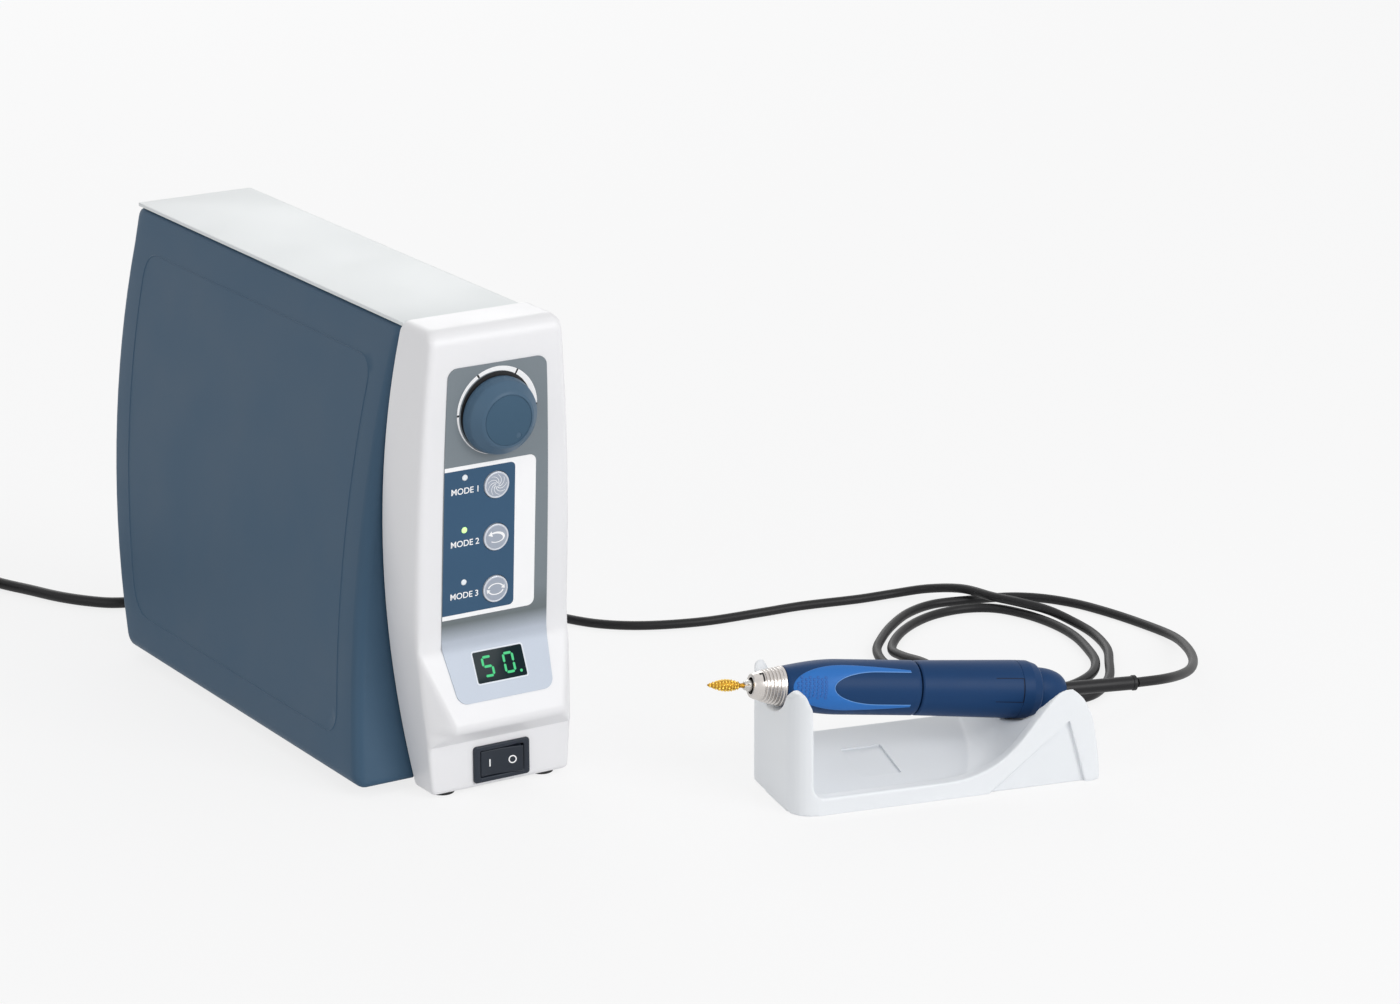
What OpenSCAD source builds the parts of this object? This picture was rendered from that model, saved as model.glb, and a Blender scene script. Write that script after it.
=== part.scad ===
// Knee-operated bench micromotor set: control unit, handpiece on its stand, and leads.
// Millimetres, +Z up, the unit's front faces -Y. The origin is on the table,
// under the middle of the set without its leads.

/* [Control unit] */
// Height of the unit's top above the table
unit_h = 235; // [232:1:240]
// Width of the top cover
cover_w = 71; // [68:0.5:73]
// Wall of the top cover
cover_t = 2; // [1.5:0.25:2.5]
// Radius of the cover's right-hand top edge
cover_r = 7; // [4:0.5:10]
// Height of the rubber feet
foot_h = 2; // [1.5:0.25:3]
// Distance from the panel to the furthest point of the rounded back
back_y = 325; // [318:1:335]
// Radius of the rounded back
back_r = 298; // [285:1:320]
// Height of the back's furthest point
back_z = 165; // [155:1:172]
// Inset of the rear panel inside the cover
rear_inset = 3; // [2:0.5:5]
// Sheet thickness of the chassis
sheet_t = 1.5; // [1:0.25:2]
// Place of the chassis side wall, left of the middle
wall_x = 8; // [6:0.5:9]

/* [Front bezel] */
// Greatest width of the barrel-shaped bezel
bezel_w = 85.4; // [83:0.2:88]
// Radius of its bowed sides, seen from the front
barrel_r = 1250; // [1100:50:1600]
// Height of its widest place
barrel_z = 108; // [100:1:116]
// Wall of the bezel
bezel_t = 3; // [2.5:0.25:3.5]
// Step of the bezel above the top cover
bezel_step = 1; // [0.5:0.25:2]
// Radius of the top front edge
bezel_r = 8; // [5:0.5:10]
// Forward lean of the panel, in degrees
lean = 2.9; // [0:0.1:4]
// Height at which the panel plane crosses the front reference line
panel_z = 142; // [138:1:146]
// Depth of the seam behind the front reference line
seam_y = 36.5; // [34:0.5:39]
// Radius of the bowed seam between bezel and pad
seam_r = 420; // [400:10:460]
// Height of the seam's deepest place
seam_z = 135; // [128:1:142]
// Height where the display chin starts
chin_z = 75; // [73:0.5:77]
// Height of the middle of the chin's rounded lip
lip_z = 38.5; // [37:0.5:40]
// Reach of the lip in front of the reference line
lip_reach = 13; // [12:0.5:15]
// Radius of the lip
lip_r = 5; // [4:0.5:6]
// Width of the lip
lip_w = 62; // [58:1:66]
// Height of the step over the switch box
box_z = 27; // [26:0.5:28]
// Reach of the switch box in front of the reference line
box_reach = 2; // [1:0.25:3]

/* [Front controls] */
// Thickness of the panel overlay
overlay_t = 0.5; // [0.3:0.1:0.8]
// Width of the overlay at its top
overlay_top_w = 54; // [52:0.5:56]
// Width of the overlay at the chin
overlay_w = 58.6; // [57:0.2:60]
// Height of the overlay's top edge
overlay_top_z = 217; // [215:0.5:218]
// Height of the overlay's lower edge on the chin
overlay_low_z = 49; // [48:0.5:50]
// Height of the speed knob
knob_z = 191; // [189:0.5:193]
// Radius of the knob at its base
knob_r = 19.5; // [18.5:0.25:20]
// Radius of the knob's front face
knob_face_r = 13; // [11:0.5:14]
// Length of the knob
knob_l = 10.5; // [9.5:0.25:12]
// Radius of the potentiometer shaft
shaft_r = 3; // [2.75:0.05:3.2]
// Radius of the potentiometer bush
bush_r = 4.6; // [4.3:0.1:5]
// Height of the middle button
button_z = 128.4; // [127:0.2:130]
// Spacing of the buttons
button_pitch = 26.8; // [26:0.2:27.4]
// Radius of the buttons
button_r = 6.8; // [6.4:0.1:7.2]
// Travel of a button
button_travel = 0.8; // [0.5:0.1:1]
// Radius of the indicator lenses
led_r = 1.6; // [1.2:0.1:2]
// Place of the indicators, left of the middle
led_x = 17.4; // [16:0.2:18]
// Height of an indicator above its button's middle
led_up = 6.2; // [5.5:0.1:6.8]
// Width of the display window
display_w = 27.5; // [26:0.5:29]
// Height of the display window along the chin
display_h = 15.5; // [14.5:0.25:16.5]
// Width of the switch frame
switch_w = 31.2; // [30:0.2:32]
// Height of the switch frame
switch_h = 18.8; // [18:0.2:19.4]
// Height of the switch's middle
switch_z = 14; // [13.5:0.25:14.5]
// Tilt of the rocker either side of the middle, in degrees
rocker_tilt = 6; // [4:0.5:7]

/* [Knee pad] */
// Wall of the pad
pad_t = 2.5; // [2:0.25:3]
// Tilt of the pad at rest, in degrees
pad_tilt = 8.55; // [8:0.05:9]
// Height of the pad's lower edge
pad_low_z = 5; // [4.5:0.25:6]
// Radius of the pad's rounded edges
pad_r = 6; // [4:0.5:8]
// Depth of the pad's return wall at the bottom
pad_return = 32; // [30:0.5:33]
// Gap between the pad and the bezel
pad_gap = 1.5; // [1.2:0.1:2]
// Radius of the hinge pin
pin_r = 2; // [1.8:0.1:2.4]
// Height of the pad sensor
sensor_z = 100; // [95:1:105]
// Distance of the pad sensor behind the reference line
sensor_y = 120; // [110:1:130]
// Radius of the sensor plunger
plunger_r = 4; // [3.5:0.1:4.5]

/* [Handpiece] */
// Length of the nose cone
cone_l = 16.2; // [15.4:0.2:17]
// Radius of the nose cone at its tip
cone_tip_r = 6.4; // [6:0.1:6.8]
// Radius of the nose cone at the grip
cone_r = 9.9; // [9.6:0.1:10.2]
// Length of the grip
grip_l = 69.4; // [67:0.2:71]
// Greatest radius of the grip
grip_r = 13.6; // [13.2:0.1:14]
// Width of the groove behind the grip
groove_w = 0.8; // [0.6:0.1:1.2]
// Length of the rear housing
housing_l = 60; // [58:0.5:62]
// Radius of the rear housing at its end
housing_r = 14.5; // [14:0.1:14.8]
// Length of the tapered tail of the housing
tail_l = 5; // [4:0.25:6]
// Radius of the tail's end
tail_r = 13; // [12.4:0.1:13.4]
// Length of the rear cap
cap_l = 16.5; // [15:0.25:18]
// Radius of the rear cap
cap_r = 11; // [10.4:0.1:11.4]
// Length of the cord sleeve
sleeve_l = 40; // [36:1:44]
// Radius of the cord sleeve
sleeve_r = 3.5; // [3.2:0.1:3.8]
// Radius of the spindle
spindle_r = 3; // [2.8:0.05:3.2]
// Radius of the bur shank
shank_r = 1.175; // [1.1:0.025:1.2]
// Reach of the bur in front of the nose cone
bur_reach = 22.5; // [21:0.5:24]
// Greatest radius of the bur
bur_r = 3.2; // [2.8:0.1:3.4]

/* [Stand] */
// Length of the stand
stand_l = 163; // [160:1:166]
// Width of the stand
stand_w = 72; // [70:0.5:74]
// Turn of the stand on the table, in degrees
stand_turn = -12.2; // [-14:0.1:-10]
// Place of the stand's front corner to the right of the unit's middle
stand_x = 97.6; // [95:0.2:105]
// Place of the stand's front corner in front of the reference line
stand_front = 117.2; // [110:0.2:125]
// Height of the front horns
horn_h = 62; // [60:0.5:64]
// Thickness of the front wall with the horns
horn_t = 10; // [9:0.25:11]
// Height of the rear horns
rear_horn_h = 51; // [49:0.5:53]
// Height of the rim along the front
rim_h = 9; // [8:0.25:10]
// Height of the rim along the back
back_rim_h = 17; // [15:0.5:19]
// Thickness of the stand's floor
stand_floor_t = 6; // [5:0.25:7]
// Height of the handpiece's nose over the table
nose_z = 57.9; // [57:0.1:59]
// Nose overhang in front of the stand's front wall
nose_out = 10; // [9:0.25:11]
// Downward slope of the handpiece to its tail, in degrees
hand_tilt = 7.5; // [7:0.1:8]
// Radius of the saddle under the housing
saddle_r = 37; // [34:0.5:40]
// Radius of the notch under the nose
notch_r = 25; // [22:0.5:28]

/* [Leads] */
// Diameter of the motor cord
motor_cord_d = 5; // [4.6:0.1:5.2]
// Diameter of the mains cord
mains_cord_d = 6; // [5.6:0.1:6.2]
// Number of turns in the put-away mains coil
coil_turns = 7; // [5:1:8]
// Radius of the outer turn of the coil
coil_r = 47; // [46:0.5:50]
// Clear space between neighbouring turns
coil_gap = 0.6; // [0.5:0.1:1]
// Length of the mains gland behind the rear panel
gland_l = 30; // [26:1:34]
// Radius of a mains plug pin
plug_pin_r = 2.4; // [2:0.1:2.5]
// Length of a mains plug pin
plug_pin_l = 19; // [17:0.5:20]
// Spacing of the mains plug pins
plug_pitch = 19; // [18:0.5:20]

/* [Fits] */
// Radial clearance of a turning or sliding fit
run_fit = 0.05; // [0.03:0.01:0.1]
// Clearance between pieces that lie beside each other
clear = 0.3; // [0.2:0.05:0.4]

/* [Hidden] */
$fn = 64;

// Heights that follow the unit's top
bezel_h = unit_h + bezel_step;
hinge_z = unit_h - 7;
pad_top_z = unit_h - cover_t - 0.8;
pad_top_x = cover_w / 2;
hinge_x = pad_top_x - 7.5;
pad_slope = tan(pad_tilt);
box_y = -box_reach;
lip_y = -lip_reach;
base_z = foot_h + bezel_t;
inner_right = cover_w / 2 - cover_t;
shank_fit = 0.01;

// Chin slope from the foot of the panel, tangent to the rounded lip
lip_way = [front_y(chin_z) - lip_y - lip_r, chin_z - lip_z];
chin_slope = atan2(lip_way[0], lip_way[1]) + asin(lip_r / norm(lip_way));
display_mid = 12.5;
display_glass_t = 3;
board_t = 1.6;
board_back = 9;

// Ends of the handpiece's sections, measured from the tip of the nose cone
grip_end = cone_l + grip_l;
housing_start = grip_end + groove_w;
housing_end = housing_start + housing_l;
tail_end = housing_end + tail_l;
cap_end = tail_end + cap_l;
sleeve_in = 4;
sleeve_tilt = 2;
sleeve_way = [cos(sleeve_tilt) * cos(stand_turn), cos(sleeve_tilt) * sin(stand_turn), -sin(sleeve_tilt)];
hand_tail = stand_point([
    -nose_out + (cap_end - sleeve_in) * cos(hand_tilt) + (sleeve_l + sleeve_in) * cos(sleeve_tilt),
    stand_w / 2,
    nose_z - (cap_end - sleeve_in) * sin(hand_tilt) - (sleeve_l + sleeve_in) * sin(sleeve_tilt)
]);

// Middle of the set without its leads, from its outermost edges
pad_low_x = pad_top_x + (pad_top_z - pad_low_z) * pad_slope;
right_x = hand_tail[0];
front_edge = stand_point([stand_l, 0, 0])[1];
mid_x = (right_x - pad_low_x) / 2;
mid_y = (back_y + front_edge) / 2;

// Points on an arc of radius r around a centre
function arc_pts(cx, cy, r, a0, a1, n) =
    [for (i = [0:n]) let (a = a0 + (a1 - a0) * i / n) [cx + r * cos(a), cy + r * sin(a)]];
// Bow of an arc of radius r at a distance d from its middle
function bow(r, d) = r - sqrt(r * r - d * d);
function steps(a, b, n) = [for (i = [0:n]) a + (b - a) * i / n];
function half_w(z) = bezel_w / 2 - bow(barrel_r, z - barrel_z);
function seam(z) = seam_y - bow(seam_r, z - seam_z);
function back(z) = back_y - bow(back_r, z - back_z);
function front_y(z) = -tan(lean) * (z - panel_z);
function pad_face(z) = -pad_top_x - (pad_top_z - z) * pad_slope;
// A point of the stand's own frame, seen from the unit
function stand_point(p) = [
    stand_x + p[0] * cos(stand_turn) - p[1] * sin(stand_turn),
    -stand_front + p[0] * sin(stand_turn) + p[1] * cos(stand_turn),
    p[2]
];
// Outline of a plate with rounded corners, narrower or wider at its top
function plate_pts(top_w, low_w, low, high, top_r, low_r) = concat(
    arc_pts(top_w / 2 - top_r, high - top_r, top_r, 0, 90, 6),
    arc_pts(top_r - top_w / 2, high - top_r, top_r, 90, 180, 6),
    arc_pts(low_r - low_w / 2, low + low_r, low_r, 180, 270, 6),
    arc_pts(low_w / 2 - low_r, low + low_r, low_r, 270, 360, 6)
);

module in_unit() {
    translate([-mid_x, -mid_y, 0]) children();
}
module in_stand() {
    in_unit() translate([stand_x, -stand_front, 0]) rotate(stand_turn) children();
}
// The handpiece's axis is local +Z, from the tip of the nose cone to the tail
module in_hand() {
    in_stand() translate([-nose_out, stand_w / 2, nose_z]) rotate([0, 90 + hand_tilt, 0]) children();
}
// Extrudes a (y, z) outline across the unit
module across(x0, x1) {
    translate([x0, 0, 0]) rotate([90, 0, 90]) linear_extrude(x1 - x0) children();
}
// Extrudes an (x, z) outline from front to back
module deep(y0, y1) {
    translate([0, y1, 0]) rotate([90, 0, 0]) linear_extrude(y1 - y0) children();
}
// Local +Z points out of the leaning panel, the switch box or the chin
module on_panel(z) {
    translate([0, front_y(z), z]) rotate([90 + lean, 0, 0]) children();
}
module on_box() {
    translate([0, box_y, switch_z]) rotate([90, 0, 0]) children();
}
module on_chin(down) {
    translate([0, front_y(chin_z), chin_z]) rotate([90 - chin_slope, 0, 0])
        translate([0, -down, 0]) children();
}
module ring(outer, inner, h) {
    difference() {
        cylinder(r = outer, h = h);
        translate([0, 0, -1]) cylinder(r = inner, h = h + 2);
    }
}
module each_button() {
    for (i = [-1:1]) on_panel(button_z + i * button_pitch) children();
}

// Front bezel: a bowed shell with a chin for the display, open at the back
module bezel_side(i) {
    zc = bezel_h - bezel_r;
    low = foot_h + i;
    high = bezel_h - i;
    past = i > 0 ? 1 : 0;
    polygon(concat(
        [[box_y + i, low], [box_y + i, box_z], [front_y(chin_z) + i, chin_z]],
        arc_pts(front_y(zc) + bezel_r, zc, bezel_r - i, 180, 90, 8),
        [for (z = steps(high, low, 20)) [seam(z) + past, z]]
    ));
}
module barrel(i) {
    low = foot_h + i;
    high = bezel_h - i;
    polygon(concat(
        [for (z = steps(low, high, 20)) [half_w(z) - i, z]],
        [for (z = steps(high, low, 20)) [i - half_w(z), z]]
    ));
}
module chin(i, depth) {
    top_w = half_w(chin_z) - i;
    low_w = half_w(box_z) - i;
    hull() {
        translate([-lip_w / 2 + i, lip_y + lip_r, lip_z]) rotate([0, 90, 0])
            cylinder(r = lip_r - i, h = lip_w - 2 * i, $fn = 32);
        translate([-top_w, front_y(chin_z) + i, chin_z - 1 - i]) cube([2 * top_w, depth, 1]);
        translate([-low_w, box_y + i, box_z + i]) cube([2 * low_w, depth, 1]);
    }
}
module bezel_solid(i, depth) {
    intersection() {
        across(-bezel_w, bezel_w) bezel_side(i);
        deep(-back_y, back_y) barrel(i);
    }
    chin(i, depth);
}
board_top = knob_z + 16;
board_low = chin_z + 9;
boss_x = 23;
module at_bosses() {
    for (x = [-boss_x, boss_x], z = [board_low + 5, board_top - 5])
        translate([x, 0, 0]) on_panel(z) children();
}
module front_bezel() {
    color("whitesmoke") in_unit() {
        difference() {
            bezel_solid(0, 1.5);
            bezel_solid(bezel_t, 2 * bezel_t);
            on_panel(knob_z) translate([0, 0, -2 * bezel_t]) cylinder(r = bush_r + clear, h = 4 * bezel_t);
            each_button() translate([0, 0, -2 * bezel_t]) cylinder(r = button_r + clear, h = 4 * bezel_t);
            each_button() translate([-led_x, led_up, -2 * bezel_t])
                cylinder(r = led_r + run_fit, h = 4 * bezel_t);
            on_chin(display_mid) translate([-display_w / 2 - run_fit, -display_h / 2 - run_fit, -2 * bezel_t])
                cube([display_w + 2 * run_fit, display_h + 2 * run_fit, 4 * bezel_t]);
            on_box() translate([-switch_body_w / 2 - run_fit, -switch_body_h / 2 - run_fit, -2 * bezel_t])
                cube([switch_body_w + 2 * run_fit, switch_body_h + 2 * run_fit, 4 * bezel_t]);
        }
        at_bosses() translate([0, 0, -board_back]) cylinder(r = 3, h = board_back - bezel_t + 0.2);
    }
}

// Top cover: the top and the right-hand side in one shell
module cover_section(i) {
    r = cover_r - i;
    right = cover_w / 2 - i;
    left = -cover_w / 2 - (i > 0 ? 1 : 0);
    low = base_z - (i > 0 ? 1 : 0);
    high = unit_h - i;
    translate([left, low]) square([right - left, high - low - r]);
    translate([left, low]) square([right - left - r, high - low]);
    translate([right - r, high - r]) circle(r);
}
module cover_side() {
    polygon(concat(
        [for (z = steps(base_z, unit_h, 20)) [seam(z) + clear, z]],
        [for (z = steps(unit_h, base_z, 20)) [back(z), z]]
    ));
}
module top_cover() {
    color("gainsboro") in_unit() intersection() {
        deep(0, back_y + 1) difference() {
            cover_section(0);
            cover_section(cover_t);
        }
        across(-cover_w, cover_w) cover_side();
    }
}

// Rear panel, bent to the rounded back, with holes for its fittings
socket_x = 10;
socket_z = 60;
socket_r = 9;
gland_x = 24;
gland_z = 30;
gland_hole_r = 5;
fuse_x = 8;
fuse_z = 30;
fuse_r = 6;
function panel_out(z) = back(z) - rear_inset;
module rear_panel() {
    low = base_z;
    high = unit_h - cover_t - clear;
    color("silver") in_unit() difference() {
        across(-wall_x, inner_right - clear) polygon(concat(
            [for (z = steps(low, high, 16)) [panel_out(z) - cover_t, z]],
            [for (z = steps(high, low, 16)) [panel_out(z), z]]
        ));
        translate([socket_x, panel_out(socket_z) - 20, socket_z]) rotate([-90, 0, 0])
            cylinder(r = socket_r + run_fit, h = 40);
        translate([gland_x, panel_out(gland_z) - 20, gland_z]) rotate([-90, 0, 0])
            cylinder(r = gland_hole_r + run_fit, h = 40);
        translate([fuse_x, panel_out(fuse_z) - 20, fuse_z]) rotate([-90, 0, 0])
            cylinder(r = fuse_r + run_fit, h = 40);
    }
}

// Chassis: a base plate over the bezel's floor, and the wall that the pad swings against
plate_top = base_z + sheet_t;
plate_front = seam(base_z) - 2.5;
plate_back = panel_out(base_z) - cover_t;
wall_front = seam_y + pad_gap + pad_t + 7;
wall_back = back(pad_low_z) - pad_t - 8;
wall_high = hinge_z - 2;
module base_plate() {
    color("lightsteelblue") in_unit() translate([-wall_x, plate_front, base_z])
        cube([wall_x + inner_right - clear, plate_back - plate_front, sheet_t]);
}
module side_wall() {
    color("lightslategray") in_unit() difference() {
        translate([-wall_x, wall_front, plate_top]) cube([sheet_t, wall_back - wall_front, wall_high - plate_top]);
        translate([-wall_x - 1, sensor_y, sensor_z]) rotate([0, 90, 0])
            cylinder(r = sensor_r + run_fit, h = sheet_t + 2);
    }
}

// Overlay on the panel, bent forward over the chin
module panel_overlay() {
    flat_low = front_len(chin_z);
    chin_len = (chin_z - overlay_low_z) / cos(chin_slope);
    color("slategray") in_unit() {
        difference() {
            on_panel(panel_z) linear_extrude(overlay_t)
                polygon(plate_pts(overlay_top_w, overlay_w, flat_low, front_len(overlay_top_z), 5, 0.2));
            on_panel(knob_z) translate([0, 0, -5]) cylinder(r = bush_r + clear, h = 10);
            each_button() translate([0, 0, -5]) cylinder(r = button_r + clear, h = 10);
            each_button() translate([-led_x, led_up, -5]) cylinder(r = led_r + run_fit, h = 10);
        }
        difference() {
            on_chin(0) linear_extrude(overlay_t) polygon(plate_pts(overlay_w, overlay_w - 6, -chin_len, 0, 0.2, 5));
            on_chin(display_mid) translate([-display_w / 2 - run_fit, -display_h / 2 - run_fit, -5])
                cube([display_w + 2 * run_fit, display_h + 2 * run_fit, 10]);
        }
    }
}
// Distance along the leaning panel from its reference height
function front_len(z) = (z - panel_z) / cos(lean);

module display_window() {
    color("darkslategray") in_unit() on_chin(display_mid)
        translate([-display_w / 2, -display_h / 2, overlay_t - display_glass_t])
            cube([display_w, display_h, display_glass_t]);
}
module display_module() {
    w = display_w - 2;
    h = display_h - 2;
    color("black") in_unit() on_chin(display_mid) translate([-w / 2, -h / 2, overlay_t - display_glass_t - 7])
        cube([w, h, 7]);
}
module indicator_lenses() {
    color("honeydew") in_unit() each_button() translate([-led_x, led_up, -board_back])
        cylinder(r = led_r, h = board_back + overlay_t + 0.4);
}
board_w = overlay_top_w + 2;
module front_board() {
    low = front_len(board_low);
    high = front_len(board_top);
    color("darkgreen") in_unit() difference() {
        on_panel(panel_z) translate([-board_w / 2, low, -board_back - board_t])
            cube([board_w, high - low, board_t]);
        on_panel(knob_z) translate([0, 0, -2 * board_back]) cylinder(r = bush_r + clear, h = 2 * board_back);
    }
}
// Push switches on the board, a button's travel behind the buttons
button_flange_t = 1.2;
button_back = bezel_t + clear + button_flange_t;
module push_switches() {
    h = board_back - button_back - button_travel - 0.1;
    color("dimgray") in_unit() each_button() translate([-3, -3, -board_back]) cube([6, 6, h]);
}
module button() {
    cylinder(r = button_r, h = bezel_t + clear + overlay_t + 1);
    translate([0, 0, -button_flange_t]) cylinder(r = button_r + 1.2, h = button_flange_t);
}
module button_at(i) {
    color("lightgray") in_unit() on_panel(button_z + i * button_pitch)
        translate([0, 0, button_flange_t - button_back]) button();
}
module button_top() { button_at(1); }
module button_mid() { button_at(0); }
module button_low() { button_at(-1); }

// Speed control: potentiometer behind the board, its shaft and the knob
pot_l = 10;
knob_gap = 0.8;
module speed_pot() {
    color("darkgray") in_unit() on_panel(knob_z) difference() {
        union() {
            translate([0, 0, -board_back - board_t - pot_l]) cylinder(r = 8, h = pot_l);
            translate([0, 0, -board_back - board_t - 1])
                cylinder(r = bush_r, h = board_back + board_t + 1 + overlay_t);
        }
        translate([0, 0, -board_back - board_t - pot_l + 2]) cylinder(r = shaft_r + run_fit, h = 60);
    }
}
module pot_shaft() {
    back_end = board_back + board_t + pot_l - 2 - clear;
    color("silver") in_unit() on_panel(knob_z) translate([0, 0, -back_end])
        cylinder(r = shaft_r, h = back_end + overlay_t + knob_gap + knob_l - 5);
}
module speed_knob() {
    color("steelblue") in_unit() on_panel(knob_z) translate([0, 0, overlay_t + knob_gap]) difference() {
        rotate_extrude() polygon([
            [0, 0], [knob_r, 0], [knob_r, 2], [knob_r - 1, knob_l * 0.55],
            [knob_face_r + 1.2, knob_l - 0.6], [knob_face_r, knob_l], [0, knob_l]
        ]);
        translate([0, 0, -1]) cylinder(r = shaft_r + run_fit, h = knob_l - 4);
        translate([knob_face_r * 0.45, -knob_face_r * 0.65, knob_l - 0.6]) cylinder(r = 1.3, h = 2);
    }
}

// Power switch: a frame with a pocket, and a rocker on two short pivots
switch_body_w = switch_w - 3.2;
switch_body_h = switch_h - 3.2;
switch_deep = 14;
frame_t = 1.6;
pocket_w = switch_w - 7;
pocket_h = switch_h - 5;
pocket_deep = 8;
pivot_r = 1.2;
pivot_down = 3;
module switch_frame() {
    color("black") in_unit() on_box() difference() {
        union() {
            translate([-switch_w / 2, -switch_h / 2, 0]) cube([switch_w, switch_h, frame_t]);
            translate([-switch_body_w / 2, -switch_body_h / 2, -switch_deep])
                cube([switch_body_w, switch_body_h, switch_deep + 1]);
        }
        translate([-pocket_w / 2, -pocket_h / 2, -pocket_deep]) cube([pocket_w, pocket_h, pocket_deep + 5]);
        translate([0, -pocket_h / 2 - 0.8, -pivot_down]) rotate([-90, 0, 0])
            cylinder(r = pivot_r + run_fit, h = pocket_h + 1.6);
    }
}
module switch_rocker() {
    half = pocket_w / 2 - 0.7;
    tall = pocket_h - 2 * clear;
    color("darkslategray") in_unit() on_box() translate([0, 0, -pivot_down]) rotate([0, -rocker_tilt, 0]) {
        rotate([90, 0, 0]) linear_extrude(tall, center = true) polygon([
            [-half, 5.6], [0, 4.4], [half, 5.6], [half - 0.8, 0], [half - 4, -3.4], [4 - half, -3.4], [0.8 - half, 0]
        ]);
        translate([0, -pocket_h / 2 - 0.6, 0]) rotate([-90, 0, 0]) cylinder(r = pivot_r, h = pocket_h + 1.2);
    }
}

// Knee pad: a leaning shell with return walls, hung from arms on a long pin
function pad_outline(d, low, high) = concat(
    [for (z = steps(low + d, high - d, 14)) [seam(z) + pad_gap + d, z]],
    [for (z = steps(high - d, low + d, 14)) [back(z) - d, z]]
);
function pad_inner(z) = let (top = pad_face(pad_top_z) + pad_t + 0.3, low = pad_face(pad_low_z) + pad_return)
    low + (top - low) * (z - pad_low_z) / (pad_top_z - pad_low_z);
// Loops round the pad, drawn in by d, at a depth e under the face or on the open side
function pad_loop(d, e) = [
    for (p = pad_outline(d, pad_low_z, pad_top_z)) [min(pad_face(p[1]) + e, pad_inner(p[1]) - 0.1), p[0], p[1]]
];
function pad_mouth(d) = [for (p = pad_outline(d, pad_low_z, pad_top_z)) [pad_inner(p[1]), p[0], p[1]]];
// Skins a stack of loops that have the same number of points
module skin(loops) {
    n = len(loops[0]);
    m = len(loops);
    polyhedron(
        points = [for (loop = loops) each loop],
        faces = concat(
            [[for (i = [0:n - 1]) n - 1 - i]],
            [[for (i = [0:n - 1]) (m - 1) * n + i]],
            [for (k = [0:m - 2], i = [0:n - 1]) let (j = (i + 1) % n) [k * n + i, k * n + j, (k + 1) * n + j]],
            [for (k = [0:m - 2], i = [0:n - 1]) let (j = (i + 1) % n) [k * n + i, (k + 1) * n + j, (k + 1) * n + i]]
        )
    );
}
module knee_pad() {
    bevel = 0.3 * pad_r;
    color("slategray") in_unit() skin([
        pad_loop(pad_t, pad_t), pad_mouth(pad_t), pad_mouth(0),
        pad_loop(0, pad_r), pad_loop(bevel, bevel), pad_loop(pad_r, 0)
    ]);
}
// Places of the hinge brackets and of the arms beside them
bracket_t = 5;
arm_t = 6;
bracket_y = [75, 255];
module pad_hinge_arms() {
    color("silver") in_unit() for (y = bracket_y) difference() {
        deep(y + bracket_t + clear, y + bracket_t + clear + arm_t) difference() {
            union() {
                translate([-hinge_x, hinge_z]) circle(pin_r + 2.2);
                polygon([
                    [pad_face(hinge_z + 1.5) + pad_t, hinge_z + 1.5], [-hinge_x, hinge_z + 2],
                    [-hinge_x + 2, hinge_z - 3], [pad_face(hinge_z - 26) + pad_t, hinge_z - 26]
                ]);
            }
            translate([-hinge_x, hinge_z]) circle(pin_r + run_fit);
        }
    }
}
module hinge_brackets() {
    reach = pin_r + 2;
    color("lightslategray") in_unit() for (y = bracket_y) deep(y, y + bracket_t) difference() {
        union() {
            translate([-hinge_x, hinge_z]) circle(reach);
            translate([-hinge_x, hinge_z - reach]) square([hinge_x - wall_x, 2 * reach]);
            translate([-wall_x - 3, hinge_z - 22]) square([3, 22]);
        }
        translate([-hinge_x, hinge_z]) circle(pin_r);
    }
}
module hinge_pin() {
    start = bracket_y[0] - 4;
    color("silver") in_unit() translate([-hinge_x, start, hinge_z]) rotate([-90, 0, 0])
        cylinder(r = pin_r, h = bracket_y[1] + bracket_t + arm_t + 6 - start);
}
// Pad sensor: a barrel through the side wall and the plunger that the pad pushes
sensor_r = plunger_r + 3;
sensor_out = 6;
sensor_in = 26;
plunger_in = 8;
module pad_sensor() {
    color("black") in_unit() translate([-wall_x, sensor_y, sensor_z]) rotate([0, 90, 0]) difference() {
        union() {
            translate([0, 0, -sensor_out]) cylinder(r = sensor_r, h = sensor_out + sensor_in);
            translate([0, 0, -sensor_out]) cylinder(r = sensor_r + 3, h = sensor_out);
        }
        translate([0, 0, -sensor_out - 1]) cylinder(r = plunger_r + run_fit, h = sensor_out + sensor_in - 1);
    }
}
module pad_plunger() {
    tip = pad_face(sensor_z + plunger_r) + pad_t + clear + 0.2;
    color("gainsboro") in_unit() translate([tip, sensor_y, sensor_z]) rotate([0, 90, 0])
        cylinder(r = plunger_r, h = plunger_in - wall_x - tip);
}

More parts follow.
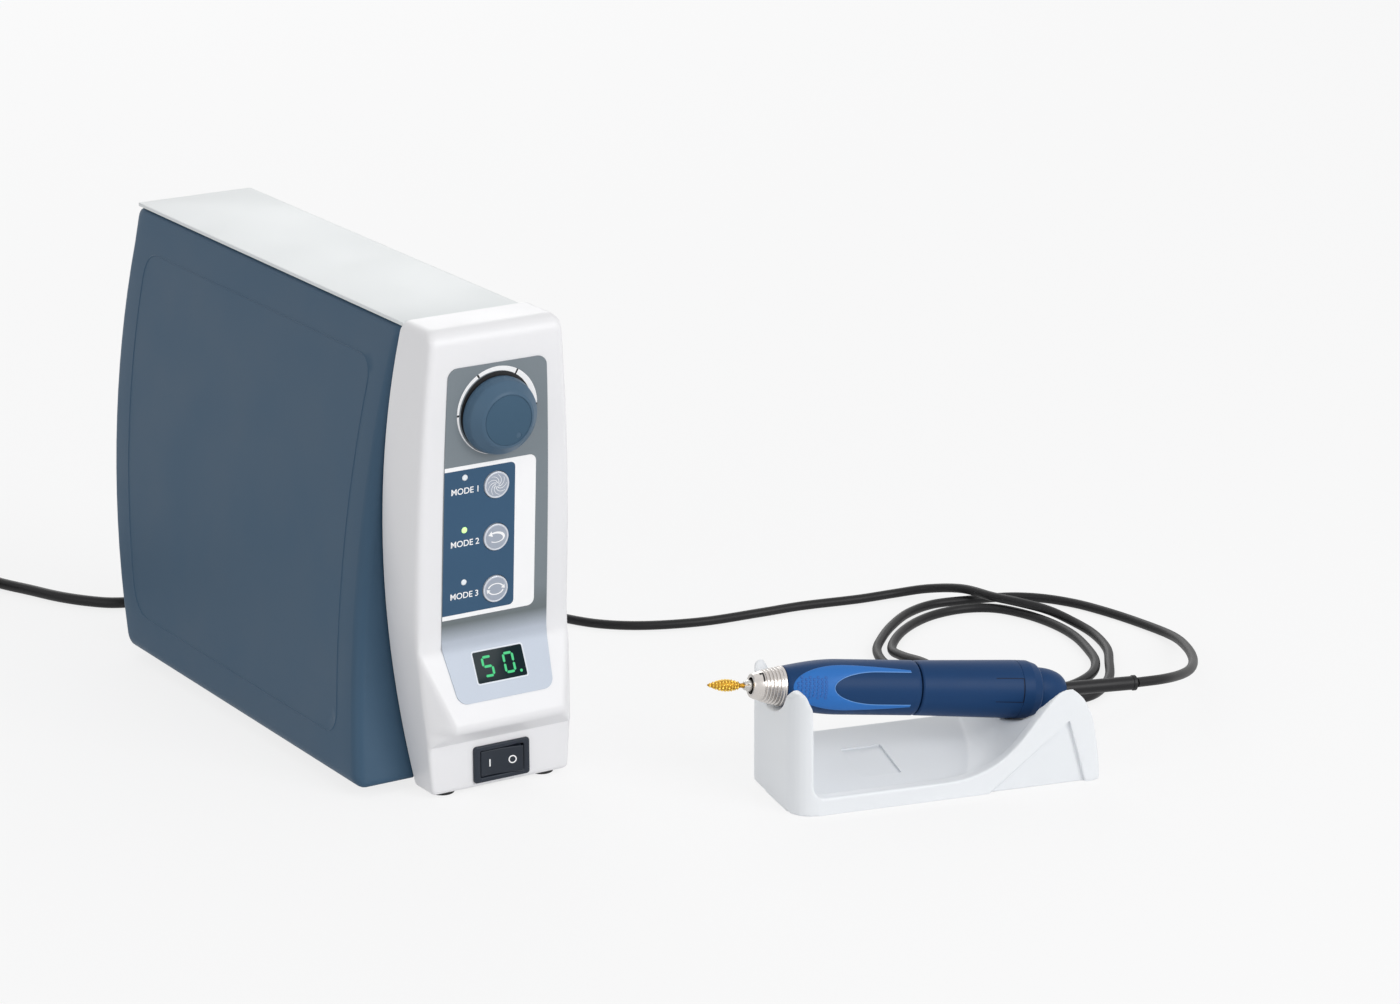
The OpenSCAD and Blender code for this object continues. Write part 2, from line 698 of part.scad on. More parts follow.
// Electronics on the base plate and the rear fittings
main_board_x = 24;
main_board_y = seam_y + 25.5;
main_board_l = back_y - 135;
main_board_h = unit_h - 90;
capacitor_up = 24;
capacitor_l = 20;
capacitor_r = 8;
core_size = [26, 56, 44];
winding_size = [28, 32, 28];
sink_base = [20, 40, 4];
fin_pitch = 4;
fin_t = 1.6;
fin_h = 26;
module main_board() {
    color("darkgreen") in_unit() translate([main_board_x, main_board_y, plate_top])
        cube([board_t, main_board_l, main_board_h]);
}
module capacitors() {
    color("midnightblue") in_unit() for (y = [18, 38])
        translate([main_board_x - capacitor_l, main_board_y + y, plate_top + capacitor_up])
            rotate([0, 90, 0]) cylinder(r = capacitor_r, h = capacitor_l);
}
module transformer() {
    color("goldenrod") in_unit() translate([-4, back_y - 135, plate_top]) {
        cube(core_size);
        translate((core_size - winding_size) / 2) cube(winding_size);
    }
}
module heat_sink() {
    color("lightgray") in_unit() translate([0, back_y - 185, plate_top]) {
        cube(sink_base);
        for (x = [0:fin_pitch:sink_base[0] - fin_pitch]) translate([x, 0, sink_base[2] - 1])
            cube([fin_t, sink_base[1], fin_h]);
    }
}
plug_start = panel_out(socket_z + socket_r + 2) + 3;
plug_l = 30;
plug_r = 6;
module motor_socket() {
    flange_r = socket_r + 2;
    color("dimgray") in_unit() translate([socket_x, plug_start, socket_z]) rotate([-90, 0, 0]) difference() {
        union() {
            translate([0, 0, -22]) cylinder(r = socket_r, h = 20);
            translate([0, 0, -3]) cylinder(r = flange_r, h = 3);
        }
        translate([0, 0, -10]) cylinder(r = plug_r + run_fit, h = 20);
    }
}
module motor_plug() {
    cord_r = motor_cord_d / 2;
    color("black") in_unit() translate([socket_x, plug_start, socket_z]) rotate([-90, 0, 0]) {
        translate([0, 0, -9]) cylinder(r = plug_r, h = 10);
        cylinder(r = 7.5, h = 14);
        translate([0, 0, 14]) cylinder(r1 = 6, r2 = cord_r + 1.2, h = plug_l - 14);
    }
}
module fuse_holder() {
    head_r = fuse_r + 1.5;
    color("black") in_unit() translate([fuse_x, panel_out(fuse_z + head_r), fuse_z]) rotate([-90, 0, 0]) {
        translate([0, 0, -26]) cylinder(r = fuse_r, h = 27);
        cylinder(r = head_r, h = 6);
    }
}
gland_head_r = gland_hole_r + 1;
gland_start = panel_out(gland_z + gland_head_r);
gland_end = gland_start + gland_l;
module cord_gland() {
    color("black") in_unit() translate([gland_x, gland_start, gland_z]) rotate([-90, 0, 0]) {
        translate([0, 0, -12]) cylinder(r = gland_hole_r, h = 13);
        cylinder(r1 = gland_head_r, r2 = mains_cord_d / 2 + 0.8, h = gland_l);
    }
}
foot_r = 6;
front_foot_x = 28;
rear_foot_x = [2, 26];
module rubber_feet() {
    color("black") in_unit() {
        for (x = [-front_foot_x, front_foot_x]) translate([x, seam(base_z) - foot_r - 3, 0])
            cylinder(r = foot_r, h = foot_h);
        for (x = rear_foot_x) translate([x, plate_back - foot_r - 10, 0]) cylinder(r = foot_r, h = base_z);
    }
}
// Cover screws on the right-hand side
screw_y = [seam_y + 33.5, back_y - 85];
screw_z = base_z + 15;
screw_r = 3;
screw_h = 1.6;
module cover_screws() {
    color("silver") in_unit() for (y = screw_y) translate([cover_w / 2, y, screw_z]) rotate([0, 90, 0])
        cylinder(r = screw_r, h = screw_h);
}

// Handpiece: turned shells around a tube that carries the bearings
tube_step = cone_l + 26;
tube_r = 7.4;
tube_wide_r = 10;
bearing_r = 6;
front_bearing_s = cone_l - 1;
slot_turn = 215;
function grip_radius(s) = let (u = (s - cone_l) / (0.42 * grip_l))
    u >= 1 ? grip_r : cone_r + (grip_r - cone_r) * sin(90 * u);
module nose_cone() {
    ridge = (cone_r - cone_tip_r) / cone_l;
    pitch = cone_l / 9.5;
    first = cone_l / 3;
    color("silver") in_hand() difference() {
        rotate_extrude() polygon(concat(
            [[spindle_r + 1.2, 0], [cone_tip_r - 0.8, 0], [cone_tip_r, 1.2],
             [cone_tip_r + (first - 0.3) * ridge, first - 0.3]],
            [for (k = [0:4]) let (s = first + k * pitch, r = cone_tip_r + (s + 0.6) * ridge) each [
                [r - 0.45, s], [r - 0.45, s + 0.35 * pitch], [r + 0.15, s + 0.55 * pitch],
                [r + ridge + 0.05, s + 0.9 * pitch]
            ]],
            [[cone_r, first + 5 * pitch + 0.3], [cone_r, cone_l - clear], [tube_r + run_fit, cone_l - clear],
             [tube_r + run_fit, 12], [spindle_r + 1.2, 12]]
        ));
        rotate(slot_turn) translate([0, -0.6, first - 2.2]) cube([20, 1.2, 2.2]);
    }
}
module inner_tube() {
    color("lightslategray") in_hand() rotate_extrude() polygon([
        [spindle_r + 0.8, 12], [tube_r, 12], [tube_r, tube_step], [tube_wide_r, tube_step],
        [tube_wide_r, housing_start + 4], [bearing_r, housing_start + 4],
        [bearing_r, front_bearing_s], [spindle_r + 0.8, front_bearing_s]
    ]);
}
module grip_sleeve() {
    color("midnightblue") in_hand() difference() {
        rotate_extrude() polygon(concat(
            [[tube_r + run_fit, cone_l], [cone_r - 0.3, cone_l]],
            [for (s = steps(cone_l + 0.8, cone_l + 0.42 * grip_l, 12)) [grip_radius(s), s]],
            [[grip_r, grip_end - 0.6], [grip_r - 0.6, grip_end], [tube_wide_r + run_fit, grip_end],
             [tube_wide_r + run_fit, tube_step - clear], [tube_r + run_fit, tube_step - clear]]
        ));
        insert_space(insert_t);
    }
}
// Horseshoe-shaped soft insert let into the grip, open towards the tail
insert_t = 1;
insert_w = 22;
insert_turn = 15;
insert_nose = 27;
insert_hollow = 24;
insert_arm = 2.9;
module insert_outline() {
    start = cone_l + 2.3;
    stop = grip_end - 5.2;
    half = insert_w / 2;
    inner = half - insert_arm;
    hollow = start + 20.5 + insert_hollow;
    difference() {
        union() {
            translate([start + insert_nose, 0]) scale([insert_nose / half, 1]) circle(half);
            polygon([
                [start + insert_nose, -half], [stop, 2 - half], [stop, half - 2], [start + insert_nose, half]
            ]);
        }
        translate([hollow, 0]) scale([insert_hollow / inner, 1]) circle(inner);
        translate([hollow, -inner]) square([grip_l, 2 * inner]);
    }
}
// The outline pushed out to the side that the insert faces
module insert_side() {
    rotate(-insert_turn) rotate([0, -90, 90]) linear_extrude(30) insert_outline();
}
module insert_space(deep_in) {
    intersection() {
        difference() {
            grip_skin(1);
            grip_skin(-deep_in);
        }
        insert_side();
    }
}
module grip_skin(out) {
    rotate_extrude() polygon(concat(
        [[0, cone_l]],
        [for (s = steps(cone_l, cone_l + 0.42 * grip_l, 12)) [grip_radius(s) + out, s]],
        [[grip_r + out, grip_end], [0, grip_end]]
    ));
}
module grip_insert() {
    color("dodgerblue") in_hand() intersection() {
        difference() {
            grip_skin(0.25);
            grip_skin(-insert_t);
        }
        insert_side();
    }
}
module rear_housing() {
    color("midnightblue") in_hand() rotate_extrude() polygon([
        [tube_wide_r, housing_start], [grip_r - 0.6, housing_start], [grip_r, housing_start + 0.6],
        [housing_r, housing_end], [housing_r - 0.3, housing_end + 0.3], [tail_r, tail_end - 0.6],
        [tail_r - 0.6, tail_end], [tail_r - 4, tail_end], [tail_r - 4, tail_end - 3],
        [stator_r, tail_end - 3], [stator_r, housing_start + 4], [tube_wide_r, housing_start + 4]
    ]);
}
module rear_cap() {
    color("midnightblue") difference() {
        in_hand() rotate_extrude() polygon(concat(
            [[0, tail_end - 3], [tail_r - 4, tail_end - 3], [tail_r - 4, tail_end], [cap_r, tail_end]],
            [for (a = steps(0, 80, 8))
                [sleeve_r + (cap_r - sleeve_r) * cos(a), tail_end + 1 + (cap_l - 1) * sin(a)]],
            [[sleeve_r, cap_end], [0, cap_end]]
        ));
        in_sleeve() cylinder(r = sleeve_r + run_fit, h = 2 * sleeve_in);
    }
}
module in_sleeve() {
    in_hand() translate([0, 0, cap_end - sleeve_in]) rotate([0, sleeve_tilt - hand_tilt, 0]) children();
}
module cord_sleeve() {
    whole = sleeve_l + sleeve_in;
    color("black") in_sleeve() {
        cylinder(r = sleeve_r, h = whole);
        translate([0, 0, whole - 2]) cylinder(r = sleeve_r + 0.4, h = 1.6);
    }
}
// Motor: stator in the housing, rotor on the spindle, a bearing at each end
stator_r = 11.6;
rotor_r = 7;
rotor_start = housing_start + 9;
rotor_l = 36;
rear_bearing_s = rotor_start + rotor_l + 5;
spindle_start = 4;
module stator() {
    color("peru") in_hand() translate([0, 0, housing_start + 4]) ring(stator_r, rotor_r + clear, rotor_l + 10);
}
module rotor() {
    color("dimgray") in_hand() translate([0, 0, rotor_start]) ring(rotor_r, spindle_r, rotor_l);
}
module front_bearing() {
    color("silver") in_hand() translate([0, 0, front_bearing_s]) ring(bearing_r, spindle_r + run_fit, 5);
}
module rear_bearing() {
    color("silver") in_hand() translate([0, 0, rear_bearing_s + 1]) ring(stator_r, spindle_r + run_fit, 5);
}
collet_r = 2;
module spindle() {
    color("silver") in_hand() difference() {
        translate([0, 0, spindle_start]) cylinder(r = spindle_r, h = rear_bearing_s + 7 - spindle_start);
        translate([0, 0, spindle_start - 1]) cylinder(r = collet_r, h = 19);
    }
}
module collet() {
    color("darkgray") in_hand() difference() {
        union() {
            translate([0, 0, -3.5]) cylinder(r1 = 2.2, r2 = 3, h = 2);
            translate([0, 0, -1.5]) cylinder(r = 3, h = spindle_start + 1.5 - 0.2);
            cylinder(r = collet_r, h = 20);
        }
        translate([0, 0, -4]) cylinder(r = shank_r + shank_fit, h = 23);
    }
}
module bur() {
    head = 17;
    color("gold") in_hand() rotate_extrude() polygon(concat(
        [[0, -bur_reach]],
        [for (u = steps(0, 1, 10)) [bur_r * sin(12 + 138 * u), 0.3 + head * u - bur_reach]],
        [[shank_r, head + 1.3 - bur_reach], [shank_r, 18], [0, 18]]
    ));
}

// Stand: a low tray with a notched wall for the nose and a saddle for the housing
rail = 7;
stand_rise = stand_l - 68;
floor_slope = atan2(back_rim_h - stand_floor_t, stand_w - rail);
// Smooth bend from p to r that leans towards q
function bend(p, q, r, n) = [for (i = [0:n]) let (u = i / n) (1 - u) * (1 - u) * p + 2 * u * (1 - u) * q + u * u * r];
module stand_side() {
    polygon(concat(
        [[0, 0], [0, horn_h - 3], [3, horn_h], [6, horn_h], [horn_t - 0.5, horn_h - 8], [horn_t, back_rim_h + 8]],
        arc_pts(horn_t + 6, back_rim_h + 6, 6, 180, 270, 6),
        bend([stand_rise - 16, back_rim_h], [stand_rise + 4, back_rim_h], [stand_rise + 23, rim_h + 16], 8),
        bend([stand_l - 28, rear_horn_h - 6], [stand_l - 23, rear_horn_h], [stand_l - 18, rear_horn_h - 1], 5),
        bend([stand_l - 16, rear_horn_h - 2], [stand_l - 8, rear_horn_h - 9], [stand_l - 5, rear_horn_h - 22], 5),
        [[stand_l, 0]]
    ));
}
module stand_hull_cut() {
    translate([0, 0, -1]) linear_extrude(horn_h + 2) polygon(concat(
        arc_pts(12, 12, 12, 180, 270, 6), arc_pts(stand_l - 6, 6, 6, 270, 360, 6),
        arc_pts(stand_l - 10, stand_w - 10, 10, 0, 90, 6), arc_pts(18, stand_w - 18, 18, 90, 180, 6)
    ));
}
// Extrudes an end view (across, up) along the stand
module along_stand(start, stop) {
    translate([start, 0, 0]) rotate([90, 0, 90]) linear_extrude(stop - start) children();
}
// The end view, its back edge drawn in below and above the back rim
module stand_end_cut() {
    along_stand(-1, stand_l + 1) polygon([
        [-1, -1], [stand_w - 9, -1], [stand_w - 9, 0], [stand_w, back_rim_h],
        [stand_w - 11, horn_h], [stand_w - 11, horn_h + 1], [-1, horn_h + 1]
    ]);
}
// Cut over the front rim
module stand_rim_cut() {
    translate([0, rail + 1, 0]) rotate([90, 0, 0]) linear_extrude(rail + 2) polygon(concat(
        [[horn_t, horn_h + 1]], arc_pts(horn_t + 6, rim_h + 6, 6, 180, 270, 6),
        bend([stand_rise - 16, rim_h], [stand_rise + 8, rim_h], [stand_rise + 23, rim_h + 16], 8),
        [[stand_rise + 23, horn_h + 1]]
    ));
}
// Hollow between the rims: its floor rises to the back and follows the rise to the rear horns
module stand_hollow() {
    lift = tan(floor_slope);
    intersection() {
        translate([0, stand_w + 1, 0]) rotate([90, 0, 0]) linear_extrude(stand_w + 1 - rail) polygon(concat(
            [[horn_t, horn_h + 1]], arc_pts(horn_t + 6, stand_floor_t + 6, 6, 180, 270, 6),
            bend([stand_rise - 12, stand_floor_t], [stand_rise + 12, stand_floor_t], [stand_rise + 26, rim_h + 14], 8),
            [[stand_l - 30, rear_horn_h - 11], [stand_l - 30, horn_h + 1]]
        ));
        along_stand(0, stand_l) polygon([
            [rail, stand_floor_t], [stand_w + 1, back_rim_h + lift], [stand_w + 1, horn_h + 2], [rail, horn_h + 2]
        ]);
    }
}
module on_axis(s) {
    translate([-nose_out, stand_w / 2, nose_z]) rotate([0, 90 + hand_tilt, 0]) translate([0, 0, s]) children();
}
module stand() {
    seat_drop = housing_r + clear;
    nose_drop = grip_radius(nose_out + horn_t + 1) + clear;
    color("white") in_stand() difference() {
        intersection() {
            translate([0, stand_w, 0]) rotate([90, 0, 0]) linear_extrude(stand_w) stand_side();
            stand_hull_cut();
            stand_end_cut();
        }
        stand_rim_cut();
        stand_hollow();
        trough(-nose_out, 3 * nose_out + horn_t, notch_r, nose_drop);
        trough(stand_l / 2, 2 * stand_l, saddle_r, seat_drop);
        translate([stand_l * 0.27, rail, stand_floor_t]) rotate([floor_slope, 0, 0])
            translate([0, 16, -0.8]) cube([20, 28, 10]);
        stand_recess();
    }
}
// Round cut along the handpiece, its bottom at a distance under the axis
module trough(start, stop, r, drop) {
    on_axis(start) translate([drop - r, 0, 0]) cylinder(r = r, h = stop - start);
}
module stand_recess() {
    apex = [stand_l - 19, rear_horn_h - 19];
    translate([0, 2, 0]) rotate([90, 0, 0]) linear_extrude(6)
        polygon([[stand_l - 60, 1], apex, [stand_l - 10, 1], [stand_l - 10, -1], [stand_l - 60, -1]]);
}

// Leads. Points behind the unit are measured from its back, the others from its reference lines.
function from_back(points) = [for (p = points) [p[0], back_y + p[1], p[2]]];
motor_route = concat(from_back([
    [10, 21, 59.5], [13, 41, 52], [24, 59, 38], [42, 67, 22], [64, 61, 10], [86, 39, 4]
]), [
    [104, 334, 2.6], [120, 298, 2.6], [134, 258, 2.6], [146, 222, 2.6], [156, 197, 2.6],
    [166, 181, 2.6], [183, 167, 2.6], [214, 155, 2.6], [250, 151, 2.6], [275, 149, 2.6],
    [310, 142, 2.6], [330, 139, 3], [346, 130, 5.5], [357, 112, 8.6], [363, 91, 8.8], [370, 75, 8.6],
    [378, 60, 7], [383, 43, 4], [383, 27, 2.6], [374, 2, 2.6], [362, -16, 2.6], [345, -38, 2.6],
    [322, -54, 2.6], [302, -53, 3], [284, -42, 5.5], [272, -22, 8.6], [268, 0, 8.8], [268, 22, 8.6],
    [270, 42, 5.5], [275, 60, 3], [292, 79, 2.6], [312, 92, 2.6], [331, 98, 2.6], [350, 97, 2.6],
    [363, 89, 2.6], [371, 72, 2.6], [374, 50, 2.6], [372, 29, 2.6], [365, 7, 2.6], [356, -12, 2.6],
    [342, -27, 2.6], [320, -36, 2.6], [296, -34, 2.6], [278, -20, 2.6], [266, 0, 2.6], [260, 22, 2.6],
    [260, 44, 2.6], [268, 64, 2.6], [281, 79, 2.6], [299, 95, 2.6], [319, 108, 2.6], [338, 113, 2.6],
    [358, 109, 2.6], [382, 101, 2.6], [395, 90, 2.6], [405, 73, 2.6], [411, 52, 2.6], [415, 27, 2.6],
    [414, -2, 4], [400, -33, 9], [374, -72, 17], [344, -104, 26], [316, -122, 33]
]);
mains_route = from_back([
    [24, 5, 29], [23, 17, 23], [15, 28, 13], [0, 31, 7], [-18, 27, 4], [-32, 24, 3.1],
    [-43, 28, 3.1], [-53, 38, 3.1], [-63, 53, 3.1], [-72, 73, 3.1], [-81, 93, 3.1]
]);
function unit3(v) = v / norm(v);
function frame_side(t) = let (s = cross([0, 0, 1], t)) norm(s) < 0.01 ? [1, 0, 0] : unit3(s);
function way(p, i) = unit3(p[min(i + 1, len(p) - 1)] - p[max(i - 1, 0)]);
function tube_loop(c, t, r, n) = let (s = frame_side(t), u = cross(t, s))
    [for (k = [0:n - 1]) c + r * (cos(360 * (k + 0.5) / n) * s + sin(360 * (k + 0.5) / n) * u)];
module tube(path, r, n, first, last) {
    m = len(path) - 1;
    skin([for (i = [0:m]) tube_loop(path[i], i == 0 ? first : i == m ? last : way(path, i), r, n)]);
}
// Least distance of a path to its own other stretches, less its diameter
function self_gap(p, d, skip) =
    min([for (i = [0:len(p) - 1 - skip], j = [i + skip:1:len(p) - 1]) norm(p[i] - p[j])]) - d;
// The same path with points between its own, for measuring
function finer(p, n) = [for (i = [0:len(p) - 2], k = [0:n - 1]) p[i] + (p[i + 1] - p[i]) * k / n];
function sum(v, i = 0) = i < len(v) ? v[i] + sum(v, i + 1) : 0;
function path_len(p) = sum([for (i = [0:len(p) - 2]) norm(p[i + 1] - p[i])]);

// Put-away mains coil: it spirals in, climbs a layer, spirals out and ends at the plug
coil_x = -141;
coil_y = back_y + 116;
coil_start = 30;
coil_steps = 24;
tie_t = 1;
tie_w = 10;
tie_gap = 0.4;
coil_low = mains_cord_d / 2 + tie_t + tie_gap;
coil_pitch = mains_cord_d + coil_gap;
coil_inner = coil_r - coil_pitch * coil_turns / 2;
coil_end = coil_turns + (180 - coil_start) / 360;
function ease(u) = let (v = max(0, min(1, u))) v * v * (3 - 2 * v);
function coil_radius(t) = t < coil_turns ? coil_r - coil_pitch * min(t, coil_turns - t)
    : coil_r + 1.05 * coil_pitch * ease((t - coil_turns) / 0.14);
function coil_height(t) = t < coil_turns ? coil_low + coil_pitch * ease((t - coil_turns / 2 + 0.25) / 0.5)
    : coil_low + coil_pitch * (1 - ease((t - coil_turns - 0.03) / 0.24));
function coil_pt(t) = let (a = coil_start + 360 * t)
    [coil_x + coil_radius(t) * cos(a), coil_y + coil_radius(t) * sin(a), coil_height(t)];
function coil_way(t) = let (a = coil_start + 360 * t) [-sin(a), cos(a), 0];
coil_path = concat(
    [for (i = [0:coil_steps * coil_end]) coil_pt(i / coil_steps)],
    [coil_pt(coil_end) + mains_cord_d * coil_way(coil_end)]
);
plug_at = coil_path[len(coil_path) - 1];

plug_end = plug_start + plug_l;
coil_lead = 2 * mains_cord_d;
motor_path = concat([[socket_x, plug_end, socket_z]], motor_route, [hand_tail + clear * sleeve_way]);
mains_path = concat(
    [[gland_x, gland_end, gland_z]], mains_route,
    [coil_pt(0) - coil_lead * coil_way(0), coil_pt(0)]
);
module motor_cord() {
    color("black") in_unit() tube(motor_path, motor_cord_d / 2, 8, [0, 1, 0], -sleeve_way);
}
module mains_cord() {
    color("black") in_unit() tube(mains_path, mains_cord_d / 2, 8, [0, 1, 0], coil_way(0));
}
module mains_coil() {
    color("black") in_unit() tube(coil_path, mains_cord_d / 2, 6, coil_way(0), coil_way(coil_end));
}
// Strap round the bundle of turns
tie_turn = 200;
module coil_tie() {
    inner_r = coil_inner - mains_cord_d / 2 - tie_gap;
    outer_r = coil_r + mains_cord_d / 2 + tie_gap;
    low = coil_low - mains_cord_d / 2 - tie_gap;
    high = coil_low + coil_pitch + mains_cord_d / 2 + tie_gap;
    color("dimgray") in_unit() translate([coil_x, coil_y, 0]) rotate(coil_start + tie_turn)
        translate([0, tie_w / 2, 0]) rotate([90, 0, 0]) linear_extrude(tie_w) difference() {
            translate([inner_r - tie_t, low - tie_t])
                square([outer_r - inner_r + 2 * tie_t, high - low + 2 * tie_t]);
            translate([inner_r, low]) square([outer_r - inner_r, high - low]);
        }
}
// Moulded mains plug with two round pins, lying flat
plug_neck = 18;
plug_body = 20;
plug_wide = 17;
module mains_plug() {
    flat = plug_at[2];
    color("black") in_unit() translate(plug_at) rotate([90, 0, 0]) {
        cylinder(r1 = mains_cord_d / 2 + 0.6, r2 = flat, h = plug_neck);
        translate([0, 0, plug_neck]) intersection() {
            cylinder(r1 = plug_wide / 2, r2 = plug_wide, h = plug_body);
            translate([-plug_wide, -flat, 0]) cube([2 * plug_wide, 2 * flat, plug_body]);
        }
        for (x = [-plug_pitch / 2, plug_pitch / 2]) translate([x, 0, plug_neck + plug_body - 1])
            cylinder(r = plug_pin_r, h = plug_pin_l + 1);
    }
}

echo(motor_cord_self_gap = self_gap(finer(motor_path, 4), motor_cord_d, 8));
echo(mains_coil_self_gap = self_gap(coil_path, mains_cord_d, 12));
echo(motor_cord_length = path_len(motor_path), mains_length = path_len(mains_path) + path_len(coil_path));

front_bezel();
top_cover();
rear_panel();
base_plate();
side_wall();
panel_overlay();
display_window();
display_module();
indicator_lenses();
front_board();
push_switches();
speed_pot();
speed_knob();
pot_shaft();
button_top();
button_mid();
button_low();
switch_frame();
switch_rocker();
knee_pad();
pad_hinge_arms();
hinge_brackets();
hinge_pin();
pad_sensor();
pad_plunger();
main_board();
capacitors();
transformer();
heat_sink();
motor_socket();
motor_plug();
fuse_holder();
cord_gland();
rubber_feet();
cover_screws();
nose_cone();
collet();
bur();
grip_sleeve();
grip_insert();
rear_housing();
rear_cap();
cord_sleeve();
inner_tube();
spindle();
front_bearing();
rear_bearing();
rotor();
stator();
stand();
motor_cord();
mains_cord();
mains_coil();
coil_tie();
mains_plug();
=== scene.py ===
"""Bench micromotor set: knee-operated control unit, handpiece on its stand, and leads.

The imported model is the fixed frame. This script gives it rounded shells, a printed panel, finishes
and cords at their real length, and sets up the floor, the lamps and the camera.

Sizes in the classes are millimetres on the unit's own reference lines: X from the bezel's middle,
Y from the panel's reference line to the back, Z from the table. Meshes are metres in the model's frame.
"""

from __future__ import annotations

import logging
import math
from dataclasses import dataclass, field
from enum import Enum
from typing import Callable, Iterable, Sequence

import bmesh
import bpy
from mathutils import Matrix, Vector

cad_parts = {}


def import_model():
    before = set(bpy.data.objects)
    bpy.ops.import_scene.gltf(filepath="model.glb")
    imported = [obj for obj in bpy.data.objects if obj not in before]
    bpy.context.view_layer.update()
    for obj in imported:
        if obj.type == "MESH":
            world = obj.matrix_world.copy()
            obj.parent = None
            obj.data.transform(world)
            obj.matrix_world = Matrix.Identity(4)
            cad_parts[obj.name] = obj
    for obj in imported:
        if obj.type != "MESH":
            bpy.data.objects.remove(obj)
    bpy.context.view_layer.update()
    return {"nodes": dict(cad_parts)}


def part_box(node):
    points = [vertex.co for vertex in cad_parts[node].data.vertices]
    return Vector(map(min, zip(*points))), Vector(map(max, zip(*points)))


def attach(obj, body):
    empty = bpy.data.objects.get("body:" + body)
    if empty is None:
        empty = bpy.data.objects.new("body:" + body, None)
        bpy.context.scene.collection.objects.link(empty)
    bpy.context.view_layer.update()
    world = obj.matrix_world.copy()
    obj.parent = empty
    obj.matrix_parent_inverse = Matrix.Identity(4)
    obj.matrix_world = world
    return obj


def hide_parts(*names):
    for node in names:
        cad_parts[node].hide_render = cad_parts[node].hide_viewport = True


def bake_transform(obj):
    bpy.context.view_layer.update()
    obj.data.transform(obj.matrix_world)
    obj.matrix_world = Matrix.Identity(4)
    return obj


Point2 = tuple[float, float]
Triple = tuple[float, float, float]
Colour8 = tuple[int, int, int]
Link = tuple[bpy.types.Node, str | int, bpy.types.Node, str | int]

MM = 0.001
COAT_ROUGH = 0.08
# Numbers of the colour sockets of a Mix node, whose names its other kinds share
MIX_FIRST, MIX_SECOND, MIX_COLOUR = 6, 7, 2
LOG = logging.getLogger("micromotor")


def spread(start: float, stop: float, count: int) -> list[float]:
    """Values at even steps.

    Args:
        start: first value.
        stop: last value.
        count: number of steps.

    Returns:
        count + 1 values from start to stop.
    """
    return [start + (stop - start) * i / count for i in range(count + 1)]


def bow(radius: float, distance: float) -> float:
    """Fall of an arc of that radius at a distance from its middle."""
    return radius - math.sqrt(radius * radius - distance * distance)


def ease(share: float) -> float:
    """Smooth step from 0 to 1."""
    u = min(1.0, max(0.0, share))
    return u * u * (3 - 2 * u)


def mix(start: float, stop: float, share: float) -> float:
    """Value at a share of the way between two values."""
    return start + (stop - start) * share


def between(start: Sequence[float], stop: Sequence[float], share: float) -> Point2:
    """Point at a share of the straight way between two points."""
    return mix(start[0], stop[0], share), mix(start[1], stop[1], share)


def linear(colour: Colour8) -> tuple[float, float, float, float]:
    """Linear colour of an 8-bit screen colour.

    Args:
        colour: red, green and blue from 0 to 255.

    Returns:
        Red, green, blue and alpha for a shader socket.
    """
    channels = [c / 255 for c in colour]
    return (*[c / 12.92 if c <= 0.04045 else ((c + 0.055) / 1.055) ** 2.4 for c in channels], 1.0)


# Outlines and skins


def rounded(corners: Sequence[Triple], steps: int = 5, closed: bool = True) -> list[Point2]:
    """Outline through corners, each rounded by its own radius.

    Args:
        corners: x, y and radius of each corner.
        steps: number of steps in each round.
        closed: whether the last corner joins the first.

    Returns:
        Points of the outline.
    """
    points: list[Point2] = []
    count = len(corners)
    for i, (x, y, radius) in enumerate(corners):
        at = Vector((x, y))
        if radius <= 0 or (not closed and i in (0, count - 1)):
            points.append((x, y))
            continue
        before = Vector(corners[i - 1][:2]) - at
        after = Vector(corners[(i + 1) % count][:2]) - at
        half = before.angle(after) / 2
        reach = min(radius / math.tan(half), 0.499 * before.length, 0.499 * after.length)
        middle = at + (before.normalized() + after.normalized()).normalized() * reach / math.cos(half)
        first = at + before.normalized() * reach - middle
        last = at + after.normalized() * reach - middle
        turn = math.atan2(first.x * last.y - first.y * last.x, first.dot(last))
        for share in spread(0, 1, steps):
            arm = first.copy()
            arm.rotate(Matrix.Rotation(turn * share, 2))
            points.append((middle.x + arm.x, middle.y + arm.y))
    return points


def rounded_box(width: float, height: float, radius: float, steps: int = 5) -> list[Point2]:
    """Outline of a box with rounded corners, round its own middle."""
    x, y = width / 2, height / 2
    return rounded([(x, -y, radius), (x, y, radius), (-x, y, radius), (-x, -y, radius)], steps)


def circle(radius: float, sides: int = 64, x: float = 0.0, y: float = 0.0) -> list[Point2]:
    """Outline of a circle."""
    turns = [2 * math.pi * i / sides for i in range(sides)]
    return [(x + radius * math.cos(a), y + radius * math.sin(a)) for a in turns]


def drawn_in(outline: Sequence[Point2], amount: float) -> list[Point2]:
    """Outline moved inwards along its own normals.

    Args:
        outline: points in counter-clockwise order.
        amount: distance to move, in millimetres.

    Returns:
        As many points as the outline has.
    """
    moved = []
    for i, (x, y) in enumerate(outline):
        x0, y0 = outline[i - 1]
        x1, y1 = outline[(i + 1) % len(outline)]
        way = Vector((x1 - x0, y1 - y0)).normalized()
        moved.append((x - way.y * amount, y + way.x * amount))
    return moved


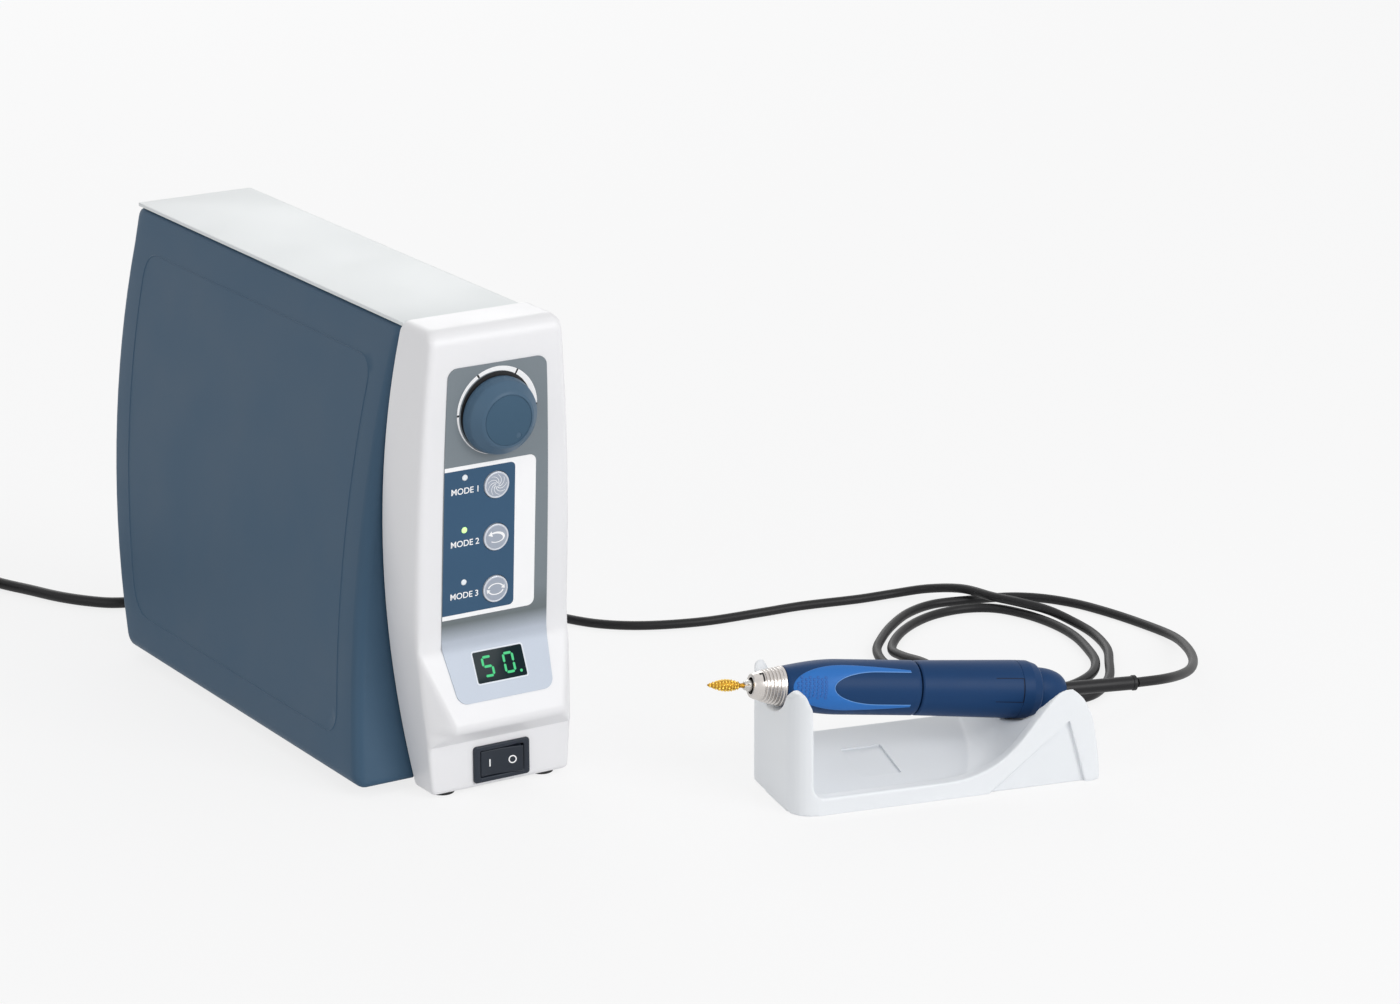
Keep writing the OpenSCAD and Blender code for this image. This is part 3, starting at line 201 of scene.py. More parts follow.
@dataclass
class Skin:
    """Points and faces of a mesh in the making, in local millimetres."""

    points: list[Vector] = field(default_factory=list)
    faces: list[tuple[int, ...]] = field(default_factory=list)

    def loop(self, points: Iterable[Sequence[float]]) -> list[int]:
        """Adds points and gives their numbers."""
        start = len(self.points)
        self.points.extend(Vector(p) for p in points)
        return list(range(start, len(self.points)))

    def bridge(self, low: list[int], high: list[int], closed: bool = True) -> None:
        """Joins two loops with quads, or with a fan where one of them is a single point.

        Args:
            low: first loop.
            high: second loop, of the same length or of one point.
            closed: whether the loops go all the way round.
        """
        count = max(len(low), len(high))
        for i in range(count if closed else count - 1):
            j = (i + 1) % count
            ring = [low[i % len(low)], low[j % len(low)], high[j % len(high)], high[i % len(high)]]
            face = tuple(dict.fromkeys(ring))
            if len(face) > 2:
                self.faces.append(face)

    def stack(self, loops: Sequence[list[int]], closed: bool = True) -> None:
        """Joins each loop to the next."""
        for low, high in zip(loops, loops[1:]):
            self.bridge(low, high, closed)

    def cap(self, ring: list[int]) -> None:
        """Closes a loop with one face."""
        self.faces.append(tuple(ring))

    def add(self, other: Skin, matrix: Matrix | None = None) -> Skin:
        """Takes in another skin, placed by a matrix, and returns itself."""
        start = len(self.points)
        self.points.extend((matrix @ p) if matrix else p.copy() for p in other.points)
        self.faces.extend(tuple(start + i for i in face) for face in other.faces)
        return self


def turned(profile: Sequence[Point2], sides: int = 96, closed: bool = True) -> Skin:
    """Solid of revolution round local Z.

    Args:
        profile: radius and height of each point.
        sides: number of sides round the axis.
        closed: whether the last point joins the first.

    Returns:
        The skin, with a single point wherever the profile meets the axis.
    """
    skin = Skin()
    rings = []
    for radius, height in profile:
        ring = [(0, 0, height)] if radius < 1e-4 else [(x, y, height) for x, y in circle(radius, sides)]
        rings.append(skin.loop(ring))
    skin.stack(rings)
    if closed and len(rings[0]) > 1 and len(rings[-1]) > 1:
        skin.bridge(rings[-1], rings[0])
    return skin


def plate(outline: Sequence[Point2], low: float, high: float, edge: float = 0.0, steps: int = 3) -> Skin:
    """Flat plate on local XY with a rounded upper edge.

    Args:
        outline: points in counter-clockwise order.
        low: height of the underside.
        high: height of the face.
        edge: radius of the upper edge.
        steps: number of steps in that edge.

    Returns:
        The closed skin.
    """
    skin = Skin()
    levels = [(0.0, low), (0.0, high - edge)]
    if edge > 0:
        for a in spread(0, math.pi / 2, steps)[1:]:
            levels.append((edge * (1 - math.cos(a)), high - edge + edge * math.sin(a)))
    rings = [skin.loop((x, y, z) for x, y in drawn_in(outline, inset)) for inset, z in levels]
    skin.stack(rings)
    skin.cap(list(reversed(rings[0])))
    skin.cap(rings[-1])
    return skin


def framed(outer: Sequence[Point2], inner: Sequence[Point2], low: float, high: float,
           edge: float = 0.0) -> Skin:
    """Flat frame between two outlines of as many points, its upper edges rounded.

    Args:
        outer: outline of the frame.
        inner: outline of its opening.
        low: height of the underside.
        high: height of the face.
        edge: radius of both upper edges.

    Returns:
        The closed skin.
    """
    skin = Skin()
    levels = [(0.0, low)] + [
        (edge * (1 - math.cos(a)), high - edge + edge * math.sin(a)) for a in spread(0, math.pi / 2, 3)
    ]
    outside = [skin.loop((x, y, z) for x, y in drawn_in(outer, inset)) for inset, z in levels]
    inside = [skin.loop((x, y, z) for x, y in drawn_in(inner, -inset)) for inset, z in levels]
    skin.stack(outside + inside[::-1])
    skin.bridge(inside[0], outside[0])
    return skin


def tube(path: Sequence[Vector], radius: float, sides: int) -> Skin:
    """Round tube along a path, with flat ends.

    Args:
        path: points in millimetres.
        radius: radius of the tube.
        sides: number of sides.

    Returns:
        The closed skin.
    """
    skin = Skin()
    rings = []
    side = Vector((0, 0, 1))
    for i, at in enumerate(path):
        way = (path[min(i + 1, len(path) - 1)] - path[max(i - 1, 0)]).normalized()
        side = (side - way * side.dot(way)).normalized()
        up = way.cross(side)
        turns = [2 * math.pi * k / sides for k in range(sides)]
        rings.append(skin.loop(at + radius * (math.cos(a) * side + math.sin(a) * up) for a in turns))
    skin.stack(rings)
    skin.cap(list(reversed(rings[0])))
    skin.cap(rings[-1])
    return skin


def flowing(route: Sequence[Sequence[float]], step: float) -> list[Vector]:
    """Smooth curve through the points of a route.

    Args:
        route: listed points, in millimetres.
        step: spacing of the curve's own points.

    Returns:
        Points of a curve that passes through each point of the route.
    """
    points = [Vector(p) for p in route]
    ends = [2 * points[0] - points[1], *points, 2 * points[-1] - points[-2]]
    curve = [points[0]]
    for p0, p1, p2, p3 in zip(ends, ends[1:], ends[2:], ends[3:]):
        t1 = (p1 - p0).length ** 0.5
        t2 = t1 + (p2 - p1).length ** 0.5
        t3 = t2 + (p3 - p2).length ** 0.5
        for t in spread(t1, t2, max(2, round((p2 - p1).length / step)))[1:]:
            a1 = p0 * (t1 - t) / t1 + p1 * t / t1
            a2 = p1 * (t2 - t) / (t2 - t1) + p2 * (t - t1) / (t2 - t1)
            a3 = p2 * (t3 - t) / (t3 - t2) + p3 * (t - t2) / (t3 - t2)
            b1 = a1 * (t2 - t) / t2 + a2 * t / t2
            b2 = a2 * (t3 - t) / (t3 - t1) + a3 * (t - t1) / (t3 - t1)
            curve.append(b1 * (t2 - t) / (t2 - t1) + b2 * (t - t1) / (t2 - t1))
    return curve


def length_of(path: Sequence[Vector]) -> float:
    """Length of a path."""
    return sum((b - a).length for a, b in zip(path, path[1:]))


# Objects


def add_object(name: str, mesh: bpy.types.Mesh) -> bpy.types.Object:
    """Puts a mesh into the scene at the origin."""
    obj = bpy.data.objects.new(name, mesh)
    bpy.context.scene.collection.objects.link(obj)
    return obj


def shaped(name: str, skin: Skin, matrix: Matrix, turn_out: bool = True) -> bpy.types.Object:
    """Makes an object of a skin.

    Args:
        name: name of the object.
        skin: points in local millimetres.
        matrix: place of the local frame, to metres.
        turn_out: whether all faces are turned outwards, for a closed skin.

    Returns:
        The object, with its place in its mesh.
    """
    mesh = bpy.data.meshes.new(name)
    mesh.from_pydata([matrix @ p for p in skin.points], [], skin.faces)
    work = bmesh.new()
    work.from_mesh(mesh)
    bmesh.ops.remove_doubles(work, verts=work.verts, dist=1e-7)
    if turn_out:
        bmesh.ops.recalc_face_normals(work, faces=work.faces)
    work.to_mesh(mesh)
    work.free()
    return add_object(name, mesh)


def settle(obj: bpy.types.Object) -> bpy.types.Object:
    """Turns an object's modifiers into plain mesh and returns the object."""
    graph = bpy.context.evaluated_depsgraph_get()
    mesh = bpy.data.meshes.new_from_object(obj.evaluated_get(graph))
    obj.modifiers.clear()
    old = obj.data
    obj.data = mesh
    bpy.data.meshes.remove(old)
    mesh.name = obj.name
    return obj


def drop(obj: bpy.types.Object) -> None:
    """Removes a helper object and its mesh."""
    mesh = obj.data
    bpy.data.objects.remove(obj)
    bpy.data.meshes.remove(mesh)


def cut(obj: bpy.types.Object, skin: Skin, matrix: Matrix) -> bpy.types.Object:
    """Cuts closed skins out of an object and returns the object."""
    cutter = shaped(obj.name + "_cutter", skin, matrix)
    boolean = obj.modifiers.new("cut", "BOOLEAN")
    boolean.object = cutter
    boolean.operation = "DIFFERENCE"
    boolean.solver = "EXACT"
    settle(obj)
    drop(cutter)
    return obj


def softened(obj: bpy.types.Object, width: float, angle: float = 40.0,
             segments: int = 3) -> bpy.types.Object:
    """Rounds an object's sharp edges.

    Args:
        obj: the object.
        width: width of the round, in millimetres.
        angle: least angle between faces that is rounded, in degrees.
        segments: number of segments in the round.

    Returns:
        The same object.
    """
    bevel = obj.modifiers.new("soft_edges", "BEVEL")
    bevel.width = width * MM
    bevel.segments = segments
    bevel.limit_method = "ANGLE"
    bevel.angle_limit = math.radians(angle)
    bevel.use_clamp_overlap = True
    return settle(obj)


def walled(obj: bpy.types.Object, wall: float) -> bpy.types.Object:
    """Gives an open outer skin its wall thickness, inwards, and returns the object."""
    solidify = obj.modifiers.new("wall", "SOLIDIFY")
    solidify.thickness = wall * MM
    solidify.offset = -1.0
    solidify.use_even_offset = True
    return settle(obj)


def shaded(obj: bpy.types.Object, angle: float = 32.0) -> bpy.types.Object:
    """Shades an object smooth up to an angle between faces and returns it."""
    mesh = obj.data
    mesh.polygons.foreach_set("use_smooth", [True] * len(mesh.polygons))
    mesh.set_sharp_from_angle(angle=math.radians(angle))
    mesh.update()
    return obj


# Node trees


def add_node(tree: bpy.types.NodeTree, kind: str, values: dict[str | int, object] | None = None,
             operation: str = "") -> bpy.types.Node:
    """Adds a node to a tree.

    Args:
        tree: the tree.
        kind: type of the node.
        values: value of each input that is set.
        operation: what a node of mathematics does.

    Returns:
        The node.
    """
    node = tree.nodes.new(kind)
    if operation:
        node.operation = operation
    for socket, value in (values or {}).items():
        node.inputs[socket].default_value = value
    return node


def wire(tree: bpy.types.NodeTree, *links: Link) -> None:
    """Links nodes of a tree.

    Args:
        tree: the tree.
        links: node, output, next node and input of each link.
    """
    for source, output, target, socket in links:
        tree.links.new(source.outputs[output], target.inputs[socket])


def node_group(name: str, kind: str, inputs: dict[str, str], outputs: dict[str, str]) -> bpy.types.NodeTree:
    """Starts a node tree with its named sockets.

    Args:
        name: name of the tree.
        kind: type of the tree.
        inputs: name and socket type of each input.
        outputs: name and socket type of each output.

    Returns:
        The tree with its input and output nodes.
    """
    tree = bpy.data.node_groups.new(name, kind)
    for way, sockets in (("INPUT", inputs), ("OUTPUT", outputs)):
        for socket, socket_type in sockets.items():
            tree.interface.new_socket(socket, in_out=way, socket_type=socket_type)
    tree.nodes.new("NodeGroupInput")
    tree.nodes.new("NodeGroupOutput")
    return tree


def ends(tree: bpy.types.NodeTree) -> tuple[bpy.types.Node, bpy.types.Node]:
    """A tree's input and output nodes."""
    return tree.nodes["Group Input"], tree.nodes["Group Output"]


# Finishes and the shader groups that they share


class Grain(Enum):
    """Surface texture of a finish."""

    MOULDED = "moulded_grain"
    FLAKE = "metal_flake"
    TURNED = "turning_lines"


class GrainGroups:
    """The shared shader groups, each built once."""

    VALUE = "NodeSocketFloat"
    VECTOR = "NodeSocketVector"

    @classmethod
    def get(cls, grain: Grain) -> bpy.types.ShaderNodeTree:
        """The group of a texture, built on first use."""
        made = bpy.data.node_groups.get(grain.value)
        if made:
            return made
        tree = node_group(grain.value, "ShaderNodeTree", {"Place": cls.VECTOR, "Scale": cls.VALUE},
                          {"Patch": cls.VALUE, "Height": cls.VALUE})
        builders = {Grain.MOULDED: cls._moulded, Grain.FLAKE: cls._flake, Grain.TURNED: cls._turned}
        builders[grain](tree)
        return tree

    @staticmethod
    def _noise(tree: bpy.types.ShaderNodeTree, share: float, detail: float) -> bpy.types.Node:
        """Adds a noise whose scale is a share of the group's Scale input.

        Args:
            tree: the group.
            share: factor on the group's scale.
            detail: octaves of the noise.

        Returns:
            The noise node.
        """
        source, _ = ends(tree)
        scale = add_node(tree, "ShaderNodeMath", {1: share}, "MULTIPLY")
        noise = add_node(tree, "ShaderNodeTexNoise", {"Detail": detail})
        wire(tree, (source, "Scale", scale, 0), (source, "Place", noise, "Vector"),
             (scale, "Value", noise, "Scale"))
        return noise

    @classmethod
    def _moulded(cls, tree: bpy.types.ShaderNodeTree) -> None:
        """Fine spark-eroded grain over broad, faint flow marks."""
        _, result = ends(tree)
        fine, broad = cls._noise(tree, 1.0, 3.0), cls._noise(tree, 0.012, 2.0)
        wire(tree, (broad, "Fac", result, "Patch"), (fine, "Fac", result, "Height"))

    @classmethod
    def _flake(cls, tree: bpy.types.ShaderNodeTree) -> None:
        """Small flakes of metal, each with its own brightness."""
        source, result = ends(tree)
        cells = add_node(tree, "ShaderNodeTexVoronoi")
        grey = add_node(tree, "ShaderNodeRGBToBW")
        soft = cls._noise(tree, 0.02, 2.0)
        halved = add_node(tree, "ShaderNodeMath", {1: 0.5}, "MULTIPLY")
        mixed = add_node(tree, "ShaderNodeMath", {1: 0.5}, "MULTIPLY_ADD")
        wire(tree, (source, "Place", cells, "Vector"), (source, "Scale", cells, "Scale"),
             (cells, "Color", grey, "Color"), (soft, "Fac", halved, 0), (grey, "Val", mixed, 0),
             (halved, "Value", mixed, 2), (mixed, "Value", result, "Patch"),
             (cells, "Distance", result, "Height"))

    @classmethod
    def _turned(cls, tree: bpy.types.ShaderNodeTree) -> None:
        """Fine rings that a lathe leaves, across the local Z axis."""
        source, result = ends(tree)
        stretch = add_node(tree, "ShaderNodeVectorMath", {1: (0.04, 0.04, 1.0)}, "MULTIPLY")
        lines, broad = cls._noise(tree, 1.0, 2.0), cls._noise(tree, 0.05, 1.0)
        wire(tree, (source, "Place", stretch, 0), (stretch, "Vector", lines, "Vector"),
             (broad, "Fac", result, "Patch"), (lines, "Fac", result, "Height"))


@dataclass(frozen=True)
class Finish:
    """A surface finish: its colour, its gloss and its grain.

    Attributes:
        name: name of the material.
        colour: screen colour of the surface.
        rough: roughness of the surface.
        grain: texture of the surface.
        grain_size: size of the grain, in millimetres.
        relief: height of the grain, in millimetres.
        mottle: share by which the colour changes from patch to patch.
        gloss_change: change of the roughness from patch to patch.
        metallic: 1 for bare metal.
        coat: weight of a clear coat.
        specular: strength of the surface's reflection.
        glow: strength of its own light.
        turn: turn of the grain, as Euler angles in degrees.
    """

    name: str
    colour: Colour8
    rough: float = 0.4
    grain: Grain = Grain.MOULDED
    grain_size: float = 0.5
    relief: float = 0.012
    mottle: float = 0.05
    gloss_change: float = 0.08
    metallic: float = 0.0
    coat: float = 0.0
    specular: float = 0.5
    glow: float = 0.0
    turn: Triple = (0.0, 0.0, 0.0)

    def material(self) -> bpy.types.Material:
        """The material of this finish, built on first use."""
        made = bpy.data.materials.get(self.name)
        if made:
            return made
        material = bpy.data.materials.new(self.name)
        material.use_nodes = True
        tree = material.node_tree
        shader = tree.nodes["Principled BSDF"]
        for socket, value in (("Metallic", self.metallic), ("Coat Weight", self.coat),
                              ("Coat Roughness", COAT_ROUGH), ("Specular IOR Level", self.specular)):
            shader.inputs[socket].default_value = value
        place = (add_node(tree, "ShaderNodeTexCoord"), "Object")
        if any(self.turn):
            turned_by = [math.radians(a) for a in self.turn]
            mapping = add_node(tree, "ShaderNodeMapping", {"Rotation": turned_by})
            wire(tree, (*place, mapping, "Vector"))
            place = (mapping, "Vector")
        group = tree.nodes.new("ShaderNodeGroup")
        group.node_tree = GrainGroups.get(self.grain)
        group.inputs["Scale"].default_value = 1 / (self.grain_size * MM)
        self._colour_nodes(tree, group, shader)
        gloss = add_node(tree, "ShaderNodeMapRange", {
            "From Min": 0.3, "From Max": 0.7, "To Min": max(0.02, self.rough - self.gloss_change / 2),
            "To Max": self.rough + self.gloss_change / 2})
        bump = add_node(tree, "ShaderNodeBump", {"Distance": self.relief * MM})
        wire(tree, (*place, group, "Place"), (group, "Patch", gloss, "Value"),
             (gloss, "Result", shader, "Roughness"), (group, "Height", bump, "Height"),
             (bump, "Normal", shader, "Normal"))
        return material

    def _colour_nodes(self, tree: bpy.types.NodeTree, group: bpy.types.Node, shader: bpy.types.Node) -> None:
        """Mixes a darker and a lighter tone of the colour over the patches.

        Args:
            tree: the material's nodes.
            group: its grain group.
            shader: its Principled shader.
        """
        tones = add_node(tree, "ShaderNodeMix")
        tones.data_type = "RGBA"
        base = linear(self.colour)
        for socket, share in ((MIX_FIRST, 1 - self.mottle), (MIX_SECOND, 1 + self.mottle)):
            tones.inputs[socket].default_value = (*[min(1.0, c * share) for c in base[:3]], 1.0)
        wire(tree, (group, "Patch", tones, 0), (tones, MIX_COLOUR, shader, "Base Color"))
        if self.glow > 0:
            wire(tree, (tones, MIX_COLOUR, shader, "Emission Color"))
            shader.inputs["Emission Strength"].default_value = self.glow


@dataclass(frozen=True)
class PanelFilm(Finish):
    """Metallic film whose colour goes from mid grey on the panel to silver on the chin: painted shade
    darkens it in the fold and a painted reflection lightens the chin.

    Attributes:
        chin_reflection_colour: screen colour on the chin, a painted reflection.
        fold_shade_colour: screen colour in the fold, painted shade.
        fold_z: height of the fold, in millimetres.
        fade: reach of the painted reflection and shade above and below the fold.
        stops: shares of that reach where the chin's painted reflection ends and the fold's painted shade
            lies.
    """

    # Painted reflection on the chin and painted shade in the fold, set by height.
    chin_reflection_colour: Colour8 = (183, 191, 203)
    fold_shade_colour: Colour8 = (110, 118, 121)
    fold_z: float = 75.0
    fade: float = 25.0
    stops: tuple[float, float] = (0.56, 0.74)

    def _colour_nodes(self, tree: bpy.types.NodeTree, group: bpy.types.Node, shader: bpy.types.Node) -> None:
        """Paints the reflection and the shade by height and lays the flakes over it.

        Args:
            tree: the material's nodes.
            group: its grain group.
            shader: its Principled shader.
        """
        height = add_node(tree, "ShaderNodeSeparateXYZ")
        reach = add_node(tree, "ShaderNodeMapRange", {
            "From Min": (self.fold_z - self.fade) * MM, "From Max": (self.fold_z + self.fade) * MM})
        ramp = add_node(tree, "ShaderNodeValToRGB")
        tones = ramp.color_ramp.elements
        for tone, at, colour in zip(tones, self.stops, (self.chin_reflection_colour, self.fold_shade_colour)):
            tone.position, tone.color = at, linear(colour)
        tones.new(1.0).color = linear(self.colour)
        flakes = add_node(tree, "ShaderNodeMapRange", {"To Min": 1 - self.mottle, "To Max": 1 + self.mottle})
        tinted = add_node(tree, "ShaderNodeVectorMath", operation="MULTIPLY")
        wire(tree, (tree.nodes["Texture Coordinate"], "Object", height, "Vector"),
             (height, "Z", reach, "Value"), (reach, "Result", ramp, "Fac"),
             (group, "Patch", flakes, "Value"), (ramp, "Color", tinted, 0), (flakes, "Result", tinted, 1),
             (tinted, "Vector", shader, "Base Color"))


class Finishes:
    """Every finish of the set."""

    BEZEL = Finish("white_bezel_plastic", (238, 238, 240), rough=0.36, relief=0.006, mottle=0.015)
    COVER = Finish("pale_grey_cover", (224, 228, 229), rough=0.42, relief=0.01, mottle=0.02)
    PAD = Finish("slate_blue_pad", (60, 87, 110), rough=0.46, relief=0.012, mottle=0.05, specular=0.22)
    # One moulded knob in two copies of its blue: the lighter one on the side and base is painted light, the
    # darker one on the face is painted shade.
    KNOB = Finish("slate_blue_knob", (72, 98, 120), rough=0.42, relief=0.012, mottle=0.04,
                  specular=0.25)
    KNOB_FACE_SHADE = Finish("slate_blue_knob_face", (62, 90, 112), rough=0.44, relief=0.01, mottle=0.04,
                       specular=0.2)
    # Panel film with a painted reflection on the chin and painted shade in its fold.
    FILM = PanelFilm("metallic_film", (126, 135, 141), rough=0.42, grain=Grain.FLAKE, grain_size=0.25,
                     relief=0.002, mottle=0.06, metallic=0.15, specular=0.25)
    PRINT_WHITE = Finish("white_print", (252, 252, 253), rough=0.45, relief=0.003, mottle=0.01)
    PRINT_BLUE = Finish("blue_print", (56, 88, 117), rough=0.42, relief=0.003, mottle=0.04,
                        specular=0.22)
    # Dark ink for the scale's ticks; also painted shade under the knob and in the nose cone's slot.
    DARK_PRINT_AND_SHADE = Finish("dark_mark", (16, 17, 20), rough=0.6, relief=0.003, mottle=0.05)
    GLASS = Finish("tinted_glass", (5, 30, 36), rough=0.16, relief=0.0005, mottle=0.1,
                   gloss_change=0.03, specular=0.12)
    DIGIT = Finish("display_digit", (18, 150, 88), rough=0.4, relief=0.001, mottle=0.12, glow=0.9)
    # Pale frame round the display: painted highlight on the film's edge.
    DISPLAY_RIM_HIGHLIGHT = Finish("display_rim", (222, 228, 236), rough=0.4, relief=0.002, mottle=0.02)
    BUTTON = Finish("button_face", (164, 172, 186), rough=0.34, grain=Grain.FLAKE, grain_size=0.2,
                    relief=0.003, mottle=0.05, metallic=0.25)
    BUTTON_RIM = Finish("button_rim", (214, 218, 226), rough=0.28, relief=0.002, mottle=0.03,
                        metallic=0.3)
    LAMP_OFF = Finish("indicator_clear", (240, 245, 250), rough=0.2, relief=0.001, mottle=0.03,
                      coat=0.5)
    LAMP_ON = Finish("indicator_lit", (190, 235, 150), rough=0.25, relief=0.001, mottle=0.06,
                     glow=0.75)
    SWITCH = Finish("rocker_plastic", (36, 43, 53), rough=0.35, relief=0.006, mottle=0.06,
                    specular=0.3)
    SWITCH_FRAME = Finish("switch_frame", (38, 45, 56), rough=0.4, relief=0.006, mottle=0.06,
                          specular=0.3)
    BLACK = Finish("moulded_black", (26, 26, 28), rough=0.42, relief=0.01, mottle=0.1, specular=0.3)
    CORD = Finish("cord_rubber", (21, 21, 23), rough=0.46, grain_size=0.6, relief=0.02, mottle=0.14,
                  specular=0.3)
    RUBBER = Finish("foot_rubber", (34, 34, 35), rough=0.75, grain_size=0.7, relief=0.03, mottle=0.12)
    NAVY = Finish("navy_paint", (26, 60, 102), rough=0.42, grain=Grain.FLAKE, grain_size=0.3,
                  relief=0.002, mottle=0.07, specular=0.14)
    GRIP = Finish("grip_rubber_blue", (45, 113, 190), rough=0.5, grain_size=0.35, relief=0.012,
                  mottle=0.06, specular=0.25)
    STAND = Finish("white_stand_plastic", (238, 241, 244), rough=0.4, relief=0.01, mottle=0.015)
    STEEL = Finish("zinc_sheet", (186, 190, 193), rough=0.38, grain_size=0.6, relief=0.01, mottle=0.06,
                   metallic=0.9)
    NICKEL = Finish("nickel_plate", (205, 200, 196), rough=0.24, grain=Grain.TURNED, grain_size=0.25,
                    relief=0.004, mottle=0.05, metallic=1.0, turn=(0.0, -97.5, 12.2))
    BRIGHT_TURNED = Finish("turned_steel", (196, 194, 190), rough=0.25, grain=Grain.TURNED,
                           grain_size=0.2, relief=0.004, mottle=0.06, metallic=1.0,
                           turn=(0.0, -97.5, 12.2))
    GOLD = Finish("gold_coating", (242, 204, 92), rough=0.26, grain_size=0.3, relief=0.006,
                  mottle=0.08, metallic=0.9)
    # A darker copy of the gold for the bur's core: painted shade between the teeth.
    GOLD_FLUTE_SHADE = Finish("gold_flutes", (176, 130, 40), rough=0.42, grain_size=0.3, relief=0.01,
                       mottle=0.12, metallic=0.8)
    GRIP_LINE = Finish("grip_edge_line", (96, 150, 214), rough=0.4, relief=0.004, mottle=0.05)
    # A darker copy of the insert's blue for the dimples: painted shade in them.
    GRIP_DIMPLE_SHADE = Finish("grip_dimple_blue", (34, 92, 166), rough=0.5, relief=0.006, mottle=0.06)
    NAVY_DARK = Finish("navy_line", (10, 18, 40), rough=0.5, relief=0.004, mottle=0.08, specular=0.2)
    BRIGHT = Finish("ground_steel", (206, 208, 210), rough=0.22, grain_size=0.4, relief=0.004,
                    mottle=0.05, metallic=1.0)
    BOARD = Finish("solder_resist", (28, 88, 52), rough=0.4, grain=Grain.FLAKE, grain_size=2.4,
                   relief=0.03, mottle=0.3, coat=0.2)
    COPPER = Finish("copper_winding", (184, 110, 60), rough=0.35, grain=Grain.TURNED, grain_size=0.5,
                    relief=0.08, mottle=0.12, metallic=0.8)
    IRON = Finish("iron_laminations", (92, 92, 95), rough=0.5, grain_size=0.5, relief=0.02, mottle=0.1,
                  metallic=0.8)
    ALUMINIUM = Finish("heat_sink_aluminium", (176, 178, 182), rough=0.42, grain_size=0.5, relief=0.01,
                       mottle=0.06, metallic=0.9)
    CAN = Finish("capacitor_sleeve", (34, 40, 74), rough=0.35, relief=0.004, mottle=0.08, coat=0.2)


# Places and the shared form of the case


@dataclass(frozen=True)
class CaseForm:
    """Curves that the shells of the control unit share."""

    unit_h: float = 235.0
    bezel_h: float = 236.0
    bezel_w: float = 85.4
    barrel_r: float = 1250.0
    barrel_z: float = 108.0
    seam_y: float = 36.5
    seam_r: float = 420.0
    seam_z: float = 135.0
    back_y: float = 325.0
    back_r: float = 298.0
    back_z: float = 165.0
    lean: float = 2.9
    panel_z: float = 142.0
    foot_h: float = 2.0
    base_z: float = 5.0
    chin_z: float = 75.0
    lip_z: float = 38.5
    lip_reach: float = 13.0
    lip_r: float = 5.0
    lip_w: float = 62.0
    box_z: float = 27.0
    box_y: float = -2.0

    def half_w(self, z: float) -> float:
        """Half the bezel's width at a height."""
        return self.bezel_w / 2 - bow(self.barrel_r, z - self.barrel_z)

    def seam(self, z: float) -> float:
        """Depth of the seam behind the bezel at a height."""
        return self.seam_y - bow(self.seam_r, z - self.seam_z)

    def back(self, z: float) -> float:
        """Depth of the rounded back at a height."""
        return self.back_y - bow(self.back_r, z - self.back_z)

    def front(self, z: float) -> float:
        """Depth of the leaning panel at a height."""
        return -math.tan(math.radians(self.lean)) * (z - self.panel_z)

    @property
    def lip_centre(self) -> Point2:
        """Depth and height of the middle of the chin's lip."""
        return self.lip_r - self.lip_reach, self.lip_z

    @property
    def chin_slope(self) -> float:
        """Forward slope of the chin from the vertical, in degrees."""
        y, z = self.lip_centre
        way = (self.front(self.chin_z) - y, self.chin_z - z)
        return math.degrees(math.atan2(*way) + math.asin(self.lip_r / math.hypot(*way)))


FORM = CaseForm()


@dataclass
class Places:
    """Matrices from local millimetres to the model's metres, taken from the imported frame.

    Attributes:
        unit: the unit's own reference lines.
    """

    unit: Matrix
    stand_corner: Triple = (97.6, -117.2, 0.0)
    stand_turn: float = -12.2
    nose: Triple = (-10.0, 36.0, 57.9)
    hand_tilt: float = 7.5

    @classmethod
    def from_frame(cls) -> Places:
        """Finds the unit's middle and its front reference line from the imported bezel."""
        low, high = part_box("front_bezel")
        middle = (low[0] + high[0]) / 2
        front = low[1] + FORM.lip_reach * MM
        return cls(Matrix.Translation((middle, front, 0)) @ Matrix.Scale(MM, 4))

    def panel(self, z: float = FORM.panel_z) -> Matrix:
        """On the leaning panel at a height, local Z outwards."""
        lean = Matrix.Rotation(math.radians(90 + FORM.lean), 4, "X")
        return self.unit @ Matrix.Translation((0, FORM.front(z), z)) @ lean

    def chin(self, down: float) -> Matrix:
        """On the chin at a distance below its fold, local Z outwards."""
        slope = Matrix.Rotation(math.radians(90 - FORM.chin_slope), 4, "X")
        fold = Matrix.Translation((0, FORM.front(FORM.chin_z), FORM.chin_z))
        return self.unit @ fold @ slope @ Matrix.Translation((0, -down, 0))

    def box(self, z: float) -> Matrix:
        """On the switch box at a height, local Z outwards."""
        return self.unit @ Matrix.Translation((0, FORM.box_y, z)) @ Matrix.Rotation(math.pi / 2, 4, "X")

    def behind(self, x: float, y: float, z: float) -> Matrix:
        """At a fitting on the rear panel, local Z to the back."""
        return self.unit @ Matrix.Translation((x, y, z)) @ Matrix.Rotation(-math.pi / 2, 4, "X")

    @property
    def stand(self) -> Matrix:
        """The stand's own corner."""
        return (self.unit @ Matrix.Translation(self.stand_corner)
                @ Matrix.Rotation(math.radians(self.stand_turn), 4, "Z"))

    @property
    def hand(self) -> Matrix:
        """The handpiece's axis, local Z from the nose to the tail."""
        tilt = Matrix.Rotation(math.radians(90 + self.hand_tilt), 4, "Y")
        return self.stand @ Matrix.Translation(self.nose) @ tilt


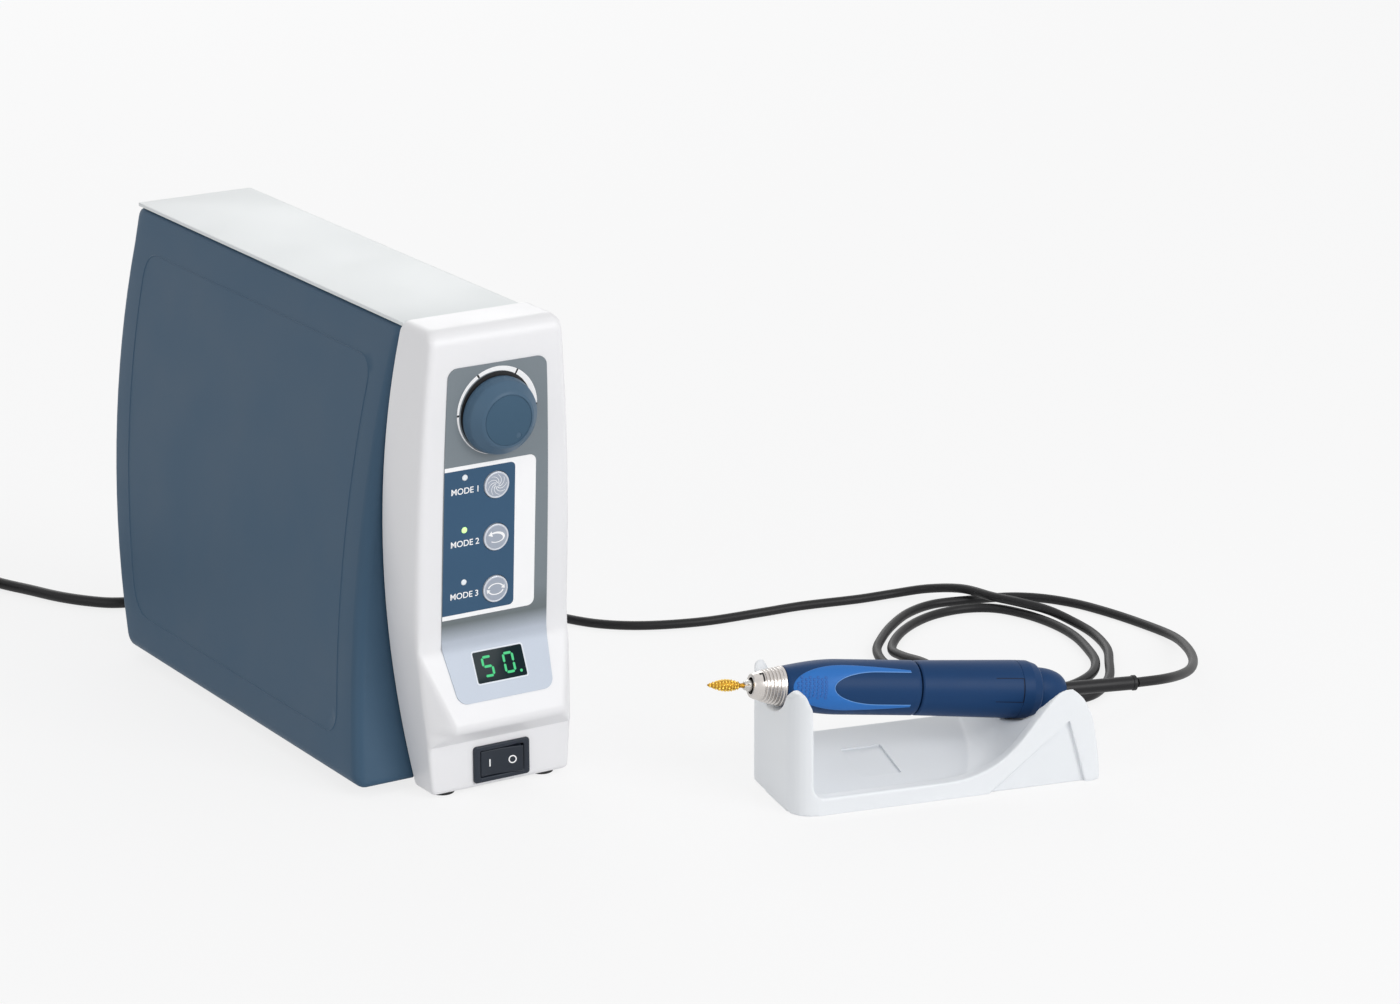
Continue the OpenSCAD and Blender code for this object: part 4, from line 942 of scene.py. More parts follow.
class Bench:
    """Gives finished objects to the frame and keeps their names."""

    def __init__(self, places: Places, nodes: dict[str, bpy.types.Object]) -> None:
        """Keeps the places and the CAD nodes.

        Args:
            places: matrices of the local frames.
            nodes: objects of the CAD nodes by name.
        """
        self.places = places
        self.nodes = nodes
        self.made: dict[str, bpy.types.Object] = {}

    def hand_over(self, obj: bpy.types.Object, finish: Finish, body: str, slot: str,
                  replaces: Sequence[str] = ()) -> bpy.types.Object:
        """Dresses a finished object and lets it ride on its body.

        Args:
            obj: the object.
            finish: its finish.
            body: name of the body that carries it.
            slot: name of the record's material slot; not used.
            replaces: CAD nodes that it stands for.

        Returns:
            The same object.
        """
        obj.data.materials.clear()
        obj.data.materials.append(finish.material())
        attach(obj, body)
        if replaces:
            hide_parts(*replaces)
        self.made[obj.name] = obj
        LOG.info("%s: %d faces, rides on %s", obj.name, len(obj.data.polygons), body)
        return obj

    def dress(self, node: str, finish: Finish) -> None:
        """Gives a CAD node that stays in view its finish."""
        obj = self.nodes[node]
        if not obj.material_slots:
            obj.data.materials.append(None)
        for slot in obj.material_slots:
            slot.material = finish.material()
        LOG.info("%s: dressed in %s", node, finish.name)


@dataclass
class Assembly:
    """A sub-assembly that makes its pieces and hands them over.

    Attributes:
        bench: takes the finished pieces.
    """

    bench: Bench

    @property
    def places(self) -> Places:
        """Matrices of the local frames."""
        return self.bench.places

    def make(self, name: str, skin: Skin, place: Matrix, finish: Finish, body: str, slot: str,
             replaces: Sequence[str] = (), smooth: float = 0.0) -> bpy.types.Object:
        """Makes a piece of a closed skin and hands it over.

        Args:
            name: name of the piece.
            skin: its points and faces.
            place: its local frame.
            finish: its finish.
            body: name of the body that carries it.
            slot: name of the record's material slot.
            replaces: CAD nodes that it stands for.
            smooth: largest angle between faces that are shaded as one, in degrees, or 0 for none.

        Returns:
            The object.
        """
        obj = shaped(name, skin, place)
        if smooth:
            shaded(obj, smooth)
        return self.bench.hand_over(obj, finish, body, slot, replaces)


# Control unit


@dataclass
class BezelShell(Assembly):
    """Front bezel: a bowed shell with a chin for the display and a box for the switch."""

    wall: float = 2.2
    top_r: float = 8.0
    side_r: float = 5.0
    low_r: float = 2.5
    soft: float = 4.2
    chin_soft: float = 1.7
    soft_rise: float = 14.0
    corner_reach: float = 8.0
    past_seam: float = 20.0
    cut_deep: float = 8.0
    display: Triple = (12.5, 27.6, 15.6)
    switch: Triple = (14.0, 28.1, 15.7)
    button_hole: float = 7.1
    lamp_hole: float = 1.65
    bush_hole: float = 4.9

    def build(self) -> None:
        """Builds the shell from level sections and cuts the holes for the controls."""
        skin = Skin()
        right = [skin.loop((x, y, z) for x, y in self._section(z, y)) for y, z in self._rows()]
        left = [skin.loop((-p.x, p.y, p.z) for p in [skin.points[i] for i in row]) for row in right]
        for rows, out in ((right, 1), (left, -1)):
            for low, high in zip(rows, rows[1:]):
                skin.bridge(low[::out], high[::out], closed=False)
        skin.cap([*right[-1][::-1], *left[-1][1:]][::-1])
        skin.cap([*right[0][::-1], *left[0][1:]])
        obj = shaped("bezel_shell", skin, self.places.unit, turn_out=False)
        walled(obj, self.wall)
        self._cut_holes(obj)
        shaded(obj, 38)
        self.bench.hand_over(obj, Finishes.BEZEL, "root", "white_shell", ["front_bezel"])

    def _lip_arc(self) -> list[Point2]:
        """Depth and height along the rounded lip, from its underside to the chin's slope."""
        y, z = FORM.lip_centre
        under = (FORM.box_y - y, FORM.box_z - z)
        low = (math.atan2(under[1], under[0]) - math.acos(FORM.lip_r / math.hypot(*under))) % (2 * math.pi)
        high = math.radians(180 - FORM.chin_slope)
        return [(y + FORM.lip_r * math.cos(a), z + FORM.lip_r * math.sin(a)) for a in spread(low, high, 10)]

    def _rows(self) -> list[Point2]:
        """Depth and height of the front in each level section, from the floor to the top."""
        top = FORM.bezel_h - self.top_r
        low = [FORM.foot_h + self.low_r * (1 - math.cos(a)) for a in spread(0, math.pi / 2, 5)]
        rows = [(FORM.box_y, z) for z in [*low, *spread(low[-1], FORM.box_z, 5)[1:]]]
        lip = self._lip_arc()
        fold = (FORM.front(FORM.chin_z), FORM.chin_z)
        rows += [between(rows[-1], lip[0], u) for u in spread(0, 1, 4)[1:]]
        rows += lip[1:]
        rows += [between(lip[-1], fold, u) for u in spread(0, 1, 8)[1:]]
        rows += [(FORM.front(z), z) for z in spread(FORM.chin_z, top, 16)[1:]]
        for a in spread(math.pi, math.pi / 2, 10)[1:]:
            rows.append((FORM.front(top) + self.top_r * (1 + math.cos(a)), top + self.top_r * math.sin(a)))
        return rows

    def _half_front(self, z: float) -> float:
        """Half the width of the front face at a height: narrower on the chin."""
        lip = self._lip_arc()
        half = FORM.lip_w / 2
        low, high = lip[0][1], lip[-1][1]
        if FORM.box_z < z < low:
            return mix(FORM.half_w(FORM.box_z), half, (z - FORM.box_z) / (low - FORM.box_z))
        if low <= z <= high:
            return half
        if high < z < FORM.chin_z:
            return mix(half, FORM.half_w(FORM.chin_z), (z - high) / (FORM.chin_z - high))
        return FORM.half_w(z)

    def _drawn_in(self, z: float) -> float:
        """Distance by which the sides are drawn in at the rounded top and bottom edges."""
        up = max(0.0, z - (FORM.bezel_h - self.side_r))
        down = max(0.0, FORM.foot_h + self.low_r - z)
        return bow(self.side_r, min(up, self.side_r)) + bow(self.low_r, min(down, self.low_r))

    def _section(self, z: float, front: float) -> list[Point2]:
        """Right-hand half of a level section, its corners softened.

        Args:
            z: height of the section.
            front: depth of its front face.

        Returns:
            Points from the middle of the front, round the corner and back to the seam.
        """
        inset = self._drawn_in(z)
        bottom = bow(self.low_r, min(self.low_r, max(0.0, FORM.foot_h + self.low_r - z)))
        half = FORM.half_w(z) - inset
        corner = front
        if FORM.box_z < z < FORM.chin_z:
            share = (z - FORM.box_z) / (FORM.chin_z - FORM.box_z)
            corner = mix(FORM.box_y, FORM.front(FORM.chin_z), share)
        face = min(self._half_front(z), half)
        seam = FORM.seam(z)
        line = [Vector(at) for at in (
            (-face, front + bottom), (face, front + bottom), (half, corner + bottom),
            (half, seam), (half, seam + self.past_seam))]
        marks = [0.0]
        for a, b in zip(line, line[1:]):
            marks.append(marks[-1] + (b - a).length)
        middle = marks[1] / 2
        near = max(middle, marks[1] - self.corner_reach)
        far = min(marks[3], marks[2] + self.corner_reach)
        stops = [*spread(middle, near, 4), *spread(near, marks[1], 8)[1:],
                 *spread(marks[1], marks[2], 6)[1:], *spread(marks[2], far, 8)[1:],
                 *spread(far, marks[3], 4)[1:]]
        soft = self._softness(z)
        return [self._soft_point(line, marks, at, soft) for at in stops]

    def _softness(self, z: float) -> float:
        """Half the stretch over which corners are softened at a height: short on the chin and the box."""
        return mix(self.chin_soft, self.soft, ease((z - FORM.chin_z) / self.soft_rise))

    def _soft_point(self, line: Sequence[Vector], marks: Sequence[float], at: float, soft: float) -> Point2:
        """Mean place of a line over a short stretch round a point of it.

        Args:
            line: corners of the line.
            marks: distance of each corner along the line.
            at: distance of the point along the line.
            soft: half the length of the stretch.

        Returns:
            The softened point.
        """
        total = Vector((0.0, 0.0))
        reach = min(soft, max(0.0, marks[3] - at) + 0.001)
        samples = spread(at - reach, at + reach, 24)
        for t in samples:
            k = next(i for i in range(len(marks) - 1) if t <= marks[i + 1] or i == len(marks) - 2)
            span = marks[k + 1] - marks[k]
            share = (t - marks[k]) / span if span > 1e-9 else 0.0
            total += line[k].lerp(line[k + 1], share)
        mean = total / len(samples)
        return mean.x, mean.y

    def _cut_holes(self, obj: bpy.types.Object) -> None:
        """Cuts the openings of the display, the switch, the buttons, the lamps and the knob's bush."""
        places = self.places
        deep = self.cut_deep
        cuts = Skin()
        for (at, width, height), place in ((self.display, places.chin), (self.switch, places.box)):
            cuts.add(plate(rounded_box(width, height, 0.8), -deep, deep), place(at))
        cuts.add(ControlRow.holes(places, self.button_hole, self.lamp_hole, deep))
        cuts.add(plate(circle(self.bush_hole), -deep, deep), places.panel(SpeedKnob.height))
        cut(obj, cuts, Matrix.Identity(4))


@dataclass
class TopCover(Assembly):
    """Top cover: the top and the right-hand side in one bent sheet."""

    width: float = 71.0
    wall: float = 2.0
    corner_r: float = 7.0
    gap: float = 0.3
    edge: float = 0.5

    def build(self) -> None:
        """Builds the cover between the bezel's seam and the rounded back."""
        half, top = self.width / 2, FORM.unit_h
        section = rounded([(-half, top, 0), (half, top, self.corner_r), (half, FORM.base_z, 0)],
                          8, closed=False)[:-1]
        side = [(half, z) for z in spread(section[-1][1], FORM.base_z, 20)[1:]]
        skin = Skin()
        rings = []
        for share in spread(0, 1, 6):
            rings.append(skin.loop(
                (x, mix(FORM.seam(z) + self.gap, FORM.back(z), share), z) for x, z in [*section, *side]))
        skin.stack(rings, closed=False)
        obj = shaped("cover_shell", skin, self.places.unit, turn_out=False)
        walled(obj, self.wall)
        softened(obj, self.edge, 60, 2)
        shaded(obj)
        self.bench.hand_over(obj, Finishes.COVER, "root", "grey_cover", ["top_cover"])


@dataclass
class KneePad(Assembly):
    """Knee pad: a leaning shell with rounded edges and a fine raised bead round its face."""

    wall: float = 2.5
    tilt: float = 8.55
    low: float = 5.0
    top: float = 232.2
    top_x: float = 35.5
    gap: float = 1.5
    edge: float = 6.0
    top_edge: float = 2.5
    returns: float = 32.0
    corner: float = 4.0
    bead_in: float = 20.0
    bead_w: float = 0.8
    bead_out: float = 0.3
    bead_corner: float = 14.0
    bead_flat: float = 4.0

    def face(self, z: float) -> float:
        """Place of the leaning face at a height."""
        return -self.top_x - (self.top - z) * math.tan(math.radians(self.tilt))

    def mouth(self, z: float) -> float:
        """Place of the inner rim of the return walls at a height."""
        high = self.face(self.top) + self.wall + 0.3
        deep = self.face(self.low) + self.returns
        return deep + (high - deep) * (z - self.low) / (self.top - self.low)

    def outline(self, inset: float, top_inset: float, corner: float) -> list[Point2]:
        """Depth and height of points round the face.

        Args:
            inset: distance from the front, the back and the lower edge.
            top_inset: distance from the top edge.
            corner: reach of the rounded corners.

        Returns:
            Points from the lower front corner up, along the top, down the back and along the bottom.
        """
        low, top = self.low + inset, self.top - top_inset

        def fore(z: float) -> float:
            """Depth of the front edge at a height."""
            return FORM.seam(z) + self.gap + inset

        def rear(z: float) -> float:
            """Depth of the back edge at a height."""
            return FORM.back(z) - inset

        sides = [
            [(fore(z), z) for z in spread(low + corner, top - corner, 16)],
            [(y, top) for y in spread(fore(top) + corner, rear(top) - corner, 10)],
            [(rear(z), z) for z in spread(top - corner, low + corner, 16)],
            [(y, low) for y in spread(rear(low) - corner, fore(low) + corner, 10)],
        ]
        tips = [(fore(top), top), (rear(top), top), (rear(low), low), (fore(low), low)]
        points: list[Point2] = []
        for i, (side, tip) in enumerate(zip(sides, tips)):
            points += side
            a, b = Vector(side[-1]), Vector(sides[(i + 1) % 4][0])
            for u in spread(0, 1, 6)[1:-1]:
                bend = a * (1 - u) ** 2 + Vector(tip) * 2 * u * (1 - u) + b * u * u
                points.append((bend.x, bend.y))
        return points

    def build(self) -> None:
        """Builds the shell from the rim of its return walls to the middle of its face."""
        skin = Skin()
        rim = self.outline(0, 0, self.corner)
        rings = [skin.loop((self.mouth(z), y, z) for y, z in rim)]
        for a in spread(0, math.pi / 2, 6):
            share = 1 - math.cos(a)
            ring = self.outline(self.edge * share, self.top_edge * share, self.corner)
            deep = self.edge * (1 - math.sin(a))
            rings.append(skin.loop(
                (min(self.face(z) + deep * self._edge_share(z), self.mouth(z) - 0.1), y, z)
                for y, z in ring))
        half, flat, out = self.bead_w / 2, self.bead_flat, self.bead_out
        bead = ((-flat, 0), (-half, 0), (-half / 3, out), (half / 3, out), (half, 0), (flat, 0))
        for offset, lift in bead:
            inset = self.bead_in + offset
            ring = self.outline(inset, inset, self.bead_corner)
            rings.append(skin.loop((self.face(z) - lift, y, z) for y, z in ring))
        skin.stack(rings)
        skin.cap(rings[-1])
        obj = shaped("knee_pad_shell", skin, self.places.unit)
        walled(obj, self.wall)
        shaded(obj, 36)
        self.bench.hand_over(obj, Finishes.PAD, "pad", "blue_shell", ["knee_pad"])

    def _edge_share(self, z: float) -> float:
        """Share of the edge radius at a height: less at the top, where the walls are shallow."""
        return 1.0 if z < self.top - 2 * self.edge else self.top_edge / self.edge


@dataclass
class PanelOverlay(Assembly):
    """Film on the panel, bent forward over the chin, with its printed fields."""

    thick: float = 0.5
    top_z: float = 217.0
    low_z: float = 49.0
    top_w: float = 54.0
    fold_w: float = 58.6
    low_w: float = 52.6
    corner: float = 5.0
    fold_r: float = 18.0
    print_t: float = 0.05
    print_in: float = 0.12
    play: float = 0.3
    cut_deep: float = 4.0

    def half_w(self, z: float) -> float:
        """Half the film's width at a height."""
        if z > FORM.chin_z:
            share = (z - FORM.chin_z) / (self.top_z - FORM.chin_z)
            return mix(self.fold_w, self.top_w, share ** 3) / 2
        share = (z - self.low_z) / (FORM.chin_z - self.low_z)
        return mix(self.low_w, self.fold_w, share) / 2

    def _path(self) -> list[Point2]:
        """Depth and height of the film's outer face, from the top edge to the lower edge."""
        lean, slope = math.radians(FORM.lean), math.radians(FORM.chin_slope)
        out = self.thick
        top = (FORM.front(self.top_z) - out * math.cos(lean), self.top_z - out * math.sin(lean))
        turn = (lean + slope) / 2
        fold_out = out / math.cos(turn)
        way = slope - turn
        fold = (FORM.front(FORM.chin_z) - fold_out * math.cos(way), FORM.chin_z + fold_out * math.sin(way))
        reach = (FORM.chin_z - self.low_z) / math.cos(slope)
        low = (fold[0] - reach * math.sin(slope), fold[1] - reach * math.cos(slope))
        rows = rounded([(*top, 0), (*fold, self.fold_r), (*low, 0)], 10, closed=False)
        panel = [between(top, rows[1], s) for s in self._steps(top, rows[1])]
        chin = [between(rows[-2], low, 1 - s) for s in reversed(self._steps(low, rows[-2]))]
        return [*panel, *rows[2:-2], *chin]

    def _steps(self, start: Point2, stop: Point2) -> list[float]:
        """Shares along a straight stretch, close together in the rounded corner at its start."""
        length = math.dist(start, stop)
        corner = [self.corner * (1 - math.cos(a)) / length for a in spread(0, math.pi / 2, 8)]
        return [*corner, *spread(corner[-1], 1, 8)[1:]]

    def _half_row(self, path: Sequence[Point2], i: int) -> float:
        """Half the width of a row, drawn in at the rounded corners."""
        along = min(math.dist(path[0], path[i]), math.dist(path[-1], path[i]))
        missing = max(0.0, self.corner - along)
        return self.half_w(path[i][1]) - self.corner + math.sqrt(self.corner ** 2 - missing ** 2)

    def build(self) -> None:
        """Builds the film and its prints."""
        path = self._path()
        skin = Skin()
        rings = []
        for i, (y, z) in enumerate(path):
            half = self._half_row(path, i)
            rings.append(skin.loop((x, y, z) for x in spread(-half, half, 8)))
        skin.stack(rings[::-1], closed=False)
        obj = shaped("panel_film", skin, self.places.unit, turn_out=False)
        walled(obj, self.thick)
        self._cut_holes(obj)
        shaded(obj, 30)
        self.bench.hand_over(obj, Finishes.FILM, "root", "panel_film", ["panel_overlay"])
        self._print_fields()

    def _cut_holes(self, obj: bpy.types.Object) -> None:
        """Cuts the holes of the controls, the lamps and the display."""
        places, deep = self.places, self.cut_deep
        down, width, height = BezelShell.display
        cuts = self._button_holes()
        cuts.add(plate(circle(BezelShell.bush_hole), -deep, deep), places.panel(SpeedKnob.height))
        cuts.add(plate(rounded_box(width, height, 0.9), -deep, deep), places.chin(down))
        cut(obj, cuts, Matrix.Identity(4))

    def _button_holes(self) -> Skin:
        """Cutters for the buttons and their lamps."""
        return ControlRow.holes(self.places, ControlRow.radius + self.play, ControlRow.lamp_r, self.cut_deep)

    def _field(self, low: float, high: float, right: float, radius: float) -> list[Point2]:
        """Outline of a printed field that runs off the film's left edge.

        Args:
            low: height of its lower edge.
            high: height of its upper edge.
            right: place of its right-hand edge.
            radius: radius of its right-hand corners.

        Returns:
            Points on the panel, round the panel's reference height.
        """
        down, up = [(z - FORM.panel_z) / math.cos(math.radians(FORM.lean)) for z in (low, high)]
        left = [self.print_in - self.half_w(z) for z in (low, high)]
        return rounded([(right, down, radius), (right, up, radius), (left[1], up, 0), (left[0], down, 0)], 6)

    def _print_fields(self) -> None:
        """Lays the white field and the blue field on the film, with holes for the controls."""
        panel = self.places.panel()
        fields = (
            ("white_field", Finishes.PRINT_WHITE, self._field(89.5, 167.5, 22.0, 3.6), 1),
            ("blue_field", Finishes.PRINT_BLUE, self._field(91.8, 165.4, 10.4, 2.6), 2),
        )
        for name, finish, outline, layer in fields:
            obj = shaped(name, plate(outline, self.thick - 0.1, self.thick + layer * self.print_t), panel)
            cut(obj, self._button_holes(), Matrix.Identity(4))
            self.bench.hand_over(shaded(obj, 30), finish, "root", "panel_film")


class ControlRow:
    """Places that the three buttons and their lamps share."""

    middle_z = 128.4
    pitch = 26.8
    radius = 6.8
    lamp_r = 1.6
    lamp_x = 17.4
    lamp_up = 6.2

    @classmethod
    def heights(cls) -> list[float]:
        """Heights of the lower, the middle and the upper button."""
        return [cls.middle_z + i * cls.pitch for i in (-1, 0, 1)]

    @classmethod
    def holes(cls, places: Places, button_r: float, lamp_r: float, deep: float) -> Skin:
        """Cutters for the buttons and the lamps.

        Args:
            places: matrices of the local frames.
            button_r: radius of a button's hole.
            lamp_r: radius of a lamp's hole.
            deep: reach of the cutters to both sides of the panel.

        Returns:
            The cutters, in metres.
        """
        cuts = Skin()
        for z in cls.heights():
            for outline in (circle(button_r), circle(lamp_r, 32, -cls.lamp_x, cls.lamp_up)):
                cuts.add(plate(outline, -deep, deep), places.panel(z))
        return cuts


def band(radius: float, width: Callable[[float], float], start: float, stop: float,
         steps: int) -> list[Point2]:
    """Outline of an arc whose width changes along it.

    Args:
        radius: radius of the outer edge.
        width: width at an angle in degrees.
        start: first angle, in degrees.
        stop: last angle, in degrees.
        steps: number of steps.

    Returns:
        Points of the closed outline.
    """
    angles = spread(start, stop, steps)
    outer = [(radius, a) for a in angles]
    inner = [(radius - width(a), a) for a in reversed(angles)]
    return [(r * math.cos(math.radians(a)), r * math.sin(math.radians(a))) for r, a in outer + inner]


def arrow(at: Point2, heading: float, size: float) -> list[Point2]:
    """Outline of an arrow head.

    Args:
        at: middle of its base.
        heading: direction of its tip, in degrees.
        size: half the width of its base.

    Returns:
        Three points.
    """
    way = Vector((math.cos(math.radians(heading)), math.sin(math.radians(heading))))
    side = Vector((-way.y, way.x))
    base = Vector(at)
    corners = (base - side * size, base + way * 1.5 * size, base + side * size)
    return [(c.x, c.y) for c in corners]


class Lettering:
    """Plain numerals cut from the built-in font."""

    @staticmethod
    def skin(text: str, height: float, x: float, y: float, low: float, high: float) -> Skin:
        """A line of text as a thin plate.

        Args:
            text: the text.
            height: size of the letters.
            x: middle of the line.
            y: height of the line's middle.
            low: height of the underside.
            high: height of the face.

        Returns:
            The skin in local millimetres.
        """
        curve = bpy.data.curves.new("numeral", "FONT")
        curve.body = text
        curve.size = height
        curve.align_x = "CENTER"
        curve.align_y = "CENTER"
        curve.extrude = (high - low) / 2
        curve.offset = 0.012 * height
        obj = bpy.data.objects.new("numeral", curve)
        bpy.context.scene.collection.objects.link(obj)
        mesh = bpy.data.meshes.new_from_object(obj.evaluated_get(bpy.context.evaluated_depsgraph_get()))
        skin = Skin([v.co + Vector((x, y, (low + high) / 2)) for v in mesh.vertices],
                    [tuple(p.vertices) for p in mesh.polygons])
        bpy.data.objects.remove(obj)
        bpy.data.curves.remove(curve)
        bpy.data.meshes.remove(mesh)
        return skin


@dataclass
class SpeedKnob(Assembly):
    """Speed knob with its pointer dimple, a dark ring of painted shadow under it and the printed scale round
    it.
    """

    height = 191.0
    scale_z: float = 193.0
    gap: float = 1.3
    base_r: float = 19.5
    face_r: float = 13.2
    length: float = 10.5
    dimple: Triple = (5.85, -8.45, 1.6)
    shadow_ring_r: float = 20.2
    scale_r: float = 22.1
    scale_low: float = 0.5
    scale_high: float = 0.56
    scale_turn: float = 234.0
    scale_thin: float = 0.45
    scale_grow: float = 2.85
    scale_arcs: tuple[Point2, ...] = ((234, 181.4), (178.6, 121.3), (118.7, 61.3), (58.7, 1.4))
    line_arc: Point2 = (-10, -125.5)
    line_w: float = 0.3
    ticks: tuple[float, ...] = (180, 120, 60, 0)
    tick_half: float = 1.3

    def build(self) -> None:
        """Builds the knob, its painted shadow and its scale."""
        place = self.places.panel(self.height)
        gap, top = self.gap, self.gap + self.length
        outer = rounded([
            (0, top - 0.35, 0), (self.face_r - 0.5, top - 0.35, 0), (self.face_r - 0.4, top, 0.1),
            (self.face_r, top, 0.2), (self.face_r + 1.1, top - 0.6, 0.6),
            (self.base_r - 1, gap + 0.55 * self.length, 3.0), (self.base_r, gap + 2, 1.5),
            (self.base_r, gap, 0.4), (self.base_r - 2.4, gap, 0)], 6, closed=False)
        inner = [(self.base_r - 2.4, gap + 4), (6.0, gap + 4), (6.0, gap + 0.6), (3.06, gap + 0.6),
                 (3.06, top - 5), (0, top - 5)]
        self.make("knob_cap", turned([*outer, *inner], 128), place,
                  Finishes.KNOB, "knob", "blue_shell", ["speed_knob"], smooth=28)
        self._face(place, top)
        # A dark ring on the panel under the knob: painted shadow of the knob.
        shadow_ring = framed(circle(self.shadow_ring_r, 96), circle(6.5, 96), self.scale_low - 0.1, self.scale_low + 0.03)
        self.make("knob_well", shadow_ring, self.places.panel(self.scale_z - 0.6),
                  Finishes.DARK_PRINT_AND_SHADE, "root", "panel_film")
        self._scale(self.places.panel(self.scale_z))

    def _face(self, place: Matrix, top: float) -> None:
        """Builds the knob's face with its pointer dimple, in the darker copy of the knob's blue as painted
        shade.

        Args:
            place: the knob's local frame.
            top: height of the knob's rim.
        """
        x, y, radius = self.dimple
        pit = [(0, top - 0.8), (0.6 * radius, top - 0.7), (0.9 * radius, top - 0.4), (radius, top + 0.6),
               (0, top + 0.6)]
        disc = rounded([(0, top - 0.1, 0), (self.face_r - 0.7, top - 0.1, 0.15),
                        (self.face_r - 0.6, top - 1, 0), (0, top - 1, 0)], 3, closed=False)
        obj = shaped("knob_face", turned(disc, 128), place)
        cut(obj, turned(pit, 40, closed=False), place @ Matrix.Translation((x, y, 0)))
        self.bench.hand_over(shaded(obj, 28), Finishes.KNOB_FACE_SHADE, "knob", "blue_shell")

    def _thickness(self, angle: float) -> float:
        """Thickness of the scale, growing clockwise from the lower left."""
        return self.scale_thin + self.scale_grow * (self.scale_turn - angle) / self.scale_turn

    def _scale(self, place: Matrix) -> None:
        """Prints the white scale with its thin line, and its four dark ticks."""
        white = [(self._thickness, *arc, 36) for arc in self.scale_arcs]
        white.append((lambda angle: self.line_w, *self.line_arc, 60))
        dark = [(self._thickness, at + self.tick_half, at - self.tick_half, 4) for at in self.ticks]
        prints = (("knob_scale", white, self.scale_high, Finishes.PRINT_WHITE),
                  ("knob_ticks", dark, self.scale_high - 0.02, Finishes.DARK_PRINT_AND_SHADE))
        for name, arcs, high, finish in prints:
            skin = Skin()
            for arc in arcs:
                skin.add(plate(band(self.scale_r, *arc)[::-1], self.scale_low, high))
            self.make(name, skin, place, finish, "root", "panel_film")


